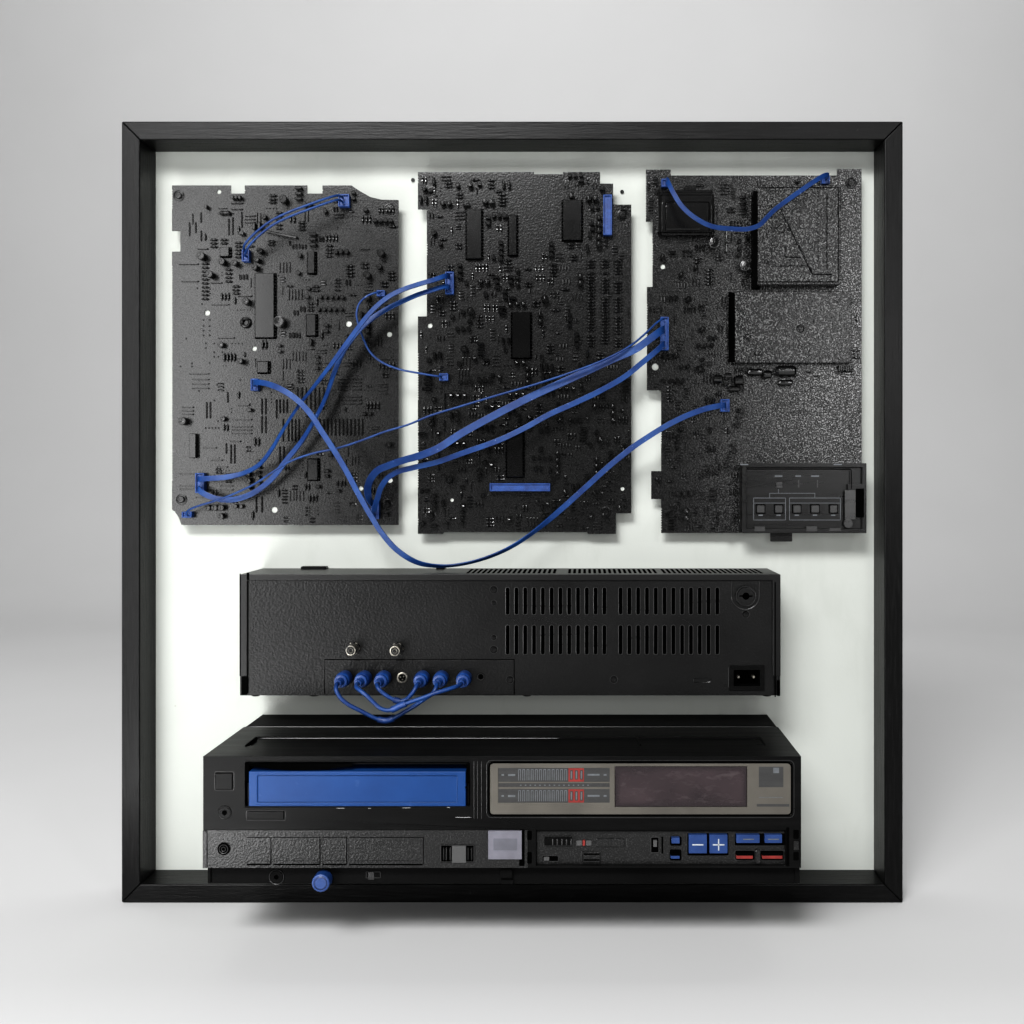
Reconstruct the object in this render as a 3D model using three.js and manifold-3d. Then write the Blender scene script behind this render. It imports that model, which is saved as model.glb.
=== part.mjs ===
// A videocassette player taken apart and mounted in a square wall frame.
// Millimetres. X runs to the right, Z up, and the front faces -Y.
// The origin is the centre of the backboard's back face, which lies on the wall at y = 0.
import * as THREE from "three";
import { mergeVertices } from "three/addons/utils/BufferGeometryUtils.js";
import Module from "manifold-3d";

// Wall frame
const railWidth = 15;
const railDepth = 38;
const backboardThickness = 6;

// Gaps and cuts
const fitGap = 0.3;
const cutOverrun = 1;
const weldTolerance = 0.0001;

// Where the pieces of the player stand on the backboard
const frontUnitLift = 38;
const unitGap = 27.2;
const leftBoardRise = 37.3;
const middleBoardRise = 29.8;
const rightBoardRise = 30.6;
const leftBoardInset = 18.4;
const leftBoardGap = 16.2;
const rightBoardGap = 12.2;
const rightBoardInset = 13.5;
const boardTopMargin = 18;

// The player's casing
const playerWidth = 430;
const sheetThickness = 1.5;
const mouldThickness = 2.5;

// Rear unit
const rearHeight = 96.5;
const rearDepth = 64;
const rearTopLip = 5;
const rearSideLip = 6.4;
const rearLipDrop = 81;
const rearPanelInset = 1.8;
const rearPanelGap = 0.5;
const ventWidth = 3;
const ventPitch = 7;
const ventCount = 12;
const upperVentHeight = 21.8;
const lowerVentHeight = 23.5;
const jackPlateWidth = 150.2;
const jackPlateHeight = 27.4;
const jackPlateThickness = 1;
const jackRadius = 4;
const jackLength = 8;
const aerialRadius = 3.9;
const aerialLength = 12;
const aerialNutRadius = 5.3;
const aerialNutThickness = 3;
const voltageKnobRadius = 8;
const voltageKnobHeight = 3;
const inletWidth = 24;
const inletHeight = 16;
const inletWall = 1.6;
const inletFlange = 2;
const inletFlangeThickness = 1.2;
const inletDepth = 14;
const inletFloorThickness = 2;
const inletPinRadius = 1.2;
const inletPinLength = 9;

// Plugs on the rear jacks
const plugRadius = 6.1;
const plugWaistRadius = 5;
const plugNoseRadius = 2.6;
const plugLength = 16.5;
const plugBodyLength = 11.5;
const plugNoseLength = 8.2;

// Front unit
const upperFaceHeight = 52.9;
const lowerFaceHeight = 27.3;
const panHeight = 14.3;
const frontDepth = 143;
const bezelLength = 90;
const bandSetback = 30;
const bandWidth = 28;
const bandInset = 20;
const bandDepth = 1.2;
const coverDrop = 0.5;
const coverInset = 0.5;
const recessDepth = 4;
const recessFloorThickness = 2;
const recessRim = 1.4;
const recessPostWidth = 5.6;
const panelReturnDepth = 7;
const panSetback = 8;
const panInset = 3;
const panWallRise = 10;
const panFrontRise = 2.2;
const centreTabWidth = 9;
const centreTabHeight = 3;

// Cassette, its tray and its door
const cassetteWidth = 156;
const cassetteDepth = 96;
const cassetteHeight = 25;
const cassetteProud = 0.6;
const cassetteLabelMargin = 6.3;
const cassetteLabelDrop = 3;
const cassetteLabelDepth = 0.6;
const slotSideClearance = 3;
const slotTopClearance = 6.9;
const slotBottomClearance = 0.9;
const slotDrop = 3.9;
const trayClearance = 0.8;
const trayThickness = 1.2;
const traySideHeight = 16;
const trayStopHeight = 14;
const flapLength = 28;
const flapThickness = 1.2;
const flapBarrelRadius = 1.5;
const flapPinRadius = 1;
const flapPinLength = 2;
const flapLugWidth = 3;
const flapLugDepth = 5;
const flapLugHeight = 7;

// Buttons, slides and sockets of the front
const buttonProud = 0.8;
const pauseProud = 1.5;
const flangeThickness = 1.5;
const flangeOverlap = 1;
const recessButtonProud = 3.5;
const slideKnobProud = 1;
const slideKnobWidth = 10;
const slideKnobRestShare = 0.56;
const ribbedSlideTravel = 4;
const socketRingRadius = 4.3;
const socketBoreRadius = 1.8;
const socketRingProud = 0.8;
const panSocketRadius = 5;
const dialRadius = 6.5;
const dialLength = 10;
const dialShaftRadius = 1.6;
const dialShaftGap = 1;
const dialCollarRadius = 2.5;

// Display
const surroundThickness = 2.5;
const surroundProud = 0.6;
const glassThickness = 1.5;
const meterRecessDepth = 0.5;

// Circuit boards and what is soldered to them
const boardStandoff = 10.4;
const boardThickness = 1.6;
const standoffRadius = 4;
const leftBoardWidth = 189.9;
const leftBoardHeight = 284.7;
const middleBoardWidth = 178.9;
const middleBoardHeight = 303.4;
const rightBoardWidth = 180.9;
const rightBoardHeight = 305.2;
const chipHeight = 4;
const socketHeight = 5.7;
const capacitorRadius = 5;
const capacitorHeight = 9;
const fenceHeight = 8;
const fenceThickness = 1;
const tunerHeight = 14;
const tunerLidInset = 2;
const tunerLidThickness = 0.8;
const shieldHeight = 7;
const presetHeight = 15;
const presetRim = 3.5;
const presetRecess = 3;
const presetTabThickness = 3;

// Leads
const ribbonWidth = 5;
const wireDiameter = 1.6;
const patchLeadDiameter = 3.2;

// Sides of the round solids
const roundSides = 16;
const smallRoundSides = 10;
const nutSides = 6;
const leadSides = 8;
const stepsPerDiameter = 0.42;
const mostLeadSteps = 78;

// Faces worked out from the sizes above
const boardBack = -backboardThickness;
const playerHalf = playerWidth / 2;
const frontHeight = upperFaceHeight + lowerFaceHeight + panHeight;
const unitsHeight = frontUnitLift + frontHeight + unitGap + rearHeight;
const boardsTop = Math.max(
  leftBoardRise + leftBoardHeight,
  middleBoardRise + middleBoardHeight,
  rightBoardRise + rightBoardHeight,
);
const threeBoardsWidth = leftBoardWidth + middleBoardWidth + rightBoardWidth;
const boardGaps = leftBoardInset + leftBoardGap + rightBoardGap + rightBoardInset;
const openingHalfWidth = (threeBoardsWidth + boardGaps) / 2;
const openingHalfHeight = (unitsHeight + boardsTop + boardTopMargin) / 2;
const rearTop = -openingHalfHeight + unitsHeight;
const frontTop = rearTop - rearHeight - unitGap;
const circuitBack = boardBack - boardStandoff;
const circuitFront = circuitBack - boardThickness;
const frontFace = -frontDepth;
const rearFace = -rearDepth;
const rearPanelFront = rearFace + rearPanelInset;
const rearPanelBack = rearPanelFront + sheetThickness;
const jackPlateFront = rearPanelFront - jackPlateThickness;

// Solids from geometries
const wasm = await Module();
wasm.setup();

function solid(geometry) {
  const bare = geometry.index ? geometry.toNonIndexed() : geometry.clone();
  bare.deleteAttribute("normal");
  bare.deleteAttribute("uv");
  const merged = mergeVertices(bare, weldTolerance);
  return new wasm.Manifold(
    new wasm.Mesh({
      numProp: 3,
      vertProperties: merged.attributes.position.array,
      triVerts: new Uint32Array(merged.index.array),
    }),
  );
}

// A box between two values on each axis, given in either order.
function block([xA, xB], [yA, yB], [zA, zB]) {
  const geometry = new THREE.BoxGeometry(
    Math.abs(xB - xA),
    Math.abs(yB - yA),
    Math.abs(zB - zA),
  );
  geometry.translate((xA + xB) / 2, (yA + yB) / 2, (zA + zB) / 2);
  return solid(geometry);
}

// A round bar along Y with its axis at (x, z).
function barAlongY(x, z, radius, [yA, yB], sides = roundSides) {
  const geometry = new THREE.CylinderGeometry(radius, radius, Math.abs(yB - yA), sides);
  geometry.translate(x, (yA + yB) / 2, z);
  return solid(geometry);
}

// A round bar along X with its axis at (y, z).
function barAlongX([xA, xB], y, z, radius, sides = smallRoundSides) {
  const geometry = new THREE.CylinderGeometry(radius, radius, Math.abs(xB - xA), sides);
  geometry.rotateZ(Math.PI / 2);
  geometry.translate((xA + xB) / 2, y, z);
  return solid(geometry);
}

// A flat plate whose outline is given as [x, z] points, between two values of y.
function plateAcrossY(outline, [yA, yB]) {
  const shape = new THREE.Shape(outline.map(([x, z]) => new THREE.Vector2(x, z)));
  const depth = Math.abs(yB - yA);
  const geometry = new THREE.ExtrudeGeometry(shape, { depth, bevelEnabled: false });
  geometry.rotateX(Math.PI / 2);
  geometry.translate(0, Math.max(yA, yB), 0);
  return solid(geometry);
}

// A bar along X whose section is given as [y, z] points.
function barOfSection(section, [xA, xB]) {
  const shape = new THREE.Shape(section.map(([y, z]) => new THREE.Vector2(y, z)));
  const depth = Math.abs(xB - xA);
  const geometry = new THREE.ExtrudeGeometry(shape, { depth, bevelEnabled: false });
  geometry.rotateY(Math.PI / 2);
  geometry.rotateX(Math.PI / 2);
  geometry.translate(Math.min(xA, xB), 0, 0);
  return solid(geometry);
}

// A turned piece whose axis runs along -Y from y = 0: its profile is [radius, distance] points.
function turned(profile, sides = roundSides) {
  const points = profile.map(([radius, along]) => new THREE.Vector2(radius, along));
  const geometry = new THREE.LatheGeometry(points, sides);
  geometry.rotateX(Math.PI);
  return solid(geometry);
}

function joined(solids) {
  return solids.reduce((all, next) => all.add(next));
}

function without(body, cuts) {
  return cuts.reduce((rest, cut) => rest.subtract(cut), body);
}

function meshOf(name, manifold, material) {
  const made = manifold.getMesh();
  const positions = new Float32Array(made.numVert * 3);
  for (let i = 0; i < made.numVert; i += 1) {
    positions.set(made.vertProperties.subarray(i * made.numProp, i * made.numProp + 3), i * 3);
  }
  const geometry = new THREE.BufferGeometry();
  geometry.setAttribute("position", new THREE.BufferAttribute(positions, 3));
  geometry.setIndex(new THREE.BufferAttribute(new Uint32Array(made.triVerts), 1));
  geometry.computeVertexNormals();
  const mesh = new THREE.Mesh(geometry, material);
  mesh.name = name;
  return mesh;
}

// Finishes
const finish = (color, roughness, metalness = 0) =>
  new THREE.MeshStandardMaterial({ color, roughness, metalness });
const blackWood = finish("#17171a", 0.55);
const whiteBoard = finish("#e1e3de", 0.6);
const blackPaint = finish("#121214", 0.35);
const satinBlack = finish("#1a1a1d", 0.45);
const bluePaint = finish("#2d5cb4", 0.4);
const surroundGrey = finish("#827f78", 0.5);
const displayPurple = finish("#3c2d34", 0.15);
const buttonGrey = finish("#96969e", 0.5);
const redPaint = finish("#be3228", 0.45);

const wallDisplay = new THREE.Group();
const frameGroup = new THREE.Group();
const boardsGroup = new THREE.Group();
const rearGroup = new THREE.Group();
const frontGroup = new THREE.Group();
const leadsGroup = new THREE.Group();
wallDisplay.add(frameGroup, boardsGroup, rearGroup, frontGroup, leadsGroup);
rearGroup.position.z = rearTop;
frontGroup.position.z = frontTop;

// Wall frame: four mitred rails round a backboard
function cornersOf(halfWidth, halfHeight) {
  return [
    [-halfWidth, halfHeight],
    [halfWidth, halfHeight],
    [halfWidth, -halfHeight],
    [-halfWidth, -halfHeight],
  ];
}
const innerCorners = cornersOf(openingHalfWidth, openingHalfHeight);
const outerCorners = cornersOf(openingHalfWidth + railWidth, openingHalfHeight + railWidth);
["top", "right", "bottom", "left"].forEach((side, i) => {
  const next = (i + 1) % innerCorners.length;
  const outline = [innerCorners[i], innerCorners[next], outerCorners[next], outerCorners[i]];
  const rail = plateAcrossY(outline, [0, -railDepth]);
  frameGroup.add(meshOf(`frame_rail_${side}`, rail, blackWood));
});
const backboard = block(
  [-openingHalfWidth, openingHalfWidth],
  [0, boardBack],
  [-openingHalfHeight, openingHalfHeight],
);
frameGroup.add(meshOf("backboard", backboard, whiteBoard));

// Circuit boards: outlines and places are shares of each board's width and height
const leftOutlineShares = [
  [0, 0.045], [0.012, 0.04], [0.03, 0.022], [0.042, 0], [1, 0], [1, 0.957], [0.925, 0.958],
  [0.875, 0.966], [0.83, 0.983], [0.792, 1], [0.664, 1], [0.664, 0.976], [0.597, 0.976],
  [0.597, 1], [0.321, 1], [0.321, 0.976], [0.26, 0.976], [0.26, 1], [0, 1], [0, 0.866],
  [0.037, 0.866], [0.037, 0.805], [0, 0.805],
];
const middleOutlineShares = [
  [0, 0], [0.118, 0], [0.122, 0.005], [0.793, 0.005], [0.797, 0], [0.928, 0], [0.928, 0.057],
  [1, 0.057], [1, 0.91], [0.915, 0.91], [0.915, 0.968], [0.854, 0.968], [0.854, 1], [0.68, 1],
  [0.68, 0.994], [0.544, 0.994], [0.544, 1], [0, 1], [0, 0.897], [0.042, 0.897], [0.042, 0.601],
  [0, 0.601],
];
const rightOutlineShares = [
  [0.071, 0], [1, 0], [1, 1], [0.886, 1], [0.886, 0.982], [0.116, 0.982], [0.116, 0.998],
  [0, 0.998], [0, 0.855], [0.031, 0.855], [0.031, 0.676], [0.005, 0.676], [0.005, 0.392],
  [0.071, 0.392], [0.071, 0.17], [0.025, 0.17], [0.025, 0.093], [0.071, 0.093],
];
const leftChipShares = [
  [0.373, 0.456, 0.55, 0.739], [0.604, 0.634, 0.739, 0.802], [0.599, 0.639, 0.556, 0.618],
  [0.604, 0.648, 0.132, 0.194], [0.219, 0.258, 0.788, 0.815], [0.383, 0.43, 0.447, 0.48],
];
const middleChipShares = [
  [0.443, 0.528, 0.485, 0.61], [0.23, 0.3, 0.758, 0.895], [0.68, 0.767, 0.809, 0.92],
  [0.418, 0.493, 0.157, 0.284], [0.427, 0.464, 0.768, 0.878],
];
const leftSocketShares = [
  [0.74, 0.789, 0.933, 0.969], [0.317, 0.35, 0.772, 0.807], [0.909, 0.945, 0.67, 0.688],
  [0.356, 0.389, 0.394, 0.429], [0.113, 0.153, 0.094, 0.153], [0.054, 0.098, 0.022, 0.04],
  [0.883, 0.919, 0.018, 0.074],
];
const middleSocketShares = [
  [0.868, 0.909, 0.822, 0.933], [0.339, 0.621, 0.118, 0.14], [0.132, 0.172, 0.66, 0.721],
  [0.104, 0.146, 0.422, 0.442],
];
const rightSocketShares = [
  [0.07, 0.107, 0.946, 0.968], [0.809, 0.846, 0.954, 0.976], [0.066, 0.104, 0.5, 0.591],
  [0.343, 0.384, 0.332, 0.366],
];
const leftCapacitorShares = [[0.482, 0.593], [0.498, 0.951]];
const middleCapacitorShares = [[0.2, 0.56], [0.3, 0.3]];
const rightCapacitorShares = [[0.311, 0.791], [0.448, 0.729]];
const leftStandoffShares = [[0.031, 0.969], [0.043, 0.075], [0.96, 0.93], [0.95, 0.06]];
const middleStandoffShares = [[0.06, 0.95], [0.959, 0.88], [0.06, 0.05], [0.88, 0.06]];
const rightStandoffShares = [[0.06, 0.94], [0.95, 0.96], [0.12, 0.05], [0.95, 0.06]];
const fenceShares = [0.055, 0.305, 0.821, 0.934];
const tunerShares = [0.494, 0.884, 0.674, 0.942];
const shieldShares = [0.394, 0.943, 0.464, 0.66];
const presetShares = [0.435, 1, 0.002, 0.191];
const presetTabShares = [0.575, 0.675, -0.023, 0.02];
const presetBlockShares = [0.85, 0.97, 0.25, 0.7];

// A circuit board's own corner and size, for turning shares into places.
function placedBoard(left, rise, width, height) {
  const bottom = rearTop + rise;
  const x = (share) => left + share * width;
  const z = (share) => bottom + share * height;
  const spans = ([a, b, c, d]) => [[x(a), x(b)], [z(c), z(d)]];
  return { x, z, spans };
}

// What is soldered down stands on the board and reaches a little into it, as its pins do.
function onBoard(board, shares, height) {
  const [across, up] = board.spans(shares);
  return block(across, [circuitBack, circuitFront - height], up);
}

function circuitBoard(board, outlineShares, parts) {
  const outline = outlineShares.map(([u, v]) => [board.x(u), board.z(v)]);
  const plate = plateAcrossY(outline, [circuitBack, circuitFront]);
  const standoffs = parts.standoffs.map(([u, v]) =>
    barAlongY(board.x(u), board.z(v), standoffRadius, [boardBack, circuitFront], smallRoundSides),
  );
  const capacitors = parts.capacitors.map(([u, v]) =>
    barAlongY(board.x(u), board.z(v), capacitorRadius, [circuitBack, circuitFront - capacitorHeight]),
  );
  const chips = parts.chips.map((shares) => onBoard(board, shares, chipHeight));
  const sockets = parts.sockets.map((shares) => onBoard(board, shares, socketHeight));
  return joined([plate, ...standoffs, ...capacitors, ...chips, ...sockets]);
}

const leftBoard = placedBoard(
  -openingHalfWidth + leftBoardInset,
  leftBoardRise,
  leftBoardWidth,
  leftBoardHeight,
);
const middleBoard = placedBoard(
  leftBoard.x(1) + leftBoardGap,
  middleBoardRise,
  middleBoardWidth,
  middleBoardHeight,
);
const rightBoard = placedBoard(
  middleBoard.x(1) + rightBoardGap,
  rightBoardRise,
  rightBoardWidth,
  rightBoardHeight,
);

const leftCircuit = circuitBoard(leftBoard, leftOutlineShares, {
  standoffs: leftStandoffShares,
  capacitors: leftCapacitorShares,
  chips: leftChipShares,
  sockets: leftSocketShares,
});
const middleCircuit = circuitBoard(middleBoard, middleOutlineShares, {
  standoffs: middleStandoffShares,
  capacitors: middleCapacitorShares,
  chips: middleChipShares,
  sockets: middleSocketShares,
});

// The fence is the open wall of a screened corner on the right-hand board.
function fence(board, shares) {
  const [[xA, xB], [zA, zB]] = board.spans(shares);
  const deep = [circuitBack, circuitFront - fenceHeight];
  const t = fenceThickness;
  const outside = block([xA, xB], deep, [zA, zB]);
  const inside = block(
    [xA + t, xB - t],
    [circuitFront, circuitFront - fenceHeight - cutOverrun],
    [zA + t, zB - t],
  );
  return outside.subtract(inside);
}

const rightCircuit = circuitBoard(rightBoard, rightOutlineShares, {
  standoffs: rightStandoffShares,
  capacitors: rightCapacitorShares,
  chips: [],
  sockets: rightSocketShares,
}).add(fence(rightBoard, fenceShares));

boardsGroup.add(
  meshOf("board_left", leftCircuit, blackPaint),
  meshOf("board_middle", middleCircuit, blackPaint),
  meshOf("board_right", rightCircuit, blackPaint),
);

// Tuner can with its stepped lid
function tunerCan() {
  const [[xA, xB], [zA, zB]] = rightBoard.spans(tunerShares);
  const inset = tunerLidInset;
  const lidFront = circuitFront - tunerHeight;
  const can = block([xA, xB], [circuitFront, lidFront], [zA, zB]);
  const lid = block(
    [xA + inset, xB - inset],
    [circuitFront, lidFront - tunerLidThickness],
    [zA + inset, zB - inset],
  );
  return can.add(lid);
}
boardsGroup.add(meshOf("tuner_can", tunerCan(), blackPaint));

// Flat shield can over the middle of the right-hand board
function shieldCan() {
  const [across, up] = rightBoard.spans(shieldShares);
  return block(across, [circuitFront, circuitFront - shieldHeight], up);
}
boardsGroup.add(meshOf("shield_can", shieldCan(), blackPaint));

// Housing of the channel presets: a tray with a rim, a raised block and a tab below
function presetHousing() {
  const [[xA, xB], [zA, zB]] = rightBoard.spans(presetShares);
  const front = circuitFront - presetHeight;
  const shell = block([xA, xB], [circuitFront, front], [zA, zB]);
  const hollow = block(
    [xA + presetRim, xB - presetRim],
    [front + presetRecess, front - cutOverrun],
    [zA + presetRim, zB - presetRim],
  );
  const [tabAcross, tabUp] = rightBoard.spans(presetTabShares);
  const tab = block(tabAcross, [circuitFront, circuitFront - presetTabThickness], tabUp);
  const [uA, uB, vA, vB] = presetBlockShares;
  const switchBlock = block(
    [xA + uA * (xB - xA), xA + uB * (xB - xA)],
    [circuitFront, front],
    [zA + vA * (zB - zA), zA + vB * (zB - zA)],
  );
  return joined([shell.subtract(hollow), tab, switchBlock]);
}
boardsGroup.add(meshOf("preset_housing", presetHousing(), blackPaint));

// Rear unit: heights here are measured down from its top, x as a share of the player's half width
const rearX = (share) => share * playerHalf;
const rearZ = (share) => -share * rearHeight;
const jackXShares = [-0.609, -0.537, -0.465, -0.322, -0.252, -0.167];
const jackZShare = 0.85;
const jackPlateLeftShare = -0.685;
const jackPlateTopShare = 0.707;
const aerialShares = [[-0.578, 0.61], [-0.417, 0.614]];
const voltageKnobShares = [0.871, 0.177];
const inletCentreShares = [0.876, 0.855];
const ventLeftShares = [-0.016, 0.402];
const upperVentShare = 0.108;
const lowerVentShare = 0.419;

// The cover is a folded sheet: a top, two sides and a narrow lip round the rear panel.
function rearCover() {
  const t = sheetThickness;
  const outside = block(
    [-playerHalf, playerHalf],
    [boardBack, rearFace],
    [0, -rearLipDrop],
  );
  const inside = block(
    [-playerHalf + t, playerHalf - t],
    [boardBack + cutOverrun, rearFace + t],
    [-t, -rearLipDrop - cutOverrun],
  );
  const mouth = block(
    [-playerHalf + rearSideLip, playerHalf - rearSideLip],
    [rearFace + t + cutOverrun, rearFace - cutOverrun],
    [-rearTopLip, -rearLipDrop - cutOverrun],
  );
  return without(outside, [inside, mouth]);
}
rearGroup.add(meshOf("rear_cover", rearCover(), satinBlack));

function ventCuts() {
  const cuts = [];
  const through = [rearPanelFront - cutOverrun, rearPanelBack + cutOverrun];
  for (const leftShare of ventLeftShares) {
    for (const [topShare, height] of [
      [upperVentShare, upperVentHeight],
      [lowerVentShare, lowerVentHeight],
    ]) {
      for (let i = 0; i < ventCount; i += 1) {
        const left = rearX(leftShare) + i * ventPitch;
        const top = rearZ(topShare);
        cuts.push(block([left, left + ventWidth], through, [top, top - height]));
      }
    }
  }
  return cuts;
}

const inletX = rearX(inletCentreShares[0]);
const inletZ = rearZ(inletCentreShares[1]);

// The rear panel is a folded pan: a face with its vents, a floor, and a low wall at each side.
function rearPanel() {
  const t = sheetThickness;
  const faceHalf = playerHalf - t - rearPanelGap;
  const sideTop = -rearLipDrop - fitGap;
  const face = block(
    [-faceHalf, faceHalf],
    [rearPanelFront, rearPanelBack],
    [-t - rearPanelGap, -rearHeight],
  );
  const skirt = block(
    [-playerHalf, playerHalf],
    [rearPanelFront, rearPanelBack],
    [sideTop, -rearHeight],
  );
  const floor = block(
    [-playerHalf, playerHalf],
    [rearPanelFront, boardBack],
    [-rearHeight + t, -rearHeight],
  );
  const sides = [-1, 1].map((side) =>
    block([side * playerHalf, side * (playerHalf - t)], [rearPanelFront, boardBack], [
      sideTop,
      -rearHeight,
    ]),
  );
  const aerials = aerialShares.flatMap(([u, v]) => [
    barAlongY(rearX(u), rearZ(v), aerialRadius, [rearPanelBack, rearPanelFront - aerialLength]),
    barAlongY(
      rearX(u),
      rearZ(v),
      aerialNutRadius,
      [rearPanelBack, rearPanelFront - aerialNutThickness],
      nutSides,
    ),
  ]);
  const voltageKnob = barAlongY(
    rearX(voltageKnobShares[0]),
    rearZ(voltageKnobShares[1]),
    voltageKnobRadius,
    [rearPanelBack, rearPanelFront - voltageKnobHeight],
  );
  const inletHole = block(
    [inletX - inletWidth / 2 - fitGap, inletX + inletWidth / 2 + fitGap],
    [rearPanelFront - cutOverrun, rearPanelBack + cutOverrun],
    [inletZ - inletHeight / 2 - fitGap, inletZ + inletHeight / 2 + fitGap],
  );
  const panel = joined([face, skirt, floor, ...sides, ...aerials, voltageKnob]);
  return without(panel, [...ventCuts(), inletHole]);
}
rearGroup.add(meshOf("rear_panel", rearPanel(), satinBlack));

const jackX = jackXShares.map(rearX);
const jackZ = rearZ(jackZShare);

function jackPlate() {
  const left = rearX(jackPlateLeftShare);
  const top = rearZ(jackPlateTopShare);
  const plate = block(
    [left, left + jackPlateWidth],
    [rearPanelFront, jackPlateFront],
    [top, top - jackPlateHeight],
  );
  const jacks = jackX.map((x) =>
    barAlongY(x, jackZ, jackRadius, [rearPanelFront, jackPlateFront - jackLength]),
  );
  return joined([plate, ...jacks]);
}
rearGroup.add(meshOf("jack_plate", jackPlate(), satinBlack));

// The mains inlet is a deep cup through the panel, with a flange outside and two pins.
function mainsInlet() {
  const half = inletWidth / 2;
  const tall = inletHeight / 2;
  const flangeFront = rearPanelFront - inletFlangeThickness;
  const cupBack = rearPanelFront + inletDepth;
  const flange = block(
    [inletX - half - inletFlange, inletX + half + inletFlange],
    [rearPanelFront, flangeFront],
    [inletZ - tall - inletFlange, inletZ + tall + inletFlange],
  );
  const cup = block([inletX - half, inletX + half], [cupBack, flangeFront], [
    inletZ - tall,
    inletZ + tall,
  ]);
  const hollow = block(
    [inletX - half + inletWall, inletX + half - inletWall],
    [cupBack - inletFloorThickness, flangeFront - cutOverrun],
    [inletZ - tall + inletWall, inletZ + tall - inletWall],
  );
  const pins = [-1, 1].map((side) =>
    barAlongY(
      inletX + (side * half) / 2,
      inletZ,
      inletPinRadius,
      [cupBack, cupBack - inletFloorThickness - inletPinLength],
      smallRoundSides,
    ),
  );
  return joined([flange.add(cup).subtract(hollow), ...pins]);
}
rearGroup.add(meshOf("mains_inlet", mainsInlet(), satinBlack));

// A plug is a moulded grip with a waist and a nose, hollow where it fits over its jack.
function patchPlug(x) {
  const bore = jackRadius + fitGap;
  const boreDepth = jackLength + fitGap;
  const whole = plugLength + plugNoseLength;
  const profile = [
    [bore, 0],
    [plugRadius, 0],
    [plugRadius, plugBodyLength],
    [plugWaistRadius, plugLength],
    [plugNoseRadius, plugLength],
    [plugNoseRadius, whole],
    [0, whole],
    [0, boreDepth],
    [bore, boreDepth],
    [bore, 0],
  ];
  const plug = turned(profile, roundSides);
  return plug.translate([x, jackPlateFront - fitGap, jackZ]);
}
jackX.forEach((x, i) => {
  rearGroup.add(meshOf(`patch_plug_${i + 1}`, patchPlug(x), bluePaint));
});

// Front unit: heights here are measured down from its top
const faceX = (share) => share * playerHalf;
const upperZ = (share) => -share * upperFaceHeight;
const lowerZ = (share) => -upperFaceHeight - share * lowerFaceHeight;
const lowerEnd = -upperFaceHeight - lowerFaceHeight;
const panZ = (share) => lowerEnd - share * panHeight;
const upperBack = frontFace + mouldThickness;
const recessFloor = frontFace + recessDepth;
const recessBack = recessFloor + recessFloorThickness;

// Places on the front, each as [left, right, top, bottom] shares of its band of the face
const slotCentreShare = -0.484;
const powerShares = [-0.957, -0.902, 0.229, 0.444];
const ejectShares = [-0.853, -0.73, 0.749, 0.845];
const upperSocketShares = [-0.927, 0.762];
const lowerSocketShares = [-0.93, 0.495];
const surroundShares = [-0.04, 0.966, 0.091, 0.794];
const windowShares = [0.378, 0.818, 0.14, 0.682];
const meterShares = [-0.013, 0.36, 0.157, 0.628];
const keyEdgeShares = [-0.858, -0.769, -0.605, -0.516, -0.26];
const keyRowShares = [0.201, 0.883];
const keyWebShare = 0.004;
const greyShares = [-0.046, 0.066, 0.01, 0.755];
const slideWindowShares = [-0.205, -0.096, 0.396, 0.864];
const recessLeftShare = 0.113;
const recessRightShare = 0.949;
const recessButtonShares = {
  channel_down_button: [0.625, 0.685, 0.139, 0.623],
  channel_up_button: [0.694, 0.754, 0.139, 0.623],
  next_button: [0.784, 0.862, 0.139, 0.352],
  check_button: [0.879, 0.937, 0.139, 0.352],
  clock_button: [0.567, 0.594, 0.22, 0.366],
  reset_button: [0.564, 0.594, 0.66, 0.766],
  record_button: [0.784, 0.839, 0.655, 0.765],
  timer_button: [0.87, 0.938, 0.655, 0.765],
};
const recessButtonFinish = {
  record_button: redPaint,
  timer_button: redPaint,
};
const ribbedSlideShares = [0.141, 0.234, 0.238, 0.414];
const dialShares = [-0.604, 0.7];
const panSocketShares = [-0.765, 0.664];
const centreTabShare = 0.014;

const onUpper = ([a, b, c, d]) => ({ across: [faceX(a), faceX(b)], up: [upperZ(d), upperZ(c)] });
const onLower = ([a, b, c, d]) => ({ across: [faceX(a), faceX(b)], up: [lowerZ(d), lowerZ(c)] });

const grown = ([a, b], by) => [a - by, b + by];

// A hole for a piece, larger than it by the running gap all round.
function holeFor(place, [yA, yB], gap = fitGap) {
  return block(
    grown(place.across, gap),
    [yA - cutOverrun, yB + cutOverrun],
    grown(place.up, gap),
  );
}

// A button is a cap that fills its hole and a flange behind it that keeps it in.
function button(place, capFront, wallBack) {
  const flangeFront = wallBack + fitGap;
  const cap = block(place.across, [capFront, flangeFront + flangeThickness], place.up);
  const flange = block(
    place.across,
    [flangeFront, flangeFront + flangeThickness],
    grown(place.up, flangeOverlap),
  );
  return cap.add(flange);
}

const slotHalf = cassetteWidth / 2 + slotSideClearance;
const slotX = faceX(slotCentreShare);
const cassetteTop = -slotDrop - slotTopClearance;
const cassetteBottom = cassetteTop - cassetteHeight;
const slot = {
  across: [slotX - slotHalf, slotX + slotHalf],
  up: [cassetteBottom - slotBottomClearance, -slotDrop],
};

const flapY = upperBack + flapLugDepth / 2;
const flapZ = -mouldThickness - flapLugHeight / 2;

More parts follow.
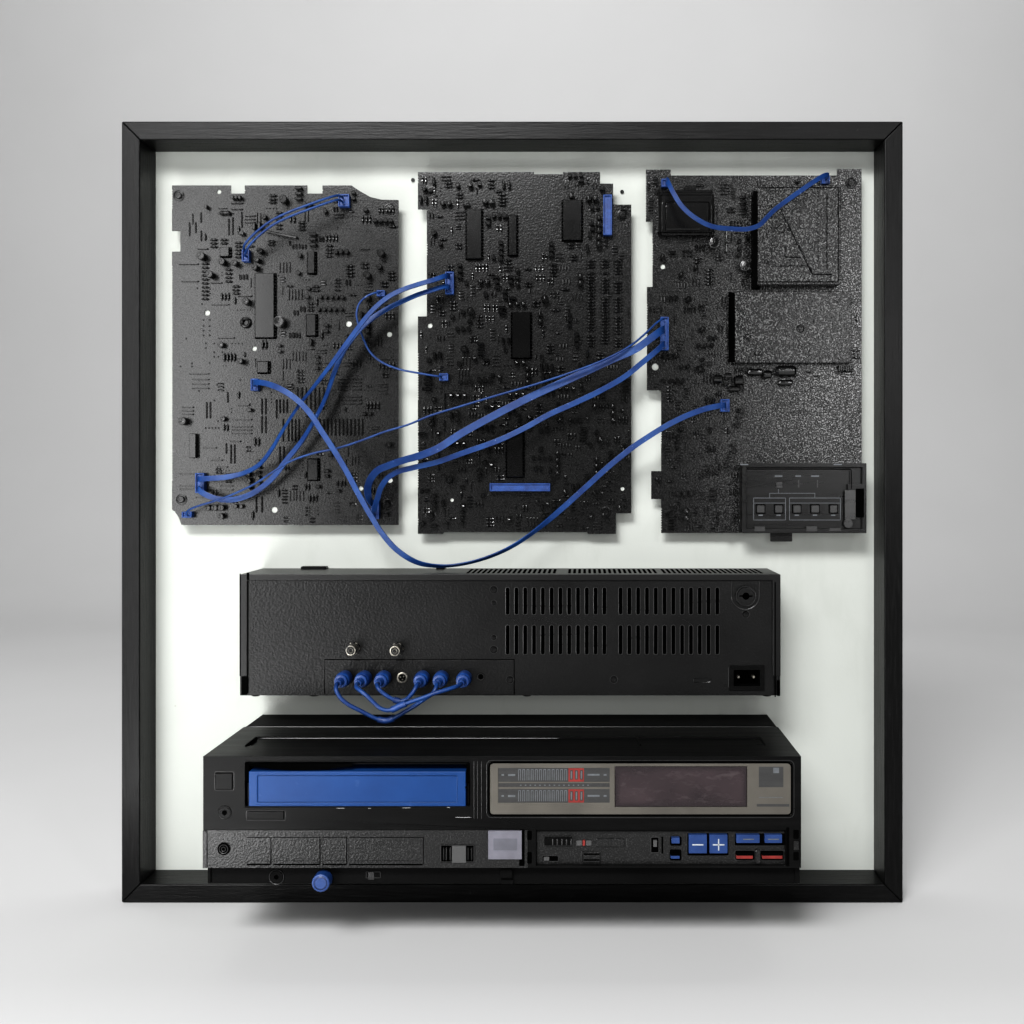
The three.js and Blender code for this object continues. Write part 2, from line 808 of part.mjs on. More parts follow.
// The bezel is one moulding: top, cheeks, upper face and the recess for the small controls.
function frontBezel() {
  const t = mouldThickness;
  const bezelBack = frontFace + bezelLength;
  const cheekInside = playerHalf - t;
  const top = block([-playerHalf, playerHalf], [frontFace, bezelBack], [0, -t]);
  const cheeks = [-1, 1].map((side) =>
    block([side * playerHalf, side * cheekInside], [frontFace, bezelBack], [0, lowerEnd]),
  );
  const upper = block([-playerHalf, playerHalf], [frontFace, upperBack], [0, -upperFaceHeight]);
  const recessLeft = faceX(recessLeftShare);
  const recessRight = faceX(recessRightShare);
  const recessOuter = recessLeft - recessPostWidth;
  const surround = block(
    [recessOuter, playerHalf],
    [frontFace, recessBack],
    [-upperFaceHeight + recessRim, lowerEnd],
  );
  const recess = block(
    [recessLeft, recessRight],
    [recessFloor, frontFace - cutOverrun],
    [-upperFaceHeight, lowerEnd + recessRim],
  );
  const lugs = [-1, 1].map((side) =>
    block(
      [slotX + side * slotHalf, slotX + side * (slotHalf + flapLugWidth)],
      [frontFace + t / 2, upperBack + flapLugDepth],
      [-t / 2, -t - flapLugHeight],
    ),
  );
  const band = block(
    grown([-playerHalf, playerHalf], -bandInset),
    [frontFace + bandSetback, frontFace + bandSetback + bandWidth],
    [-bandDepth, cutOverrun],
  );
  const rings = barAlongY(
    faceX(upperSocketShares[0]),
    upperZ(upperSocketShares[1]),
    socketRingRadius,
    [upperBack, frontFace - socketRingProud],
  );
  const throughUpper = [frontFace, upperBack];
  const cuts = [
    recess,
    band,
    holeFor(slot, throughUpper, 0),
    holeFor(onUpper(powerShares), throughUpper),
    holeFor(onUpper(ejectShares), throughUpper),
    holeFor(onUpper(surroundShares), throughUpper),
    barAlongY(
      faceX(upperSocketShares[0]),
      upperZ(upperSocketShares[1]),
      socketBoreRadius,
      [upperBack + cutOverrun, frontFace - socketRingProud - cutOverrun],
      smallRoundSides,
    ),
    barAlongX(
      grown([slotX - slotHalf, slotX + slotHalf], flapPinLength + fitGap),
      flapY,
      flapZ,
      flapPinRadius + fitGap,
    ),
  ];
  const throughFloor = [recessFloor, recessBack];
  for (const shares of Object.values(recessButtonShares)) {
    cuts.push(holeFor(onLower(shares), throughFloor));
  }
  const slide = onLower(ribbedSlideShares);
  slide.across = [slide.across[0] - ribbedSlideTravel, slide.across[1]];
  cuts.push(holeFor(slide, throughFloor));
  return without(joined([top, ...cheeks, upper, surround, ...lugs, rings]), cuts);
}
frontGroup.add(meshOf("front_bezel", frontBezel(), satinBlack));

// The four long keys share one row and are parted by thin webs of the panel.
const keyNames = ["rewind_key", "play_key", "forward_key", "stop_key"];
const keyPlaces = keyNames.map((name, i) =>
  onLower([keyEdgeShares[i] + keyWebShare, keyEdgeShares[i + 1] - keyWebShare, ...keyRowShares]),
);
const slideWindow = onLower(slideWindowShares);

// The function panel is the textured plate under the slot, folded in at its top and bottom.
const panelRight = faceX(recessLeftShare) - recessPostWidth - fitGap;
function functionPanel() {
  const t = mouldThickness;
  const across = [-playerHalf + t + fitGap, panelRight];
  const top = -upperFaceHeight - fitGap;
  const returnBack = frontFace + panelReturnDepth;
  const plate = block(across, [frontFace, upperBack], [top, lowerEnd]);
  const topReturn = block(across, [frontFace, returnBack], [top, top - sheetThickness]);
  const bottomReturn = block(across, [frontFace, returnBack], [
    lowerEnd + sheetThickness,
    lowerEnd,
  ]);
  const ring = barAlongY(
    faceX(lowerSocketShares[0]),
    lowerZ(lowerSocketShares[1]),
    socketRingRadius,
    [upperBack, frontFace - socketRingProud],
  );
  const bore = barAlongY(
    faceX(lowerSocketShares[0]),
    lowerZ(lowerSocketShares[1]),
    socketBoreRadius,
    [upperBack + cutOverrun, frontFace - socketRingProud - cutOverrun],
    smallRoundSides,
  );
  const grey = onLower(greyShares);
  grey.up = [grey.up[0], top + cutOverrun];
  const through = [frontFace, returnBack];
  const cuts = [bore, holeFor(grey, through), holeFor(slideWindow, [frontFace, upperBack], 0)];
  for (const place of keyPlaces) {
    cuts.push(holeFor(place, [frontFace, upperBack]));
  }
  return without(joined([plate, topReturn, bottomReturn, ring]), cuts);
}
frontGroup.add(meshOf("function_panel", functionPanel(), satinBlack));

// The metal cover carries the casing on from the bezel to the backboard.
function frontCover() {
  const t = sheetThickness;
  const half = playerHalf - coverInset;
  const span = [frontFace + bezelLength + fitGap, boardBack];
  const outside = block([-half, half], span, [-coverDrop, lowerEnd]);
  const inside = block(
    [-half + t, half - t],
    [span[0] - cutOverrun, span[1] + cutOverrun],
    [-coverDrop - t, lowerEnd - cutOverrun],
  );
  return outside.subtract(inside);
}
frontGroup.add(meshOf("front_cover", frontCover(), satinBlack));

// The bottom pan closes the casing from below and shows as a strip under the face.
const panFront = frontFace + panSetback;
const panBottom = -frontHeight;
const dialX = faceX(dialShares[0]);
const dialZ = panZ(dialShares[1]);
function bottomPan() {
  const t = sheetThickness;
  const half = playerHalf - panInset;
  const floor = block([-half, half], [panFront, boardBack], [panBottom, panBottom + t]);
  const front = block([-half, half], [panFront, panFront + t], [
    panBottom,
    lowerEnd + panFrontRise,
  ]);
  const sides = [-1, 1].map((side) =>
    block([side * half, side * (half - t)], [panFront, boardBack], [
      panBottom,
      lowerEnd + panWallRise,
    ]),
  );
  const socketX = faceX(panSocketShares[0]);
  const socketZ = panZ(panSocketShares[1]);
  const ring = barAlongY(socketX, socketZ, panSocketRadius - fitGap, [
    panFront + t,
    panFront - socketRingProud,
  ]);
  const tab = block(
    [faceX(centreTabShare) - centreTabWidth / 2, faceX(centreTabShare) + centreTabWidth / 2],
    [panFront + t, panFront - t],
    [panBottom, panBottom + centreTabHeight],
  );
  const bore = barAlongY(
    socketX,
    socketZ,
    socketBoreRadius,
    [panFront + t + cutOverrun, panFront - socketRingProud - cutOverrun],
    smallRoundSides,
  );
  const dialHole = barAlongY(dialX, dialZ, dialShaftRadius + fitGap, [
    panFront + t + cutOverrun,
    panFront - cutOverrun,
  ]);
  return without(joined([floor, front, ...sides, ring, tab]), [bore, dialHole]);
}
frontGroup.add(meshOf("bottom_pan", bottomPan(), satinBlack));

// Display: a grey surround with the meter field, and the dark glass in its window
const surroundPlace = onUpper(surroundShares);
const windowPlace = onUpper(windowShares);
const surroundFront = frontFace - surroundProud;
function displaySurround() {
  const plate = block(
    surroundPlace.across,
    [surroundFront, surroundFront + surroundThickness],
    surroundPlace.up,
  );
  const meters = onUpper(meterShares);
  const field = block(
    meters.across,
    [surroundFront - cutOverrun, surroundFront + meterRecessDepth],
    meters.up,
  );
  return without(plate, [
    field,
    holeFor(windowPlace, [surroundFront, surroundFront + surroundThickness], fitGap),
  ]);
}
frontGroup.add(
  meshOf("display_surround", displaySurround(), surroundGrey),
  meshOf(
    "display_glass",
    block(windowPlace.across, [frontFace, frontFace + glassThickness], windowPlace.up),
    displayPurple,
  ),
);

// The tray carries the cassette and stops it at the back.
const cassetteFront = frontFace - cassetteProud;
const cassetteBack = cassetteFront + cassetteDepth;
function cassetteTray() {
  const inner = cassetteWidth / 2 + trayClearance;
  const outer = inner + trayThickness;
  const floorTop = cassetteBottom - fitGap;
  const span = [upperBack + fitGap, boardBack];
  const floor = block([slotX - outer, slotX + outer], span, [
    floorTop,
    floorTop - trayThickness,
  ]);
  const sides = [-1, 1].map((side) =>
    block([slotX + side * inner, slotX + side * outer], span, [
      floorTop + traySideHeight,
      floorTop - trayThickness,
    ]),
  );
  const stopHalf = inner + trayThickness / 2;
  const stop = block(
    [slotX - stopHalf, slotX + stopHalf],
    [cassetteBack + fitGap, cassetteBack + fitGap + trayThickness],
    [floorTop + trayStopHeight, floorTop - trayThickness / 2],
  );
  return joined([floor, ...sides, stop]);
}
frontGroup.add(meshOf("cassette_tray", cassetteTray(), satinBlack));

function cassette() {
  const half = cassetteWidth / 2;
  const shell = block(
    [slotX - half, slotX + half],
    [cassetteFront, cassetteBack],
    [cassetteBottom, cassetteTop],
  );
  const label = block(
    [slotX - half + cassetteLabelMargin, slotX + half - cassetteLabelMargin],
    [cassetteFront - cutOverrun, cassetteFront + cassetteLabelDepth],
    [cassetteBottom + cassetteLabelDrop, cassetteTop - cassetteLabelDrop],
  );
  return shell.subtract(label);
}
frontGroup.add(meshOf("cassette", cassette(), bluePaint));

// The slot door hangs on two pins and lies back on the cassette.
function slotFlap() {
  const span = [slotX - slotHalf + fitGap, slotX + slotHalf - fitGap];
  const barrel = barAlongX(span, flapY, flapZ, flapBarrelRadius);
  const pins = barAlongX(grown(span, flapPinLength), flapY, flapZ, flapPinRadius);
  const endBottom = cassetteTop + fitGap;
  const section = [
    [flapY, flapZ + flapThickness / 2],
    [flapY, flapZ - flapThickness / 2],
    [flapY + flapLength, endBottom],
    [flapY + flapLength, endBottom + flapThickness],
  ];
  return joined([barrel, pins, barOfSection(section, span)]);
}
frontGroup.add(meshOf("slot_flap", slotFlap(), satinBlack));

// Buttons and keys of the upper face and the function panel
const capFront = frontFace - buttonProud;
frontGroup.add(
  meshOf("power_button", button(onUpper(powerShares), capFront, upperBack), satinBlack),
  meshOf("eject_button", button(onUpper(ejectShares), capFront, upperBack), satinBlack),
);
keyNames.forEach((name, i) => {
  frontGroup.add(meshOf(name, button(keyPlaces[i], capFront, upperBack), satinBlack));
});

// The grey button fills a notch in the panel's top edge, so its flange is below it only.
function pauseButton() {
  const place = onLower(greyShares);
  const flangeFront = upperBack + fitGap;
  const back = flangeFront + flangeThickness;
  const cap = block(place.across, [frontFace - pauseProud, back], place.up);
  const flange = block(place.across, [flangeFront, back], [
    place.up[0] - flangeOverlap,
    place.up[1],
  ]);
  return cap.add(flange);
}
frontGroup.add(meshOf("pause_button", pauseButton(), buttonGrey));

// Slide in the small window: a knob with flanges behind the panel
function windowSlide() {
  const [left, right] = slideWindow.across;
  const centre = left + slideKnobRestShare * (right - left);
  const place = {
    across: [centre - slideKnobWidth / 2, centre + slideKnobWidth / 2],
    up: grown(slideWindow.up, -fitGap),
  };
  return button(place, frontFace - slideKnobProud, upperBack);
}
frontGroup.add(meshOf("window_slide", windowSlide(), satinBlack));

// Small controls standing in the recess
const recessCapFront = recessFloor - recessButtonProud;
for (const [name, shares] of Object.entries(recessButtonShares)) {
  const made = button(onLower(shares), recessCapFront, recessBack);
  frontGroup.add(meshOf(name, made, recessButtonFinish[name] ?? bluePaint));
}
frontGroup.add(
  meshOf(
    "ribbed_slide",
    button(onLower(ribbedSlideShares), recessCapFront, recessBack),
    satinBlack,
  ),
);

// The dial turns in the pan's front wall and is kept in by a collar behind it.
function dial() {
  const wallBack = panFront + sheetThickness;
  const head = barAlongY(dialX, dialZ, dialRadius, [
    panFront - dialShaftGap - dialLength,
    panFront - dialShaftGap,
  ]);
  const shaft = barAlongY(
    dialX,
    dialZ,
    dialShaftRadius,
    [panFront - dialShaftGap, wallBack + fitGap + flangeThickness],
    roundSides,
  );
  const collar = barAlongY(dialX, dialZ, dialCollarRadius, [
    wallBack + fitGap,
    wallBack + fitGap + flangeThickness,
  ]);
  return joined([head, shaft, collar]);
}
frontGroup.add(meshOf("input_dial", dial(), bluePaint));

// Leads: each runs in free air from one socket or plug to another along chosen points
const leadRoutes = {
  ribbon_left_jumper: {
    diameter: ribbonWidth,
    points: [
      [-222, -24, 214], [-222, -28, 214], [-219, -35, 218], [-210, -39, 226], [-196, -41, 236],
      [-181, -42, 243], [-166, -41, 249], [-152, -38, 255], [-144, -34, 258.5],
      [-142, -28, 259], [-142, -24, 259],
    ],
  },
  wire_left_to_middle: {
    diameter: wireDiameter,
    points: [
      [-111, -24, 182], [-111, -27, 182], [-114, -29.5, 181], [-121, -30, 178],
      [-127, -30, 172], [-129, -31, 163], [-127, -31, 153], [-123, -31, 142], [-118, -31, 132],
      [-109, -31, 124], [-95, -31, 118], [-78, -31, 114.5], [-66, -30.5, 112.5],
      [-61.5, -29.5, 112], [-60, -27, 112], [-60, -24, 112],
    ],
  },
  ribbon_upper_middle: {
    diameter: ribbonWidth,
    points: [
      [-53, -24, 195], [-53, -28, 195], [-56, -35, 193.5], [-64, -39, 190], [-76, -41, 186],
      [-88, -43, 181.5], [-99, -44, 176], [-109, -45, 168], [-118, -46, 158], [-132, -45, 140],
      [-148, -43, 119], [-162, -41, 102], [-172, -40, 90], [-181, -40, 77], [-189, -40, 64],
      [-197, -39, 51], [-207, -38, 39], [-220, -37, 32], [-235, -37, 28.5], [-249, -36, 27.5],
      [-258, -33, 27], [-261, -28, 27], [-261, -24, 27],
    ],
  },
  ribbon_lower_middle: {
    diameter: ribbonWidth,
    points: [
      [-53, -24, 186], [-53, -28, 186], [-57, -32, 185.5], [-66, -34, 182.5], [-77, -34, 179],
      [-89, -34, 174], [-100, -35, 168.5], [-110, -36, 162.5], [-119, -37, 155.5],
      [-128, -37, 146.5], [-138, -37, 132.5], [-146, -36, 115], [-154, -35, 93],
      [-164, -34, 74], [-174, -33, 58], [-186, -33, 43], [-199, -32, 27], [-215, -32, 15],
      [-231, -32, 10], [-245, -32, 11], [-256, -31, 15.5], [-261, -28, 19], [-261, -24, 19],
    ],
  },
  ribbon_left_to_right: {
    diameter: ribbonWidth,
    points: [
      [-215, -24, 106], [-215, -28, 106], [-211, -35, 106.5], [-201, -42, 105],
      [-188, -48, 100.5], [-174, -51, 92], [-162, -52, 80], [-152, -53, 65], [-142, -54, 50],
      [-132, -54, 33], [-123, -54, 16], [-113, -53, -2], [-104, -51, -17], [-92, -48, -31],
      [-76, -45, -41], [-58, -42, -44], [-38, -40, -42], [-17, -38, -36], [2, -37, -27],
      [22, -37, -13], [41, -37, 3], [61, -37, 21], [81, -37, 39], [100, -37, 54],
      [112, -38, 62], [125, -38, 70], [143, -37, 79], [158, -37, 84.5], [169, -36, 87],
      [175, -33, 88], [176, -28, 88], [176, -24, 88],
    ],
  },
  ribbon_upper_right: {
    diameter: ribbonWidth,
    points: [
      [-117, -24, 7], [-117, -28, 7], [-118, -35, 11], [-118, -40, 19], [-115, -43, 27],
      [-109, -44, 34], [-100, -44, 38], [-89, -44, 42], [-75, -44, 46], [-60, -44, 52],
      [-41, -44, 64], [-10, -44, 81], [20, -44, 96], [51, -44, 110], [81, -43, 124],
      [101, -42, 133], [112, -40, 141], [121, -36, 148], [125, -29, 151], [125, -24, 151],
    ],
  },
  ribbon_lower_right: {
    diameter: ribbonWidth,
    points: [
      [-115, -24, -2], [-115, -28, -2], [-114, -32, 3], [-111, -35, 11], [-108, -36, 20],
      [-102, -37, 28], [-94, -37, 33], [-83, -36, 36], [-62, -35, 41], [-42, -35, 48],
      [-11, -35, 59], [10, -35, 69], [30, -35, 80], [50, -35, 89], [71, -35, 99],
      [92, -35, 111], [107, -35, 123], [119, -34, 133], [125, -29, 139], [125, -24, 139],
    ],
  },
  wire_left_to_right: {
    diameter: wireDiameter,
    points: [
      [-271, -24, -3], [-271, -27, -3], [-268, -31, 1], [-258, -34, 5], [-244, -36, 9],
      [-230, -38, 14], [-210, -41, 23], [-194, -44, 33], [-178, -46, 42], [-160, -47, 48],
      [-141, -47, 52], [-122, -48, 58], [-103, -49, 65], [-83, -50, 71], [-66, -50, 78],
      [-40, -50, 86], [-10, -50, 95], [21, -50, 104], [51, -50, 114], [76, -48, 124],
      [96, -45, 135], [110, -38, 147], [119, -33, 156], [124, -30, 159.5], [125, -27, 160],
      [125, -24, 160],
    ],
  },
  ribbon_tuner: {
    diameter: ribbonWidth,
    points: [
      [127, -24, 274], [127, -28, 274], [127, -35, 273], [128, -41, 268], [132, -46, 258],
      [138, -48, 248], [148, -48, 239], [162, -47, 232], [179, -46, 230], [192, -46, 230],
      [201, -46, 233], [207, -46, 239], [213, -46, 245], [222, -46, 252], [236, -45, 262],
      [248, -43, 270.5], [256, -39, 275.5], [260, -34, 277], [260, -28, 277], [260, -24, 277],
    ],
  },
  patch_lead_1: {
    diameter: patchLeadDiameter,
    points: [
      [-131, -88.5, -130.8], [-131, -92, -130.8], [-130.5, -96, -134], [-127, -97, -140],
      [-121, -97, -145], [-112, -96, -150], [-105, -95, -154], [-99, -94, -157],
      [-93, -94, -158], [-87, -95, -156], [-78, -95, -151], [-70, -96, -146], [-63, -97, -141],
      [-57, -97, -137], [-54.4, -95.5, -133], [-54.2, -92, -130.8], [-54.2, -88.5, -130.8],
    ],
  },
  patch_lead_2: {
    diameter: patchLeadDiameter,
    points: [
      [-115.5, -88.5, -130.8], [-115.5, -92, -130.8], [-114.5, -98, -131.8], [-110, -102, -134],
      [-104.5, -103.5, -138], [-99.5, -103.5, -143], [-95, -104, -146.5], [-90, -104, -148],
      [-85, -104, -147], [-80, -104, -144.5], [-71, -105, -141], [-62, -105, -138],
      [-54, -104, -135], [-46, -102, -133], [-38.5, -97, -131.3], [-36, -92, -130.8],
      [-36, -88.5, -130.8],
    ],
  },
  patch_lead_3: {
    diameter: patchLeadDiameter,
    points: [
      [-100, -88.5, -130.8], [-100, -92, -130.8], [-98.5, -95.5, -133], [-94, -96, -137],
      [-88, -95.5, -141], [-82, -95, -143], [-77, -95, -141.5], [-72.5, -96, -137],
      [-70, -95, -133], [-69.2, -92, -130.8], [-69.2, -88.5, -130.8],
    ],
  },
};

// A section of the lead swept along its smooth route.
function lead({ diameter, points }) {
  const route = new THREE.CatmullRomCurve3(points.map((p) => new THREE.Vector3(...p)));
  const wanted = Math.round((route.getLength() * stepsPerDiameter) / diameter);
  const steps = Math.min(mostLeadSteps, wanted);
  const section = new THREE.Shape();
  for (let i = 0; i < leadSides; i += 1) {
    const angle = (i * 2 * Math.PI) / leadSides;
    const x = (Math.cos(angle) * diameter) / 2;
    const y = (Math.sin(angle) * diameter) / 2;
    if (i === 0) {
      section.moveTo(x, y);
    } else {
      section.lineTo(x, y);
    }
  }
  return new THREE.ExtrudeGeometry(section, { steps, extrudePath: route, bevelEnabled: false });
}
for (const [name, route] of Object.entries(leadRoutes)) {
  leadsGroup.add(meshOf(name, solid(lead(route)), bluePaint));
}

export default wallDisplay;
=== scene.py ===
# %% [markdown]
# The object is a home video recorder that was taken apart and mounted as a display.
# A square black wooden frame holds a white backboard. On it stand three circuit boards sprayed
# black, the cut-off rear of the recorder with its jacks, and the cut-off front with its cassette.
# Blue ribbons join the boards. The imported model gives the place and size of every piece, and
# this script gives each one its finish and its fine shape around that fixed model.

# %% Load the fixed frame
import math
import random

import bmesh
import bpy
import numpy as np
from mathutils import Matrix, Vector


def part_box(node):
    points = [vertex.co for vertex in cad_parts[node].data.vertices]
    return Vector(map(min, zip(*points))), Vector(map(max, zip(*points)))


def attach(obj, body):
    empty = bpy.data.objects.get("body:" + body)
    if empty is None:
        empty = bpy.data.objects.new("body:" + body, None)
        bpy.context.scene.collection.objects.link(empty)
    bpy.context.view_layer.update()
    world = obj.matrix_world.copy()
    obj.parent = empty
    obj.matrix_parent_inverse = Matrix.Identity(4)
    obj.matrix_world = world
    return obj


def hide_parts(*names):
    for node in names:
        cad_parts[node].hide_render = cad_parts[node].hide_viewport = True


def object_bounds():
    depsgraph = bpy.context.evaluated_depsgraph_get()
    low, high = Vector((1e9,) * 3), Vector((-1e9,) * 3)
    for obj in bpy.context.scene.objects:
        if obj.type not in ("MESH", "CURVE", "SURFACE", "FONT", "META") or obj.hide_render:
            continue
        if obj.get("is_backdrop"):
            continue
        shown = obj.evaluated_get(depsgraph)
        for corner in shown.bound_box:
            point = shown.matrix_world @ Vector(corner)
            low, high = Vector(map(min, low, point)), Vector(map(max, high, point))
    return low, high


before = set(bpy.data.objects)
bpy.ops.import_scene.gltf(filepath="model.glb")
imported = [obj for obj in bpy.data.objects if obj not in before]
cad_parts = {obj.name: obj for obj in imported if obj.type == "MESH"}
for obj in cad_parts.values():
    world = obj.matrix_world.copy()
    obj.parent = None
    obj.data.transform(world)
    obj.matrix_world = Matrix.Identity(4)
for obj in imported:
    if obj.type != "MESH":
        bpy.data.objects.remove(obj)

model_low, model_high = (list(corner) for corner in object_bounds())
MM = 0.001
scene = bpy.context.scene
print("the packed model spans", [round(high - low, 3) for low, high in zip(model_low, model_high)])

# %% [markdown]
# The camera comes first, because everything else is judged through it. The photograph was taken
# square-on, from a little right of the middle. A square-on camera keeps the frame's sides
# upright, and a small lens shift then slides the picture, as cropping a photo does.

# %% Camera at the photograph's viewpoint
eye = Vector((0.0596, -0.898, 0.0262))
photo_side = 1024
photo_focal = 1050.0
photo_centre = (585.0, 480.0)
sensor_width = 36.0

camera_data = bpy.data.cameras.new("photo_camera")
camera_data.sensor_width = sensor_width
camera_data.lens = photo_focal / photo_side * sensor_width
camera_data.shift_x = (photo_side / 2 - photo_centre[0]) / photo_side
camera_data.shift_y = (photo_centre[1] - photo_side / 2) / photo_side
camera_data.clip_start = 0.01
camera = bpy.data.objects.new("photo_camera", camera_data)
camera.location = eye
camera.rotation_euler = (math.radians(90), 0, 0)
scene.collection.objects.link(camera)
scene.camera = camera


def seen(column, row, y):
    """The point on the plane at depth y that shows at this column and row of the photograph."""
    reach = (y - eye.y) / photo_focal
    across = eye.x + (column - photo_centre[0]) * reach
    up = eye.z - (row - photo_centre[1]) * reach
    return across, up


def seen_box(left, top, right, bottom, y):
    """The same for a rectangle: its low and high X, and its low and high Z."""
    low_x, high_z = seen(left, top, y)
    high_x, low_z = seen(right, bottom, y)
    return low_x, high_x, low_z, high_z


print("the frame's top left corner shows at", seen(121.0, 123.0, -0.038))
# %% [markdown]
# A Blender material is a graph of nodes. Wiring such a graph by hand takes many lines, so two
# small classes make it read like arithmetic. Wire wraps one socket, and adding or multiplying
# wires adds Math nodes. Recipe holds one material and adds any other node by its type.

# %% Helpers that write materials as sums
class Wire:
    """One socket of a material, which can be used in sums."""

    def __init__(self, recipe, socket):
        self.recipe = recipe
        self.socket = socket

    def math(self, operation, *others):
        made = self.recipe.node("ShaderNodeMath", {"operation": operation}, dict(enumerate([self, *others])))
        return made[0]

    def __add__(self, other):
        return self.math("ADD", other)

    def __radd__(self, other):
        return self.math("ADD", other)

    def __sub__(self, other):
        return self.math("SUBTRACT", other)

    def __rsub__(self, other):
        return self.recipe.node("ShaderNodeMath", {"operation": "SUBTRACT"}, {0: other, 1: self})[0]

    def __mul__(self, other):
        return self.math("MULTIPLY", other)

    def __rmul__(self, other):
        return self.math("MULTIPLY", other)

    def __truediv__(self, other):
        return self.math("DIVIDE", other)

    def __lt__(self, other):
        return self.math("LESS_THAN", other)

    def __gt__(self, other):
        return self.math("GREATER_THAN", other)

    def floor(self):
        return self.math("FLOOR")

    def fraction(self):
        return self.math("FRACT")

    def ramp(self, low, high):
        """Nought below low, one above high, and a straight slope between them."""
        settings = {"interpolation_type": "LINEAR", "clamp": True}
        return self.recipe.node("ShaderNodeMapRange", settings, {0: self, 1: low, 2: high})[0]


class Recipe:
    """One material under construction."""

    def __init__(self, name):
        self.material = bpy.data.materials.new(name)
        self.material.use_nodes = True
        self.tree = self.material.node_tree
        self.shader = self.tree.nodes["Principled BSDF"]

    def node(self, kind, settings=None, inputs=None):
        """Adds a node, sets it up, feeds its sockets, and returns its outputs as wires."""
        made = self.tree.nodes.new(kind)
        for name, value in (settings or {}).items():
            if name == "stops":
                self.set_stops(made, value)
            else:
                setattr(made, name, value)
        for key, value in (inputs or {}).items():
            self.feed(made.inputs[key], value)
        return [Wire(self, socket) for socket in made.outputs]

    def set_stops(self, ramp_node, stops):
        points = ramp_node.color_ramp.elements
        while len(points) < len(stops):
            points.new(0.5)
        for point, (place, value) in zip(points, stops):
            point.position = place
            point.color = (value, value, value, 1.0)

    def feed(self, socket, value):
        if isinstance(value, Wire):
            self.tree.links.new(value.socket, socket)
        else:
            socket.default_value = value

    def place(self, scale=(1, 1, 1), turn=(0, 0, 0)):
        """Object coordinates in metres, scaled and turned."""
        space = self.node("ShaderNodeTexCoord")[3]
        return self.node("ShaderNodeMapping", {}, {"Vector": space, "Scale": scale, "Rotation": turn})[0]

    def axes(self, place):
        return self.node("ShaderNodeSeparateXYZ", {}, {0: place})

    def noise(self, place, scale, detail=3.0, roughness=0.5, distortion=0.0):
        inputs = {"Vector": place, "Scale": scale, "Detail": detail, "Roughness": roughness,
                  "Distortion": distortion}
        return self.node("ShaderNodeTexNoise", {}, inputs)[0]

    def cells(self, place, scale, feature="F1", metric="EUCLIDEAN"):
        settings = {"feature": feature, "distance": metric}
        return self.node("ShaderNodeTexVoronoi", settings, {"Vector": place, "Scale": scale})[0]

    def random(self, *values):
        """A steady random number for each whole-number place."""
        joined = self.node("ShaderNodeCombineXYZ", {}, dict(enumerate(values)))[0]
        return self.node("ShaderNodeTexWhiteNoise", {"noise_dimensions": "3D"}, {"Vector": joined})[0]

    def mix(self, share, low, high):
        """A colour that runs from low to high as share runs from nought to one."""
        made = self.tree.nodes.new("ShaderNodeMix")
        made.data_type = "RGBA"
        made.clamp_factor = True
        for socket, value in zip((made.inputs[0], made.inputs[6], made.inputs[7]), (share, low, high)):
            self.feed(socket, value)
        return Wire(self, made.outputs[2])

    def relief(self, *layers):
        """Bump in metres: each layer is a height wire and the height that it stands for."""
        normal = None
        for height, depth in layers:
            inputs = {"Height": height, "Distance": depth, "Strength": 1.0}
            if normal is not None:
                inputs["Normal"] = normal
            normal = self.node("ShaderNodeBump", {}, inputs)[0]
        self.feed(self.shader.inputs["Normal"], normal)

    def finish(self, color, roughness, **others):
        self.feed(self.shader.inputs["Base Color"], color)
        self.feed(self.shader.inputs["Roughness"], roughness)
        for name, value in others.items():
            self.feed(self.shader.inputs[name.replace("_", " ")], value)
        return self.material


def rgb(red, green, blue):
    """A colour as a screen shows it, in 0 to 255, turned into the light that it stands for."""
    def light(value):
        share = value / 255
        return share / 12.92 if share <= 0.04045 else ((share + 0.055) / 1.055) ** 2.4

    return (light(red), light(green), light(blue), 1.0)


def grey(level):
    return rgb(level, level, level)


# %% [markdown]
# The circuit boards, the units and the cans were all sprayed with the same black paint. It is a
# little glossy, and it dried with a grain like orange peel. The copper tracks under it show as
# fine raised lines, so the boards get a second relief: short runs of parallel lines, some
# upright and some level, switched on and off cell by cell with steady random numbers.

# %% Sprayed black paint, with and without tracks
black_gloss = 0.34


def sprayed_black(name, roughness, grain_scale, grain_depth, level=5, gloss=black_gloss, painted_glints=0.0):
    recipe = Recipe(name)
    place = recipe.place()
    grain = recipe.noise(place, grain_scale, 2.0, 0.55)
    cloud = recipe.noise(place, 9.0, 3.0)
    dust = recipe.noise(place, 420.0, 2.0, 0.7)
    base = recipe.mix(cloud.ramp(0.3, 0.75) * 0.7 + dust.ramp(0.55, 0.8) * 0.3, grey(level),
                      grey(level + 11))
    # Light specks in the colour are painted glints; where they are, the paint is also made metallic.
    fleck = recipe.noise(place, 900.0, 1.0).ramp(0.54, 0.64) * painted_glints
    recipe.relief((grain, grain_depth))
    shine = roughness + (cloud - 0.5) * 0.12 + (grain - 0.5) * 0.1
    color = recipe.mix(fleck, base, grey(150))
    return recipe.finish(color, shine, Specular_IOR_Level=gloss, Metallic=fleck)


track_pitch = 1.4 * MM
track_run = 9.0 * MM
track_fill = 0.46


def track_lines(recipe, along, across, salt):
    """Short parallel lines along one axis, present in about half of the cells."""
    lane = (across / track_pitch).floor()
    wander = recipe.random(lane, salt, 0.0) * 3.0
    run = (along / track_run + wander).floor()
    chosen = recipe.random(lane, run, salt + 0.5) < track_fill
    ridge = ((across / track_pitch).fraction() - 0.5).math("ABSOLUTE") < 0.27
    return chosen * ridge


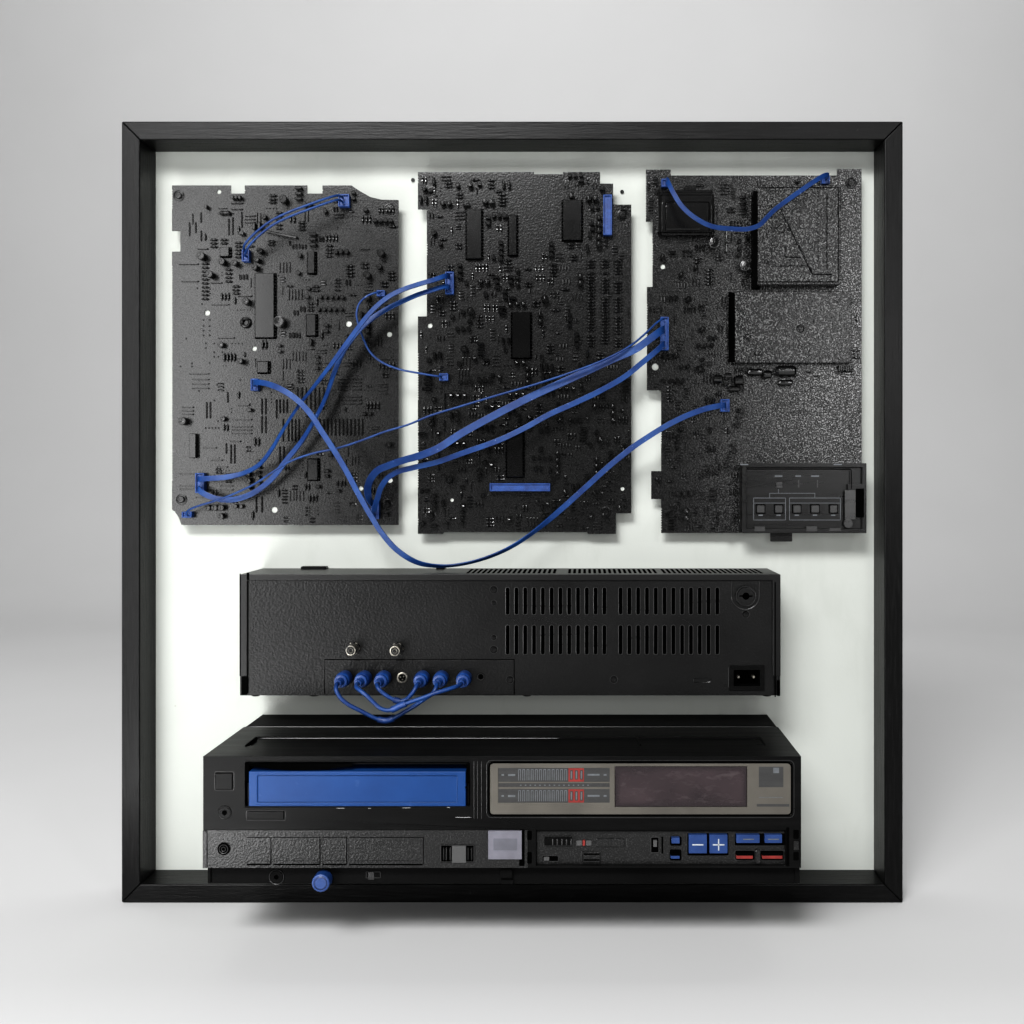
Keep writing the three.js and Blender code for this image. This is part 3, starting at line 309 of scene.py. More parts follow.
def circuit_black(name, roughness, level, grain_depth):
    recipe = Recipe(name)
    place = recipe.place()
    x, y, z = recipe.axes(place)
    blocks = recipe.random((x / (17.0 * MM)).floor(), (z / (13.0 * MM)).floor(), 4.0)
    etched = x.ramp(-0.19, -0.12) * (
        recipe.random((x / (34.0 * MM)).floor(), (z / (26.0 * MM)).floor(), 1.0) > 0.35
    )
    upright = track_lines(recipe, z, x, 2.0) * (blocks > 0.35) * etched
    level_lines = track_lines(recipe, x, z, 7.0) * (blocks < 0.35) * etched
    grain = recipe.noise(place, 1300.0, 2.0, 0.6)
    peel = recipe.noise(place, 660.0, 2.0, 0.5)
    cloud = recipe.noise(place, 11.0, 3.0)
    shade = cloud.ramp(0.3, 0.7) * 0.6 + grain.ramp(0.4, 0.8) * 0.4
    recipe.relief((upright + level_lines, 0.08 * MM),
                  (peel * (x.ramp(-0.1, 0.14) * 0.7 + 0.3), grain_depth), (grain, 0.025 * MM))
    # The mottled base runs lighter towards the left of the display: a painted sheen for the glare of the
    # left-hand light.
    base = recipe.mix(shade * x.ramp(0.16, -0.22), grey(level), grey(level + 18))
    # Light specks, painted glints, grow towards the right, where the right-hand light shines; there the
    # paint is also partly metallic.
    fleck = recipe.noise(place, 900.0, 1.0).ramp(0.54, 0.64) * (x.ramp(0.14, 0.26) * 0.5 + 0.02)
    color = recipe.mix(fleck, base, grey(150))
    return recipe.finish(color, roughness + (grain - 0.5) * 0.16, Specular_IOR_Level=black_gloss,
                         Metallic=fleck)


board_paint = circuit_black("circuit_black_paint", 0.27, 3, 0.3 * MM)
part_paint = sprayed_black("component_black_paint", 0.25, 900.0, 0.05 * MM, level=2)
wet_part_paint = sprayed_black("component_wet_black_paint", 0.16, 900.0, 0.08 * MM, level=2, gloss=0.8)
can_paint = sprayed_black("can_black_paint", 0.24, 660.0, 0.3 * MM, gloss=0.3, painted_glints=0.27)
case_paint = sprayed_black("case_black_paint", 0.40, 700.0, 0.05 * MM, level=3, gloss=0.3)
cover_paint = sprayed_black("cover_black_paint", 0.6, 700.0, 0.05 * MM, level=10, gloss=0.04)
# A flat near-black without gloss, for painted shade: the insides of holes, slots and gaps, and shadows
# beside parts.
shade_black = sprayed_black("shadow_black", 0.9, 200.0, 0.02 * MM, level=1, gloss=0.0)
print("black paints:", board_paint.name, part_paint.name, can_paint.name, case_paint.name)

# %% [markdown]
# The front of the recorder is moulded plastic, darker and smoother than the sprayed metal, with
# a fine even grain. The panel under the cassette has a hammered finish: small shallow dimples,
# for which Voronoi cells are a close match.

# %% Moulded and hammered black plastic
def moulded_black(name, roughness, level, grain_depth=0.035 * MM, gloss=0.1):
    recipe = Recipe(name)
    place = recipe.place()
    grain = recipe.noise(place, 1700.0, 2.0, 0.6)
    rub = recipe.noise(recipe.place((2.0, 30.0, 30.0)), 6.0, 4.0, 0.6)
    dust = recipe.noise(place, 260.0, 3.0, 0.65)
    recipe.relief((grain, grain_depth))
    color = recipe.mix(rub.ramp(0.45, 0.8) * 0.6 + dust.ramp(0.55, 0.8) * 0.4, grey(level), grey(level + 11))
    shine = roughness + (rub - 0.5) * 0.25 + (grain - 0.5) * 0.08
    return recipe.finish(color, shine, Specular_IOR_Level=gloss)


def hammered_black(name, roughness, level, dimple_scale, depth, painted_glints, gloss):
    recipe = Recipe(name)
    place = recipe.place()
    warp = recipe.noise(place, 300.0, 2.0)
    dimple = recipe.cells(place, dimple_scale, "SMOOTH_F1")
    rub = recipe.noise(place, 14.0, 4.0, 0.6)
    recipe.relief((dimple + warp * 0.1, depth))
    base = recipe.mix(rub.ramp(0.35, 0.75), grey(level), grey(level + 11))
    # Light specks mixed into the colour are painted glints.
    color = recipe.mix(recipe.noise(place, 950.0, 2.0).ramp(0.52, 0.72) * painted_glints, base, grey(130))
    return recipe.finish(color, roughness + (rub - 0.5) * 0.15, Specular_IOR_Level=gloss)


bezel_black = moulded_black("bezel_black_plastic", 0.40, 9)
key_black = moulded_black("key_black_plastic", 0.36, 5)
knob_grey = moulded_black("slide_grey_plastic", 0.4, 76)
meter_grey = moulded_black("meter_grey_film", 0.3, 60, 0.01 * MM)
preset_black = moulded_black("preset_black_plastic", 0.3, 14, 0.06 * MM, 0.28)
# A lighter grey for painted highlights on edges, rims, ribs and frames; the preset panel's small keys are
# also in it.
highlight_grey = moulded_black("painted_highlight_plastic", 0.3, 38, 0.02 * MM, 0.5)
panel_black = hammered_black("hammered_black_panel", 0.36, 16, 820.0, 0.24 * MM, 0.12, 0.36)
rear_black = hammered_black("hammered_black_steel", 0.34, 4, 640.0, 0.18 * MM, 0.02, 0.25)
print("plastics:", bezel_black.name, panel_black.name)

# %% [markdown]
# The frame is wood brushed with black paint. Brush strokes run along each rail, so the same
# recipe is made twice, once with its noise stretched along X and once along Z. The backboard
# is rolled with matt white paint, which leaves a faint stipple and a little grime.

# %% Painted wood and white board
def brushed_black(name, stretch, salt):
    recipe = Recipe(name)
    place = recipe.place(stretch)
    stroke = recipe.noise(place, 26.0, 6.0, 0.62)
    fine = recipe.noise(place, 90.0, 4.0, 0.6)
    bare = recipe.place()
    chip = recipe.noise(bare, 70.0 + salt, 5.0, 0.7, 0.6)
    cloud = recipe.noise(bare, 6.0 + salt, 3.0)
    streak = stroke.ramp(0.5, 0.75) * 0.55 + fine.ramp(0.55, 0.8) * 0.45
    scuffed = recipe.mix(chip.ramp(0.70, 0.74) * 0.5, recipe.mix(streak, grey(6), grey(27)), grey(70))
    recipe.relief((stroke, 0.25 * MM), (fine, 0.07 * MM))
    shine = 0.44 + (streak - 0.5) * 0.2 + (cloud - 0.5) * 0.16
    return recipe.finish(scuffed, shine, Specular_IOR_Level=0.16)


def rolled_white(name):
    recipe = Recipe(name)
    place = recipe.place()
    stipple = recipe.noise(place, 520.0, 3.0, 0.6)
    cloud = recipe.noise(place, 5.0, 4.0, 0.55)
    smear = recipe.noise(recipe.place((1.0, 1.0, 0.35)), 22.0, 5.0, 0.65, 0.4)
    speck = recipe.noise(place, 130.0, 2.0, 0.5)
    stain = cloud.ramp(0.42, 0.75) * 0.45 + smear.ramp(0.55, 0.8) * 0.45
    clean = recipe.mix(stain, rgb(186, 189, 184), rgb(168, 171, 165))
    color = recipe.mix(speck.ramp(0.79, 0.82) * 0.6, clean, rgb(150, 146, 134))
    recipe.relief((stipple, 0.05 * MM))
    return recipe.finish(color, 0.7 + (cloud - 0.5) * 0.1, Specular_IOR_Level=0.06)


rail_level_paint = brushed_black("brushed_black_level", (1.6, 22.0, 22.0), 0.0)
rail_upright_paint = brushed_black("brushed_black_upright", (22.0, 22.0, 1.6), 3.0)
white_paint = rolled_white("rolled_white_board")
print("frame:", rail_level_paint.name, white_paint.name)

# %% [markdown]
# Blue is the display's accent colour: leads, plugs, cassette and small buttons were brushed with
# the same blue. It is thick in some places and thin in others, so the colour and the shine both
# drift. On ribbons the paint is a little worn, with pale flecks.

# %% Blue, red and grey paints
def brushed_paint(name, thin, thick, roughness, fleck=0.0, scale=60.0, depth=0.06, gloss=0.4):
    recipe = Recipe(name)
    place = recipe.place()
    drift = recipe.noise(place, scale, 4.0, 0.55)
    fine = recipe.noise(place, scale * 9.0, 3.0, 0.6)
    spots = recipe.noise(place, scale * 5.0, 2.0, 0.5)
    base = recipe.mix(drift.ramp(0.35, 0.68), thick, thin)
    color = recipe.mix(spots.ramp(0.70, 0.76) * fleck, base, rgb(150, 170, 215))
    recipe.relief((drift * 0.6 + fine * 0.4, depth * MM))
    return recipe.finish(color, roughness + (fine - 0.5) * 0.2, Specular_IOR_Level=gloss)


ribbon_blue = brushed_paint("ribbon_blue_paint", rgb(24, 62, 117), rgb(13, 42, 92), 0.42, 0.3, gloss=0.3)
plug_blue = brushed_paint("plug_blue_paint", rgb(28, 66, 126), rgb(16, 45, 98), 0.36, 0.1, 140.0)
socket_blue = brushed_paint("socket_blue_paint", rgb(32, 68, 130), rgb(19, 47, 100), 0.45, 0.2, 160.0)
shell_blue = brushed_paint("shell_blue_paint", rgb(21, 59, 111), rgb(17, 52, 101), 0.44, 0.04, 26.0, 0.12,
                           0.2)
cap_blue = brushed_paint("cap_blue_paint", rgb(40, 64, 112), rgb(31, 54, 99), 0.42, 0.08, 90.0, 0.06, 0.25)
lead_blue_dark = brushed_paint("sleeve_blue_paint", rgb(24, 60, 118), rgb(14, 40, 88), 0.45, 0.05, 120.0)
warning_red = brushed_paint("small_red_paint", rgb(128, 41, 36), rgb(108, 31, 27), 0.42, 0.0, 200.0)
cap_grey = brushed_paint("cap_grey_paint", rgb(108, 107, 116), rgb(96, 95, 103), 0.5, 0.0, 90.0)
pad_grey = brushed_paint("pad_grey_paint", rgb(92, 92, 100), rgb(84, 84, 91), 0.5, 0.0, 90.0)
surround_grey = brushed_paint("surround_grey_plastic", rgb(90, 87, 81), rgb(78, 75, 70), 0.5, 0.0, 24.0,
                              0.06, 0.2)
mark_white = brushed_paint("printed_white", rgb(176, 180, 184), rgb(150, 154, 158), 0.6, 0.0, 300.0, 0.0)
mark_dim = brushed_paint("printed_dim", rgb(94, 97, 101), rgb(78, 81, 84), 0.6, 0.0, 300.0, 0.0)
print("paints:", ribbon_blue.name, plug_blue.name, shell_blue.name, warning_red.name)


# %% Bare metal and the smoked window
def bare_metal(name, level, roughness):
    recipe = Recipe(name)
    place = recipe.place()
    wear = recipe.noise(place, 240.0, 4.0, 0.6)
    recipe.relief((recipe.noise(place, 900.0, 2.0), 0.03 * MM))
    color = recipe.mix(wear.ramp(0.4, 0.7), rgb(level, level - 4, level - 14), grey(level - 80))
    return recipe.finish(color, roughness + (wear - 0.5) * 0.3, Metallic=0.9)


def smoked_window(name):
    recipe = Recipe(name)
    place = recipe.place()
    scuff = recipe.noise(recipe.place((3.0, 1.0, 9.0)), 30.0, 6.0, 0.7, 0.5)
    haze = recipe.noise(place, 24.0, 3.0)
    dust = recipe.noise(place, 700.0, 3.0, 0.7)
    x, _, z = recipe.axes(place)
    across = x.ramp(0.0825, 0.086) * x.ramp(0.175, 0.1715)
    inside = across * z.ramp(-0.208, -0.2045) * z.ramp(-0.1808, -0.184)
    tint = recipe.mix(haze.ramp(0.35, 0.7) * inside, rgb(30, 20, 24), rgb(56, 44, 47))
    color = recipe.mix((scuff.ramp(0.56, 0.74) * 0.2 + dust.ramp(0.6, 0.8) * 0.15) * inside, tint,
                       rgb(118, 108, 108))
    return recipe.finish(color, 0.22 + scuff.ramp(0.5, 0.8) * 0.35)


def ringed_blue(name, middle_x, middle_z):
    """The dial's paint: a darker ring, painted shade in the groove between its cap and its flange, and a
    soft rim.
    """
    recipe = Recipe(name)
    x, _, z = recipe.axes(recipe.place())
    across, up = x - middle_x, z - middle_z
    reach = (across * across + up * up).math("POWER", 0.5)
    # The darker ring is painted shade for the groove.
    groove = (reach - 4.4 * MM).math("ABSOLUTE").ramp(0.7 * MM, 0.3 * MM)
    drift = recipe.noise(recipe.place(), 140.0, 3.0)
    recipe.relief((reach.ramp(5.0 * MM, 4.2 * MM) + drift * 0.1, 0.6 * MM))
    paint = recipe.mix(drift, rgb(20, 48, 98), rgb(33, 67, 124))
    return recipe.finish(recipe.mix(groove * 0.75, paint, rgb(12, 28, 66)), 0.4)


dial_blue = ringed_blue("dial_blue_paint", -129.86 * MM, -262.71 * MM)
steel = bare_metal("plated_steel", 150, 0.42)
window_tint = smoked_window("smoked_display_window")
print("last finishes:", steel.name, window_tint.name)
# %% [markdown]
# The leads are what the eye follows first. Each one leaves a socket straight out, bends over and
# runs in free air to the next socket, so its route is a list of given points and a
# smooth curve through them. The curve is a centripetal Catmull-Rom spline, which passes through
# every point and never loops between two of them, the same one that the imported model uses.

# %% Routes of the leads, in millimetres
lead_routes = {
    "ribbon_left_jumper": [
        (-222, -24, 214), (-222, -28, 214), (-219, -35, 218), (-210, -39, 226), (-196, -41, 236),
        (-181, -42, 243), (-166, -41, 249), (-152, -38, 255), (-144, -34, 258.5),
        (-142, -28, 259), (-142, -24, 259),
    ],
    "wire_left_to_middle": [
        (-111, -24, 182), (-111, -27, 182), (-114, -29.5, 181), (-121, -30, 178),
        (-127, -30, 172), (-129, -31, 163), (-127, -31, 153), (-123, -31, 142), (-118, -31, 132),
        (-109, -31, 124), (-95, -31, 118), (-78, -31, 114.5), (-66, -30.5, 112.5),
        (-61.5, -29.5, 112), (-60, -27, 112), (-60, -24, 112),
    ],
    "ribbon_upper_middle": [
        (-53, -24, 195), (-53, -28, 195), (-56, -35, 193.5), (-64, -39, 190), (-76, -41, 186),
        (-88, -43, 181.5), (-99, -44, 176), (-109, -45, 168), (-118, -46, 158), (-132, -45, 140),
        (-148, -43, 119), (-162, -41, 102), (-172, -40, 90), (-181, -40, 77), (-189, -40, 64),
        (-197, -39, 51), (-207, -38, 39), (-220, -37, 32), (-235, -37, 28.5), (-249, -36, 27.5),
        (-258, -33, 27), (-261, -28, 27), (-261, -24, 27),
    ],
    "ribbon_lower_middle": [
        (-53, -24, 186), (-53, -28, 186), (-57, -32, 185.5), (-66, -34, 182.5), (-77, -34, 179),
        (-89, -34, 174), (-100, -35, 168.5), (-110, -36, 162.5), (-119, -37, 155.5),
        (-128, -37, 146.5), (-138, -37, 132.5), (-146, -36, 115), (-154, -35, 93),
        (-164, -34, 74), (-174, -33, 58), (-186, -33, 43), (-199, -32, 27), (-215, -32, 15),
        (-231, -32, 10), (-245, -32, 11), (-256, -31, 15.5), (-261, -28, 19), (-261, -24, 19),
    ],
    "ribbon_left_to_right": [
        (-215, -24, 106), (-215, -28, 106), (-211, -35, 106.5), (-201, -42, 105),
        (-188, -48, 100.5), (-174, -51, 92), (-162, -52, 80), (-152, -53, 65), (-142, -54, 50),
        (-132, -54, 33), (-123, -54, 16), (-113, -53, -2), (-104, -51, -17), (-92, -48, -31),
        (-76, -45, -41), (-58, -42, -44), (-38, -40, -42), (-17, -38, -36), (2, -37, -27),
        (22, -37, -13), (41, -37, 3), (61, -37, 21), (81, -37, 39), (100, -37, 54),
        (112, -38, 62), (125, -38, 70), (143, -37, 79), (158, -37, 84.5), (169, -36, 87),
        (175, -33, 88), (176, -28, 88), (176, -24, 88),
    ],
    "ribbon_upper_right": [
        (-117, -24, 7), (-117, -28, 7), (-118, -35, 11), (-118, -40, 19), (-115, -43, 27),
        (-109, -44, 34), (-100, -44, 38), (-89, -44, 42), (-75, -44, 46), (-60, -44, 52),
        (-41, -44, 64), (-10, -44, 81), (20, -44, 96), (51, -44, 110), (81, -43, 124),
        (101, -42, 133), (112, -40, 141), (121, -36, 148), (125, -29, 151), (125, -24, 151),
    ],
    "ribbon_lower_right": [
        (-115, -24, -2), (-115, -28, -2), (-114, -32, 3), (-111, -35, 11), (-108, -36, 20),
        (-102, -37, 28), (-94, -37, 33), (-83, -36, 36), (-62, -35, 41), (-42, -35, 48),
        (-11, -35, 59), (10, -35, 69), (30, -35, 80), (50, -35, 89), (71, -35, 99),
        (92, -35, 111), (107, -35, 123), (119, -34, 133), (125, -29, 139), (125, -24, 139),
    ],
    "wire_left_to_right": [
        (-271, -24, -3), (-271, -27, -3), (-268, -31, 1), (-258, -34, 5), (-244, -36, 9),
        (-230, -38, 14), (-210, -41, 23), (-194, -44, 33), (-178, -46, 42), (-160, -47, 48),
        (-141, -47, 52), (-122, -48, 58), (-103, -49, 65), (-83, -50, 71), (-66, -50, 78),
        (-40, -50, 86), (-10, -50, 95), (21, -50, 104), (51, -50, 114), (76, -48, 124),
        (96, -45, 135), (110, -38, 147), (119, -33, 156), (124, -30, 159.5), (125, -27, 160),
        (125, -24, 160),
    ],
    "ribbon_tuner": [
        (127, -24, 274), (127, -28, 274), (127, -35, 273), (128, -41, 268), (132, -46, 258),
        (138, -48, 248), (148, -48, 239), (162, -47, 232), (179, -46, 230), (192, -46, 230),
        (201, -46, 233), (207, -46, 239), (213, -46, 245), (222, -46, 252), (236, -45, 262),
        (248, -43, 270.5), (256, -39, 275.5), (260, -34, 277), (260, -28, 277), (260, -24, 277),
    ],
    "patch_lead_1": [
        (-131, -88.5, -130.8), (-131, -92, -130.8), (-130.5, -96, -134), (-127, -97, -140),
        (-121, -97, -145), (-112, -96, -150), (-105, -95, -154), (-99, -94, -157),
        (-93, -94, -158), (-87, -95, -156), (-78, -95, -151), (-70, -96, -146), (-63, -97, -141),
        (-57, -97, -137), (-54.4, -95.5, -133), (-54.2, -92, -130.8), (-54.2, -88.5, -130.8),
    ],
    "patch_lead_2": [
        (-115.5, -88.5, -130.8), (-115.5, -92, -130.8), (-114.5, -98, -131.8), (-110, -102, -134),
        (-104.5, -103.5, -138), (-99.5, -103.5, -143), (-95, -104, -146.5), (-90, -104, -148),
        (-85, -104, -147), (-80, -104, -144.5), (-71, -105, -141), (-62, -105, -138),
        (-54, -104, -135), (-46, -102, -133), (-38.5, -97, -131.3), (-36, -92, -130.8),
        (-36, -88.5, -130.8),
    ],
    "patch_lead_3": [
        (-100, -88.5, -130.8), (-100, -92, -130.8), (-98.5, -95.5, -133), (-94, -96, -137),
        (-88, -95.5, -141), (-82, -95, -143), (-77, -95, -141.5), (-72.5, -96, -137),
        (-70, -95, -133), (-69.2, -92, -130.8), (-69.2, -88.5, -130.8),
    ],
}


def smooth_route(points, step):
    """Points about one step apart on the centripetal spline through the given ones."""
    given = [Vector(p) * MM for p in points]
    padded = [given[0] * 2 - given[1], *given, given[-1] * 2 - given[-2]]
    route = []
    for before, start, end, after in zip(padded, padded[1:], padded[2:], padded[3:]):
        first, middle, last = (
            max(math.sqrt((b - a).length), 1e-6) for a, b in ((before, start), (start, end), (end, after))
        )
        leave = (start - before) / first - (end - before) / (first + middle) + (end - start) / middle
        reach = (end - start) / middle - (after - start) / (middle + last) + (after - end) / last
        leave, reach = leave * middle, reach * middle
        pieces = max(2, round((end - start).length / step))
        for i in range(pieces):
            t = i / pieces
            route.append(
                start * (2 * t**3 - 3 * t**2 + 1)
                + leave * (t**3 - 2 * t**2 + t)
                + end * (3 * t**2 - 2 * t**3)
                + reach * (t**3 - t**2)
            )
    route.append(given[-1])
    return route


route_step = 1.6 * MM
routes = {name: smooth_route(points, route_step) for name, points in lead_routes.items()}
route_lengths = {
    name: sum((b - a).length for a, b in zip(route, route[1:])) for name, route in routes.items()
}
for name, length in route_lengths.items():
    print(f"{name} is {length:.3f} m long")

# %% [markdown]
# A flat ribbon is several thin conductors side by side, so its section is a row of half rounds,
# five or so bumps above and five below. The section is swept along the route. What makes it look
# like a ribbon is how it turns: at each end its width lies along its socket, and between them it
# rolls over, so that some stretches are seen flat and others almost edge-on.

# %% Sweep a section along a route
ribbon_thickness = 1.1 * MM
wire_width = 1.7 * MM
patch_width = 3.2 * MM
strand_gap = 3.7 * MM


def ribbon_section(width, thickness, conductors, arc_steps=4):
    """Outline of a flat ribbon as (across, up) points."""
    pitch = width / conductors
    half = []
    for i in range(conductors):
        middle = -width / 2 + (i + 0.5) * pitch
        for k in range(arc_steps):
            angle = math.pi * (1 - (k + 0.5) / arc_steps)
            swell = 0.72 + 0.28 * math.sin(angle)
            half.append((middle + math.cos(angle) * pitch / 2, thickness / 2 * swell))
    return half + [(x, -z) for x, z in reversed(half)]


def round_section(width, sides=12):
    turns = (2 * math.pi * i / sides for i in range(sides))
    return [(math.cos(a) * width / 2, math.sin(a) * width / 2) for a in turns]


def eased_share(t):
    t = min(max(t, 0.0), 1.0)
    return t * t * (3 - 2 * t)


def width_directions(route, rolls):
    """The direction of the ribbon's width at each point.

    In its sockets the width is upright. In free air it faces the viewer, turned by the rolls,
    which are (share of length, degrees).
    """
    tangents = [(b - a).normalized() for a, b in zip(route, route[1:])]
    tangents = [tangents[0], *[((a + b) / 2).normalized() for a, b in zip(tangents, tangents[1:])],
                tangents[-1]]
    found = []
    count = len(route) - 1
    for i, tangent in enumerate(tangents):
        share = i / count
        for (s0, a0), (s1, a1) in zip(rolls, rolls[1:]):
            if s0 <= share <= s1:
                angle = a0 + (a1 - a0) * eased_share((share - s0) / max(s1 - s0, 1e-6))
        upright = Vector((0, 0, 1))
        upright = upright - tangent * upright.dot(tangent)
        facing = Vector((tangent.z, 0, -tangent.x))
        free = eased_share((facing.length - 0.25) / 0.6)
        if facing.length > 1e-4:
            facing = Matrix.Rotation(math.radians(angle), 3, tangent) @ facing.normalized()
        previous = found[-1] if found else Vector((0, 0, 1))
        facing = facing if facing.dot(previous) >= 0 else -facing
        upright = upright if upright.dot(previous) >= 0 else -upright
        blended = upright * (1 - free) + facing * free + previous * 0.35
        blended = blended - tangent * blended.dot(tangent)
        found.append(blended.normalized())
    return tangents, found


def mended(mesh, merge=False):
    """Merges a mesh's doubled points, or else turns its faces outwards."""
    shaped = bmesh.new()
    shaped.from_mesh(mesh)
    if merge:
        bmesh.ops.remove_doubles(shaped, verts=shaped.verts, dist=1e-6)
    else:
        bmesh.ops.recalc_face_normals(shaped, faces=shaped.faces)
    shaped.to_mesh(mesh)
    shaped.free()


def swept(name, route, sections, rolls, material):
    """Closed tubes with these sections along the route."""
    tangents, widths = width_directions(route, rolls)
    points, faces = [], []
    for section in sections:
        start, size = len(points), len(section)
        for centre, tangent, width in zip(route, tangents, widths):
            up = width.cross(tangent)
            points += [centre + width * x + up * z for x, z in section]
        for ring in range(len(route) - 1):
            for k in range(size):
                a, b = start + ring * size + k, start + ring * size + (k + 1) % size
                faces.append((a, b, b + size, a + size))
        faces.append(tuple(start + k for k in reversed(range(size))))
        faces.append(tuple(start + (len(route) - 1) * size + k for k in range(size)))
    mesh = bpy.data.meshes.new(name)
    mesh.from_pydata(points, [], faces)
    mended(mesh)
    mesh.shade_smooth()
    mesh.set_sharp_from_angle(angle=math.radians(50))
    made = bpy.data.objects.new(name, mesh)
    scene.collection.objects.link(made)
    made.data.materials.append(material)
    return made


# %% [markdown]
# Each lead is a free cord of its real length, which the photograph shows from end to end. It
# leaves one socket and goes back into another, so its far end is the object itself. The short
# patch leads have a moulded sleeve at the bend.

# %% Make the leads
ribbon_widths = {
    "ribbon_left_jumper": 5.6 * MM,
    "ribbon_upper_middle": 4.4 * MM,
    "ribbon_lower_middle": 4.6 * MM,
    "ribbon_left_to_right": 4.6 * MM,
    "ribbon_upper_right": 6.0 * MM,
    "ribbon_lower_right": 4.5 * MM,
    "ribbon_tuner": 3.8 * MM,
}
ribbon_rolls = {
    "ribbon_left_jumper": [(0, 0), (1, 0)],
    "ribbon_upper_middle": [(0, 25), (0.35, 25), (0.6, 55), (0.82, 35), (0.92, 0), (1, 0)],
    "ribbon_lower_middle": [(0, 35), (0.3, 20), (0.55, 45), (0.75, 10), (1, 0)],
    "ribbon_left_to_right": [(0, 0), (0.38, 15), (0.48, 62), (0.6, 55), (0.7, 5), (0.85, 0), (1, 20)],
    "ribbon_upper_right": [(0, 40), (0.2, 30), (0.32, 0), (0.85, 0), (1, 20)],
    "ribbon_lower_right": [(0, 40), (0.25, 15), (0.5, 0), (0.85, 10), (1, 30)],
    "ribbon_tuner": [(0, 20), (0.4, 35), (0.6, 30), (1, 10)],
}
lead_pieces = {}
still = [(0, 0), (1, 0)]
for name, route in routes.items():
    width = ribbon_widths.get(name, patch_width if name.startswith("patch") else wire_width)
    sections = [round_section(width)]
    if name == "ribbon_left_jumper":
        strand = round_section(width - strand_gap)
        sections = [[(x + side * strand_gap / 2, z) for x, z in strand] for side in (-1, 1)]
    elif name in ribbon_widths:
        sections = [ribbon_section(width, ribbon_thickness, round(width / (0.9 * MM)))]
    piece = swept(name + "_cord", route, sections, ribbon_rolls.get(name, still), ribbon_blue)
    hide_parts(name)
    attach(piece, "display")
    lead_pieces[name] = (piece, width)
print("leads made:", len(lead_pieces))
# %% [markdown]
# Most small parts here are a flat outline with some height: a chip, a button, a screw head. On a
# real part no edge is perfectly sharp, and the thin bright line that an eased edge catches is
# what makes it look made. So the helpers below build every such shape with its front edge
# rounded off, and gather many of them into one mesh, because they share one finish.

# %% Outlines, as (x, z) points that turn anticlockwise seen from the front
def rounded(x0, x1, z0, z1, radius, steps=2):
    """A rectangle with rounded corners."""
    radius = min(radius, (x1 - x0) * 0.49, (z1 - z0) * 0.49)
    centres = [(x1 - radius, z0 + radius), (x1 - radius, z1 - radius)]
    centres += [(x0 + radius, z1 - radius), (x0 + radius, z0 + radius)]
    outline = []
    for quarter, (x, z) in enumerate(centres):
        for i in range(steps + 1):
            angle = math.radians(90 * (quarter - 1 + i / steps))
            outline.append((x + radius * math.cos(angle), z + radius * math.sin(angle)))
    return outline


def circle(x, z, radius, sides=16):
    turns = (2 * math.pi * i / sides for i in range(sides))
    return [(x + radius * math.cos(a), z + radius * math.sin(a)) for a in turns]


def shrunk(outline, amount):
    """The outline moved inwards by this amount."""
    result = []
    for before, here, after in zip([outline[-1], *outline], outline, [*outline[1:], outline[0]]):
        arrive = Vector((here[0] - before[0], here[1] - before[1])).normalized()
        leave = Vector((after[0] - here[0], after[1] - here[1])).normalized()
        inward = Vector((-arrive.y - leave.y, arrive.x + leave.x))
        reach = amount / max(1 + arrive.dot(leave), 0.3)
        result.append((here[0] + inward.x * reach, here[1] + inward.y * reach))
    return result


def tapered(thin, thick, share):
    """The profile of a bar, in mm, whose ends grow thin over this share of its length."""
    return [(0, thin * MM), (share, thick * MM), (1 - share, thick * MM), (1, thin * MM)]


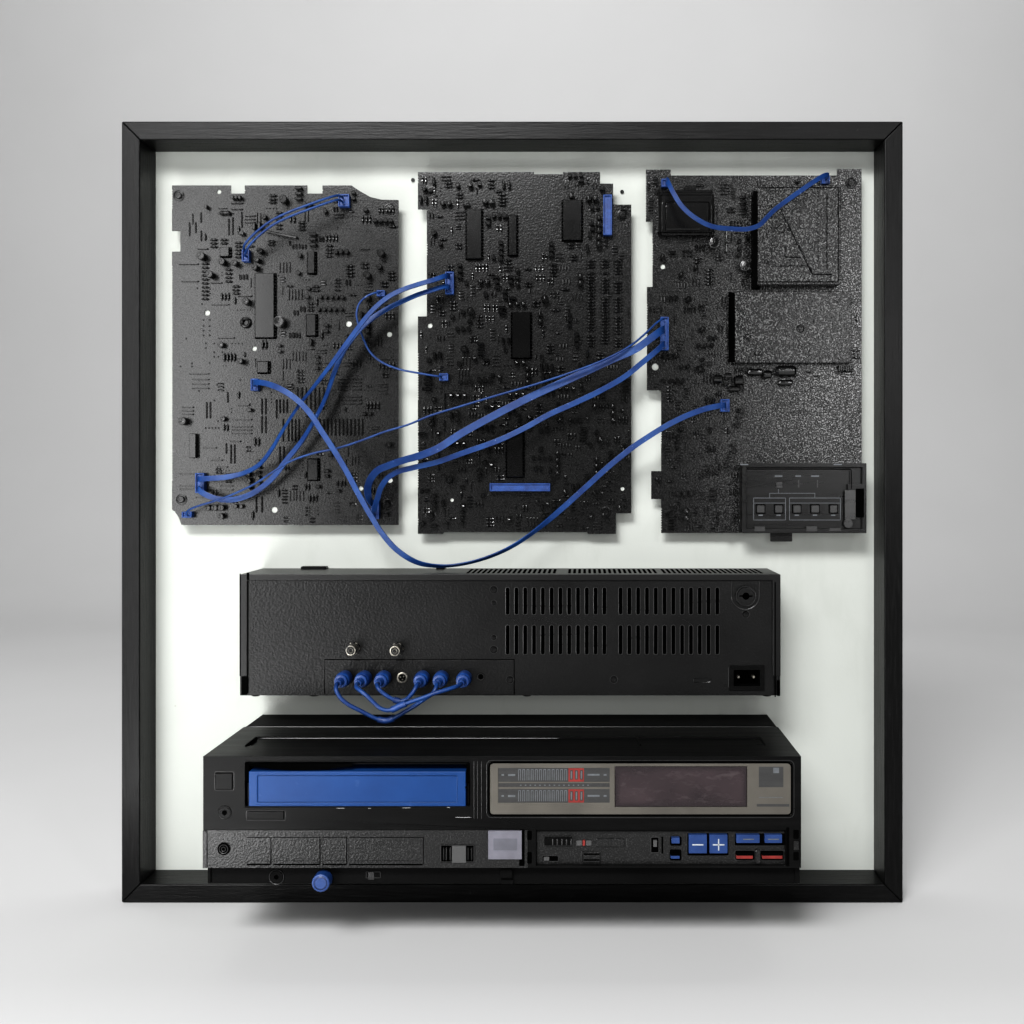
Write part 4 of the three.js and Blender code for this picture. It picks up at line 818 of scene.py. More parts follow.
# %% Gather small closed solids into one mesh
class Gathered:
    """Small closed solids that share one finish."""

    def __init__(self):
        self.points = []
        self.faces = []

    def loft(self, rings):
        """Joins rings of equal size and closes both ends."""
        start, size = len(self.points), len(rings[0])
        for ring in rings:
            self.points += [tuple(point) for point in ring]
        for r in range(len(rings) - 1):
            for k in range(size):
                a = start + r * size + k
                b = start + r * size + (k + 1) % size
                self.faces.append((a, b, b + size, a + size))
        last = start + (len(rings) - 1) * size
        self.faces.append(tuple(range(start + size - 1, start - 1, -1)))
        self.faces.append(tuple(range(last, last + size)))

    def raised(self, outline, back, front, ease=0.3 * MM, steps=2):
        """A flat-topped solid from back to front, with the front edge eased."""
        rings = [[(x, back, z) for x, z in outline]]
        for i in range(steps + 1):
            angle = math.pi / 2 * i / steps
            inset = shrunk(outline, ease * (1 - math.cos(angle)))
            y = front + ease * (1 - math.sin(angle))
            rings.append([(x, y, z) for x, z in inset])
        self.loft(rings)

    def block(self, x0, x1, z0, z1, back, front, ease=0.3 * MM, radius=0.3 * MM, steps=1):
        self.raised(rounded(x0, x1, z0, z1, radius, steps), back, front, ease, steps)

    def turned(self, x, z, profile, sides=16):
        """A lathe shape that points at the viewer: profile is a list of (radius, y)."""
        self.loft([[(px, y, pz) for px, pz in circle(x, z, max(r, 0.01 * MM), sides)] for r, y in profile])

    def spindle(self, start, end, profile, sides=6):
        """A round bar between two points: profile is a list of (share of the way, radius)."""
        start, end = Vector(start), Vector(end)
        along = (end - start).normalized()
        side = along.cross(Vector((0, 1, 0)) if abs(along.y) < 0.9 else Vector((1, 0, 0))).normalized()
        up = side.cross(along)
        rings = []
        for share, radius in profile:
            centre = start.lerp(end, share)
            turns = (2 * math.pi * (i + 0.5) / sides for i in range(sides))
            rings.append([centre + side * radius * math.cos(a) + up * radius * math.sin(a) for a in turns])
        self.loft(rings)

    def wire(self, points, radius, sides=5):
        """A bent wire through these points."""
        points = [Vector(p) for p in points]
        tangents = [(b - a).normalized() for a, b in zip(points, points[1:])]
        tangents = [tangents[0], *[(a + b).normalized() for a, b in zip(tangents, tangents[1:])],
                    tangents[-1]]
        side = tangents[0].cross(Vector((0.31, 0.52, 0.79))).normalized()
        rings = []
        for point, tangent in zip(points, tangents):
            side = (side - tangent * side.dot(tangent)).normalized()
            up = side.cross(tangent)
            turns = (2 * math.pi * i / sides for i in range(sides))
            rings.append([point + side * radius * math.cos(a) + up * radius * math.sin(a) for a in turns])
        self.loft(rings)

    def ring(self, x, y, z, reach, thick, corners=24, sides=5):
        """A thin wire bent into a circle that faces the viewer."""
        loop = [(px, y, pz) for px, pz in circle(x, z, reach, corners)]
        self.wire([*loop, loop[0]], thick, sides)

    def make(self, name, material, slot, body="display", stands_for=(), smooth=38):
        mesh = bpy.data.meshes.new(name)
        mesh.from_pydata(self.points, [], self.faces)
        return finished(name, mesh, material, slot, body, stands_for, smooth)


def flat_faces_stay_flat(made, by_strength=False):
    """Lets the large faces decide the shading, so that only the eased edges look round."""
    weigh = made.modifiers.new("large faces decide", "WEIGHTED_NORMAL")
    weigh.use_face_influence = by_strength
    weigh.keep_sharp = True
    made.data = bpy.data.meshes.new_from_object(made.evaluated_get(bpy.context.evaluated_depsgraph_get()))
    made.modifiers.clear()


def finished(name, mesh, material, slot, body="display", stands_for=(), smooth=38):
    """Turns faces outwards, shades the mesh, paints it, and hangs it on its body."""
    mended(mesh)
    mesh.shade_smooth()
    mesh.set_sharp_from_angle(angle=math.radians(smooth))
    mesh.materials.clear()
    mesh.materials.append(material)
    made = bpy.data.objects.new(name, mesh)
    scene.collection.objects.link(made)
    flat_faces_stay_flat(made)
    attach(made, body)
    if stands_for:
        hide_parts(*stands_for)
    return made


# %% [markdown]
# Larger pieces, such as the rails and the recorder's casing, already have the right shape in the
# imported model, but with knife-sharp edges. A copy with a narrow bevel on each edge looks like
# sheet metal, wood or moulded plastic. The imported mesh is loose triangles, so the copy is merged
# before the bevel runs along its real edges.

# %% Copy a imported node with eased edges
def eased_copy(node, material, slot, ease, body="display", segments=2, angle=28):
    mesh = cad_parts[node].data.copy()
    mended(mesh, merge=True)
    made = finished(node + "_shape", mesh, material, slot, body, [node], angle)
    bevel = made.modifiers.new("eased edges", "BEVEL")
    bevel.width = ease
    bevel.segments = segments
    bevel.limit_method = "ANGLE"
    bevel.angle_limit = math.radians(angle)
    bevel.miter_outer = "MITER_ARC"
    bevel.face_strength_mode = "FSTR_AFFECTED"
    flat_faces_stay_flat(made, by_strength=True)
    return made


def paint(node, material):
    """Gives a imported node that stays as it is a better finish."""
    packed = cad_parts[node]
    for holder in packed.material_slots:
        holder.link = "OBJECT"
        holder.material = material


def flat_mark(into, left_column, top, right_column, low, y, thickness=0.12 * MM, ease=0.05 * MM,
              radius=0.1 * MM):
    """A thin raised rectangle between photograph columns and rows, on a surface at depth y."""
    x0, x1, z0, z1 = seen_box(left_column, top, right_column, low, y)
    into.block(x0, x1, z0, z1, y + 0.05 * MM, y - thickness, ease, radius)


def upright_bar(into, column, top, low, surface, y, profile):
    """A thin upright bar at depth y, between two rows of the photograph seen on a surface."""
    (x, z1), (_, z0) = seen(column, top, surface), seen(column, low, surface)
    into.spindle((x, y, z0), (x, y, z1), profile, 6)


def bars(into, boxes, y):
    """Printed bars, each a few hundredths of a millimetre thick."""
    for box in boxes:
        flat_mark(into, *box, y, 0.06 * MM, 0.02 * MM)


def frame_line(into, left_column, top, right_column, low, y, radius=0.35 * MM, corner=1.2 * MM):
    """A thin raised line round a rectangle of the photograph."""
    x0, x1, z0, z1 = seen_box(left_column, top, right_column, low, y)
    ring = [(x, y + radius * 0.3, z) for x, z in rounded(x0, x1, z0, z1, corner, 3)]
    into.wire([*ring, ring[0]], radius, 6)
# %% [markdown]
# The frame is four flat wooden rails, mitred where they meet, around the white backboard. The
# rails stand well in front of the board, so they throw soft shadows on it.

# %% Rails and backboard
rail_ease = 0.9 * MM
for side, paint_used in (
    ("top", rail_level_paint),
    ("bottom", rail_level_paint),
    ("left", rail_upright_paint),
    ("right", rail_upright_paint),
):
    eased_copy(f"frame_rail_{side}", paint_used, "frame_black", rail_ease, segments=3)
paint("backboard", white_paint)
# %% [markdown]
# Each circuit board is a thin plate with cut-outs and drilled holes. A filled flat curve is the
# shortest way to such a plate: Blender cuts the holes out of the outline, and the curve's own
# bevel eases the edges. Some edges are scalloped, where the board was snapped along a row of
# drilled holes.

# %% Plates with holes
white_face = -6 * MM
board_back = -16.4 * MM
board_front = -18.0 * MM
board_outlines = {
    "board_left": [
        (0, 0.045), (0.012, 0.04), (0.03, 0.022), (0.042, 0), (1, 0), (1, 0.957), (0.925, 0.958),
        (0.875, 0.966), (0.83, 0.983), (0.792, 1), (0.664, 1), (0.664, 0.976), (0.597, 0.976),
        (0.597, 1), (0.321, 1), (0.321, 0.976), (0.26, 0.976), (0.26, 1), (0, 1), (0, 0.866),
        (0.037, 0.866), (0.037, 0.805), (0, 0.805),
    ],
    "board_middle": [
        (0, 0), (0.118, 0), (0.122, 0.005), (0.793, 0.005), (0.797, 0), (0.928, 0),
        (0.928, 0.057), (1, 0.057), (1, 0.91), (0.915, 0.91), (0.915, 0.968), (0.854, 0.968),
        (0.854, 1), (0.68, 1), (0.68, 0.994), (0.544, 0.994), (0.544, 1), (0, 1), (0, 0.897),
        (0.042, 0.897), (0.042, 0.601), (0, 0.601),
    ],
    "board_right": [
        (0.071, 0), (1, 0), (1, 1), (0.886, 1), (0.886, 0.982), (0.116, 0.982), (0.116, 0.998),
        (0, 0.998), (0, 0.855), (0.031, 0.855), (0.031, 0.676), (0.005, 0.676), (0.005, 0.392),
        (0.071, 0.392), (0.071, 0.17), (0.025, 0.17), (0.025, 0.093), (0.071, 0.093),
    ],
}
columns_per_mm = 1.193
scalloped_rows = {
    "board_left": [(190, 208), (266, 480)],
    "board_middle": [(176, 183), (242, 255), (352, 401), (425, 487), (517, 526)],
    "board_right": [(173, 220), (244, 265), (303, 345), (429, 443), (509, 530)],
}
drilled_holes = {
    "board_left": [(219, 191.7, 2.2), (207.2, 312.8, 2.8), (254.4, 348.6, 2.4), (348.8, 323.8, 3.0),
                   (389.4, 334.5, 2.6), (390, 480.3, 2.6), (361, 488.5, 2.2), (274.4, 509.8, 3.1)],
    "board_middle": [(430, 325.7, 2.4), (622.4, 488.8, 2.0), (452, 500, 1.8)],
    "board_right": [(662.8, 266.7, 2.4), (655.2, 367, 3.4), (741, 520, 1.8)],
}


def on_board(name):
    """Turns shares of a board's width and height into places."""
    low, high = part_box(name)
    return lambda u, v: (low.x + u * (high.x - low.x), low.z + v * (high.z - low.z))


def scalloped(outline, rows, pitch=2.1 * MM, depth=0.75 * MM):
    spans = [(seen(0, low, board_front)[1], seen(0, top, board_front)[1]) for top, low in rows]
    result = []
    for here, after in zip(outline, [*outline[1:], outline[0]]):
        result.append(here)
        (x, z), (end_x, end_z) = here, after
        if abs(end_x - x) > 0.1 * MM or end_z > z:
            continue
        for i in range(int((z - end_z) / pitch) - 1):
            middle = z - (i + 1) * pitch
            if any(low < middle < high for low, high in spans):
                result += [(x, middle + 0.32 * pitch), (x + depth, middle), (x, middle - 0.32 * pitch)]
    return result


def drilled_plate(name, outline, holes, back, front, ease):
    """The mesh of a plate with eased edges and holes through it."""
    curve = bpy.data.curves.new(name, "CURVE")
    curve.dimensions = "2D"
    curve.fill_mode = "BOTH"
    for loop in [outline, *holes]:
        spline = curve.splines.new("POLY")
        spline.points.add(len(loop) - 1)
        spline.use_cyclic_u = True
        for point, (x, z) in zip(spline.points, loop):
            point.co = (x, z, 0, 1)
    curve.extrude = (back - front) / 2 - ease
    curve.bevel_depth = ease
    curve.bevel_resolution = 1
    curve.offset = -ease
    holder = bpy.data.objects.new(name, curve)
    scene.collection.objects.link(holder)
    mesh = bpy.data.meshes.new_from_object(holder.evaluated_get(bpy.context.evaluated_depsgraph_get()))
    bpy.data.objects.remove(holder)
    for vertex in mesh.vertices:
        x, z, depth = vertex.co
        vertex.co = (x, (back + front) / 2 + depth, z)
    mended(mesh, merge=True)
    return mesh


for name, shares in board_outlines.items():
    place = on_board(name)
    outline = scalloped([place(u, v) for u, v in shares], scalloped_rows[name])
    holes = [circle(*seen(x, y, board_front), r / columns_per_mm * MM, 14) for x, y,
             r in drilled_holes[name]]
    plate = drilled_plate(name + "_plate", outline, holes, board_back, board_front, 0.18 * MM)
    finished(name + "_plate", plate, board_paint, "circuit_black", stands_for=[name])
    print(name, "has", len(outline), "edge points and", len(holes), "holes")

# %% [markdown]
# Now the parts on the boards. The ones that can be told apart in the photograph are placed one
# by one, each kind by its own small function: moulded chips with legs, round capacitors with a
# scored top, resistors, jumper wires, transistors and blue lead sockets. Each remembers the
# patch of board that it covers, so that nothing is scattered on top of it later.

# %% Kinds of parts
random.seed(41)
covered = []
parts = {name: Gathered() for name in board_outlines}
blue_parts = Gathered()


def cover(x, z, half_x, half_z):
    covered.append((x - half_x, x + half_x, z - half_z, z + half_z))


# Dark patches that paint the shadows round the chips.
chip_shadows = Gathered()


def chip(into, x0, x1, z0, z1, height=4.0 * MM, legs=True):
    """A moulded chip, with a row of legs along each long side."""
    front = board_front - height
    upright = z1 - z0 > x1 - x0
    into.block(x0, x1, z0, z1, board_front - 0.5 * MM, front, 0.35 * MM, 0.2 * MM)
    cover((x0 + x1) / 2, (z0 + z1) / 2, (x1 - x0) / 2 + 1.5 * MM, (z1 - z0) / 2 + 1 * MM)
    if not legs:
        return
    # A dark patch a little larger than the chip, painted shadow round it.
    chip_shadows.block(x0 - 1.3 * MM, x1 + 1.3 * MM, z0 - 0.7 * MM, z1 + 0.7 * MM, board_front,
                   board_front - 0.12 * MM, 0.03 * MM)
    length = z1 - z0 if upright else x1 - x0
    count = max(3, int(length / (2.54 * MM)))
    for i in range(count):
        offset = (i + 0.5) / count * length
        for side in (-1, 1):
            if upright:
                x = x0 if side < 0 else x1
                z = z0 + offset
                ends = (min(x, x + side * 1.1 * MM), max(x, x + side * 1.1 * MM), z - 0.45 * MM,
                        z + 0.45 * MM)
            else:
                z = z0 if side < 0 else z1
                x = x0 + offset
                ends = (x - 0.45 * MM, x + 0.45 * MM, min(z, z + side * 1.1 * MM),
                        max(z, z + side * 1.1 * MM))
            into.block(*ends, board_front, front + 1.4 * MM, 0.2 * MM, 0.1 * MM)


def capacitor(into, x, z, radius, height=8.5 * MM, scored=True):
    front = board_front - height
    r = radius
    profile = [(r * 0.8, board_front), (r, board_front - 0.3 * MM), (r, front + 1.9 * MM),
               (r * 0.9, front + 1.6 * MM)]
    profile += [(r * 0.9, front + 1.3 * MM), (r, front + 1.0 * MM), (r, front + 0.35 * MM), (r * 0.9, front)]
    profile += [(r * 0.74, front), (r * 0.68, front + 0.2 * MM), (0, front + 0.2 * MM)]
    into.turned(x, z, profile, 18)
    if scored:
        for turn in (90, 210, 330):
            end = (x + r * 0.6 * math.cos(math.radians(turn)), z + r * 0.6 * math.sin(math.radians(turn)))
            y = front + 0.2 * MM
            into.spindle((x, y, z), (end[0], y, end[1]), [(0, 0.28 * MM), (1, 0.28 * MM)], 5)
    cover(x, z, radius + 0.6 * MM, radius + 0.6 * MM)


def resistor(into, x, z, level=True, length=6.2 * MM, fat=1.05 * MM):
    along = Vector((length / 2, 0, 0)) if level else Vector((0, 0, length / 2))
    middle = Vector((x, board_front - fat - 0.1 * MM, z))
    barrel = [(0, 0.25), (0.06, 0.8), (0.14, 1.0), (0.26, 1.0), (0.34, 0.82), (0.66, 0.82), (0.74, 1.0)]
    barrel += [(0.86, 1.0), (0.94, 0.8), (1, 0.25)]
    into.spindle(middle - along * 0.78, middle + along * 0.78, [(s, r * fat) for s, r in barrel], 8)
    for side in (-1, 1):
        foot = Vector((x, board_front, z)) + along * side * 1.12
        shoulder = middle + along * side * 1.06
        into.wire([foot, shoulder, middle + along * side * 0.7], 0.32 * MM, 4)
    cover(x, z, abs(along.x) * 1.2 + 1.1 * MM, abs(along.z) * 1.2 + 1.1 * MM)


def jumper(into, x0, z0, x1, z1, rise=1.3 * MM, thick=0.42 * MM):
    start, end = Vector((x0, board_front, z0)), Vector((x1, board_front, z1))
    step = (end - start).normalized() * 0.5 * MM
    lift = Vector((0, -rise, 0))
    into.wire([start, start + lift * 0.7, start + lift + step, end + lift - step, end + lift * 0.7, end],
              thick, 5)
    for foot in (start, end):
        solder(into, foot.x, foot.z)
    cover((x0 + x1) / 2, (z0 + z1) / 2, abs(x1 - x0) / 2 + 0.9 * MM, abs(z1 - z0) / 2 + 0.9 * MM)


def solder(into, x, z, radius=0.75 * MM):
    profile = [(radius, board_front + 0.1 * MM), (radius * 0.75, board_front - 0.3 * MM)]
    into.turned(x, z, [*profile, (radius * 0.3, board_front - 0.55 * MM)], 7)


def transistor(into, x, z, turn=0, height=5.5 * MM, size=2.4 * MM):
    """A small moulded D shape that stands on three legs."""
    outline = []
    for i in range(9):
        angle = math.radians(-38 + 256 * i / 8 + turn)
        outline.append((x + size * math.cos(angle), z + size * math.sin(angle)))
    into.raised(outline, board_front - 1.2 * MM, board_front - height, 0.3 * MM, 1)
    cover(x, z, size + 0.4 * MM, size + 0.4 * MM)


def lead_socket(x0, x1, z0, z1):
    """A blue socket: a wall round a slit, which the ribbon goes into."""
    front = board_front - 5.7 * MM
    wall = 1.1 * MM
    blue_parts.block(x0, x1, z0, z1, board_front + 0.2 * MM, front + 1.6 * MM, 0.2 * MM, 0.3 * MM)
    for box in (
        (x0, x0 + wall, z0, z1),
        (x1 - wall, x1, z0, z1),
        (x0 + wall * 0.8, x1 - wall * 0.8, z0, z0 + wall),
        (x0 + wall * 0.8, x1 - wall * 0.8, z1 - wall, z1),
    ):
        blue_parts.block(*box, front + 2.2 * MM, front, 0.25 * MM, 0.2 * MM)
    length = max(x1 - x0, z1 - z0)
    count = max(2, int(length / (2.54 * MM)))
    for i in range(count):
        share = (i + 0.5) / count
        level = x1 - x0 > z1 - z0
        x = x0 + share * (x1 - x0) if level else (x0 + x1) / 2
        z = (z0 + z1) / 2 if level else z0 + share * (z1 - z0)
        blue_parts.block(x - 0.4 * MM, x + 0.4 * MM, z - 0.4 * MM, z + 0.4 * MM, front + 2 * MM,
                         front + 1.0 * MM, 0.1 * MM)
    cover((x0 + x1) / 2, (z0 + z1) / 2, (x1 - x0) / 2 + 0.8 * MM, (z1 - z0) / 2 + 0.8 * MM)


def screw_head(into, x, z, surface, radius, height=1.6 * MM, turn=20):
    """A domed screw head with a cross slot."""
    front = surface - height
    into.turned(x, z, [(radius * 1.25, surface + 0.1 * MM), (radius * 1.25, surface - 0.3 * MM),
                       (radius, surface - 0.35 * MM), (radius, front + radius * 0.25),
                       (radius * 0.8, front + 0.06 * MM), (radius * 0.45, front),
                       (radius * 0.4, front + 0.5 * MM)], 18)
    for angle in (turn, turn + 90):
        dx, dz = math.cos(math.radians(angle)) * radius * 0.42, math.sin(math.radians(angle)) * radius * 0.42
        into.spindle((x - dx, front + 0.3 * MM, z - dz), (x + dx, front + 0.3 * MM, z + dz),
                     [(0, 0.16 * MM), (1, 0.16 * MM)], 4)


# %% Chips and sockets, as shares of each board's width and height
chip_shares = {
    "board_left": [(0.373, 0.456, 0.55, 0.739), (0.604, 0.634, 0.739, 0.802), (0.599, 0.639, 0.556, 0.618),
                   (0.604, 0.648, 0.132, 0.194), (0.219, 0.258, 0.788, 0.815), (0.383, 0.43, 0.447, 0.48)],
    "board_middle": [(0.443, 0.528, 0.485, 0.61), (0.23, 0.3, 0.758, 0.895), (0.68, 0.767, 0.809, 0.92),
                     (0.418, 0.493, 0.157, 0.284), (0.427, 0.464, 0.768, 0.878)],
    "board_right": [],
}
socket_shares = {
    "board_left": [(0.74, 0.789, 0.933, 0.969), (0.317, 0.35, 0.772, 0.807), (0.909, 0.945, 0.67, 0.688),
                   (0.356, 0.389, 0.394, 0.429), (0.113, 0.153, 0.094, 0.153), (0.054, 0.098, 0.022, 0.04),
                   (0.883, 0.919, 0.018, 0.074)],
    "board_middle": [(0.868, 0.909, 0.822, 0.933), (0.339, 0.621, 0.118, 0.14), (0.132, 0.172, 0.66, 0.721),
                     (0.104, 0.146, 0.422, 0.442)],
    "board_right": [(0.07, 0.107, 0.946, 0.968), (0.809, 0.846, 0.954, 0.976), (0.066, 0.104, 0.5, 0.591),
                    (0.343, 0.384, 0.332, 0.366)],
}
for name in board_outlines:
    place = on_board(name)
    for u0, u1, v0, v1 in chip_shares[name]:
        (x0, z0), (x1, z1) = place(u0, v0), place(u1, v1)
        chip(parts[name], x0, x1, z0, z1)
    for u0, u1, v0, v1 in socket_shares[name]:
        (x0, z0), (x1, z1) = place(u0, v0), place(u1, v1)
        lead_socket(x0, x1, z0, z1)

# %% Parts placed by columns and rows of the photograph
left_upright_jumpers = [
    (189.6, 223, 235.5), (195.8, 223, 232.6), (201.1, 213, 222), (201.3, 231.4, 240.6),
    (228.9, 219.4, 234.9), (232.9, 218, 234.3), (241.8, 212.5, 227.4), (206.8, 402.5, 417.8),
    (210.4, 402.5, 417.8), (227.8, 392.5, 402), (231.1, 445, 463), (234.7, 445, 463), (226.4, 444, 453),
    (262, 399, 414), (265.8, 399, 414), (262, 416.7, 432.6), (265.8, 416.7, 432.6), (276.6, 400, 417.8),
    (280, 400, 412.5), (283.5, 400, 412.5), (287.1, 400, 412.5), (283.3, 419.6, 440.8), (280, 447, 462.7),
    (283.9, 447, 462.7), (256.4, 497.5, 512), (262.1, 497.5, 512),
    *[(297.7 + 4.33 * i, 388, 409) for i in range(7)],
    *[(288.5 + 3.5 * i, 419.6, 440.8) for i in range(4)],
    *[(320 + 3.87 * i, 419.6, 435) for i in range(12)],
]
left_level_jumpers = [
    (232, 242.7, 203.5), (232, 242.7, 209.4), (179.5, 198.5, 264.2), (182.4, 198.5, 281.5),
    (198.5, 208, 249), (212.3, 229, 304.7), (218.6, 234.6, 338), (211.7, 222, 283), (239, 252, 296.3),
    (190, 209, 373.8), (232.6, 252, 419.6), (239, 249.7, 405.5), (230.8, 240.8, 441.4),
    (204, 216.6, 447.9), (212.5, 222.5, 460.3), (217.8, 227.8, 467), (196.6, 207, 497.5),
    *[(193, 209, row) for row in (379.5, 383.9, 388.3)],
    *[(183, 193.6, row) for row in (407.3, 410.9, 414.3)],
    *[(232.6, 252, row) for row in (426.7, 430, 433.5)],
    *[(180.6, 198.3, row) for row in (473.9, 485.9, 489.3)],
    *[(221, 233, row) for row in (486, 490)],
    *[(339, 361.4, row) for row in (379, 382.4, 386, 389.5, 396.8, 400.1, 403.7)],
]
left_resistor_columns = [
    (205.4, 264, 10, 3.9), (228.9, 270, 4, 3.9), (238.7, 243, 5, 3.6), (214, 240, 3, 3.5),
    (224.3, 240, 2, 3.5),
]
left_capacitors = [
    (203.6, 257.3, 4), (224.3, 263, 3.5), (236.9, 264.2, 3), (212.3, 275.7, 3.5), (262.2, 252.1, 3),
    (259.3, 261.3, 2.5), (257, 268.8, 3), (248.4, 302.6, 3.5), (281.2, 322.7, 5.7), (285.2, 201, 4),
    (242.6, 361.8, 3), (185.4, 421.4, 4), (368.4, 276.2, 3.6), (382.2, 254.4, 3.6), (368.4, 298.6, 3.6),
]
left = parts["board_left"]
for column, top, low in left_upright_jumpers:
    (x, z1), (_, z0) = seen(column, top, board_front), seen(column, low, board_front)
    jumper(left, x, z0, x, z1)
for start, end, row in left_level_jumpers:
    (x0, z), (x1, _) = seen(start, row, board_front), seen(end, row, board_front)
    jumper(left, x0, z, x1, z)
for column, top, count, pitch in left_resistor_columns:
    for i in range(count):
        resistor(left, *seen(column, top + i * pitch, board_front))
for column, row, radius in left_capacitors:
    capacitor(left, *seen(column, row, board_front), radius / 1.2 * MM, 8 * MM)
resistor(left, *seen(226, 213.6, board_front), length=12 * MM, fat=1.9 * MM)
for i in range(4):
    transistor(left, *seen(376 + 5.2 * i, 222, board_front), turn=0, size=1.9 * MM)
for column, row in ((208, 208), (234.5, 198.7), (238, 198.7), (241.5, 198.7)):
    transistor(left, *seen(column, row, board_front), turn=90, size=1.6 * MM)
chip(left, *seen_box(191.3, 433.8, 197.8, 458, board_front), height=5 * MM, legs=False)
jumper(left, *seen(267.6, 232, board_front), *seen(297.3, 238.3, board_front), 3 * MM, 0.9 * MM)
left_dots = [
    (186.2, 338.7), (180.7, 366.5), (192, 363.4), (192, 366.5), (209.6, 363), (197.4, 288.2),
    (202, 304), (210, 289), (210, 293.5), (199, 391), (217, 385), (240, 380), (214.5, 400.5),
    (240, 393), (250, 404), (218, 421), (226, 428),
    *[(column, row) for column in (203.6, 209.7) for row in (320, 326, 330.7, 335.3)],
    *[(205.8 + 3.2 * i, 428) for i in range(5)],
    *[(206 + 4.1 * (i % 5), 343.5 + 4.4 * (i // 5)) for i in (0, 2, 5, 9, 12, 14, 17, 18)],
]
for column, row in left_dots:
    solder(left, *seen(column, row, board_front), 0.85 * MM)
for i in range(20):
    x, z = seen(272.4, 276 + 3.1 * i, board_front)
    left.block(x - 1.3 * MM, x + 1.3 * MM, z - 0.62 * MM, z + 0.62 * MM, board_front,
               board_front - 3.4 * MM, 0.3 * MM)
ring_x, ring_z = seen(246.1, 322.7, board_front)
left.ring(ring_x, board_front - 1.5 * MM, ring_z, 3.4 * MM, 1.3 * MM, 20, 8)
cover(ring_x, ring_z, 5 * MM, 5 * MM)

middle = parts["board_middle"]
for column, row in ((450, 480), (471, 312), (545, 300), (560, 420), (600, 440), (465, 350)):
    capacitor(middle, *seen(column, row, board_front), 3.0 * MM, 7 * MM)
for column in (590.8, 605, 618):
    for i in range(28):
        if random.random() < 0.86:
            resistor(middle, *seen(column, 261 + 3.15 * i, board_front), length=7 * MM, fat=0.95 * MM)
for column, top, low in ((445, 394, 408), (444.5, 421.5, 430.6), (439, 452, 470)):
    jumper(middle, *seen(column, low, board_front), *seen(column, top, board_front), 1.6 * MM, 0.55 * MM)

right = parts["board_right"]
capacitor(right, *seen(713.3, 244.8, board_front), 4.6 * MM, 9 * MM)
capacitor(right, *seen(744.2, 267.3, board_front), 4.6 * MM, 9 * MM)
capacitor(right, *seen(779.5, 370.6, board_front), 3.4 * MM, 6 * MM, scored=False)
for column, row in ((737, 425), (741, 410.7), (688, 300), (702, 330), (676, 356)):
    capacitor(right, *seen(column, row, board_front), 2.6 * MM, 5.5 * MM)
jumper(right, *seen(726, 252.7, board_front), *seen(726, 231.5, board_front), 2 * MM, 0.6 * MM)
for i in range(9):
    x, z = seen(838 + 1.75 * i, 369, board_front)
    right.block(x - 0.3 * MM, x + 0.3 * MM, z - 2.6 * MM, z + 2.6 * MM, board_front, board_front - 6 * MM,
                0.15 * MM)
for column, top, low in ((676, 392, 408), (679, 432, 446), (674.5, 366, 377)):
    for i in range(int((low - top) / 2.7)):
        solder(right, *seen(column, top + 2.7 * i, board_front))
(fx0, fz0), (fx1, fz1) = on_board("board_right")(0.055, 0.821), on_board("board_right")(0.305, 0.934)
for box in ((fx0, fx1, fz1 - 1 * MM, fz1), (fx0, fx1, fz0, fz0 + 1 * MM), (fx0, fx0 + 1 * MM, fz0, fz1),
            (fx1 - 1 * MM, fx1, fz0, fz1)):
    right.block(*box, board_front, board_front - 8 * MM, 0.2 * MM, 0.1 * MM)
right.block(fx0 + 0.8 * MM, fx1 - 0.8 * MM, fz0 + 0.8 * MM, fz1 - 0.8 * MM, board_front,
            board_front - 6.4 * MM, 0.2 * MM, 0.1 * MM)
for box in ((662, 203, 710, 234), (666, 206, 700, 229), (711.5, 206, 717, 224)):
    frame_line(right, *box, board_front - 6.4 * MM, 0.35 * MM, 0.5 * MM)
for box in ((774.6, 366, 795, 377), (712, 375, 722, 384), (724, 373, 731, 379), (733, 376, 742.6, 386),
            (747, 369, 762, 376), (762, 371, 771, 379), (728, 386, 740, 392), (778, 380, 792, 386)):
    x0, x1, z0, z1 = seen_box(*box, board_front)
    thick = (z1 - z0) / 2
    ends = [(share_x, board_front - thick, (z0 + z1) / 2) for share_x in (x0, x1)]
    right.spindle(*ends, [(0, thick * 0.6), (0.12, thick), (0.88, thick), (1, thick * 0.6)], 10)
print("covered patches:", len(covered))

# %% [markdown]
# Between these known parts the boards are full of small ones in short stacks: a few resistors
# side by side, a few parallel jumpers, a line of solder points. Geometry Nodes set them out. A
# seeded draw gives each stack its kind and place, and every place becomes a point that carries
# its kind, turn and size. The node tree then puts the matching part on each point.

# %% The small parts to set out
def sample(kind, build):
    """One small part at the origin, for the tree to copy."""
    gathered = Gathered()
    count_before = len(covered)
    build(gathered)
    del covered[count_before:]
    mesh = bpy.data.meshes.new(kind)
    mesh.from_pydata([(x, y - board_front, z) for x, y, z in gathered.points], [], gathered.faces)
    mesh.shade_smooth()
    mesh.set_sharp_from_angle(angle=math.radians(38))
    made = bpy.data.objects.new(kind, mesh)
    sample_shelf.objects.link(made)


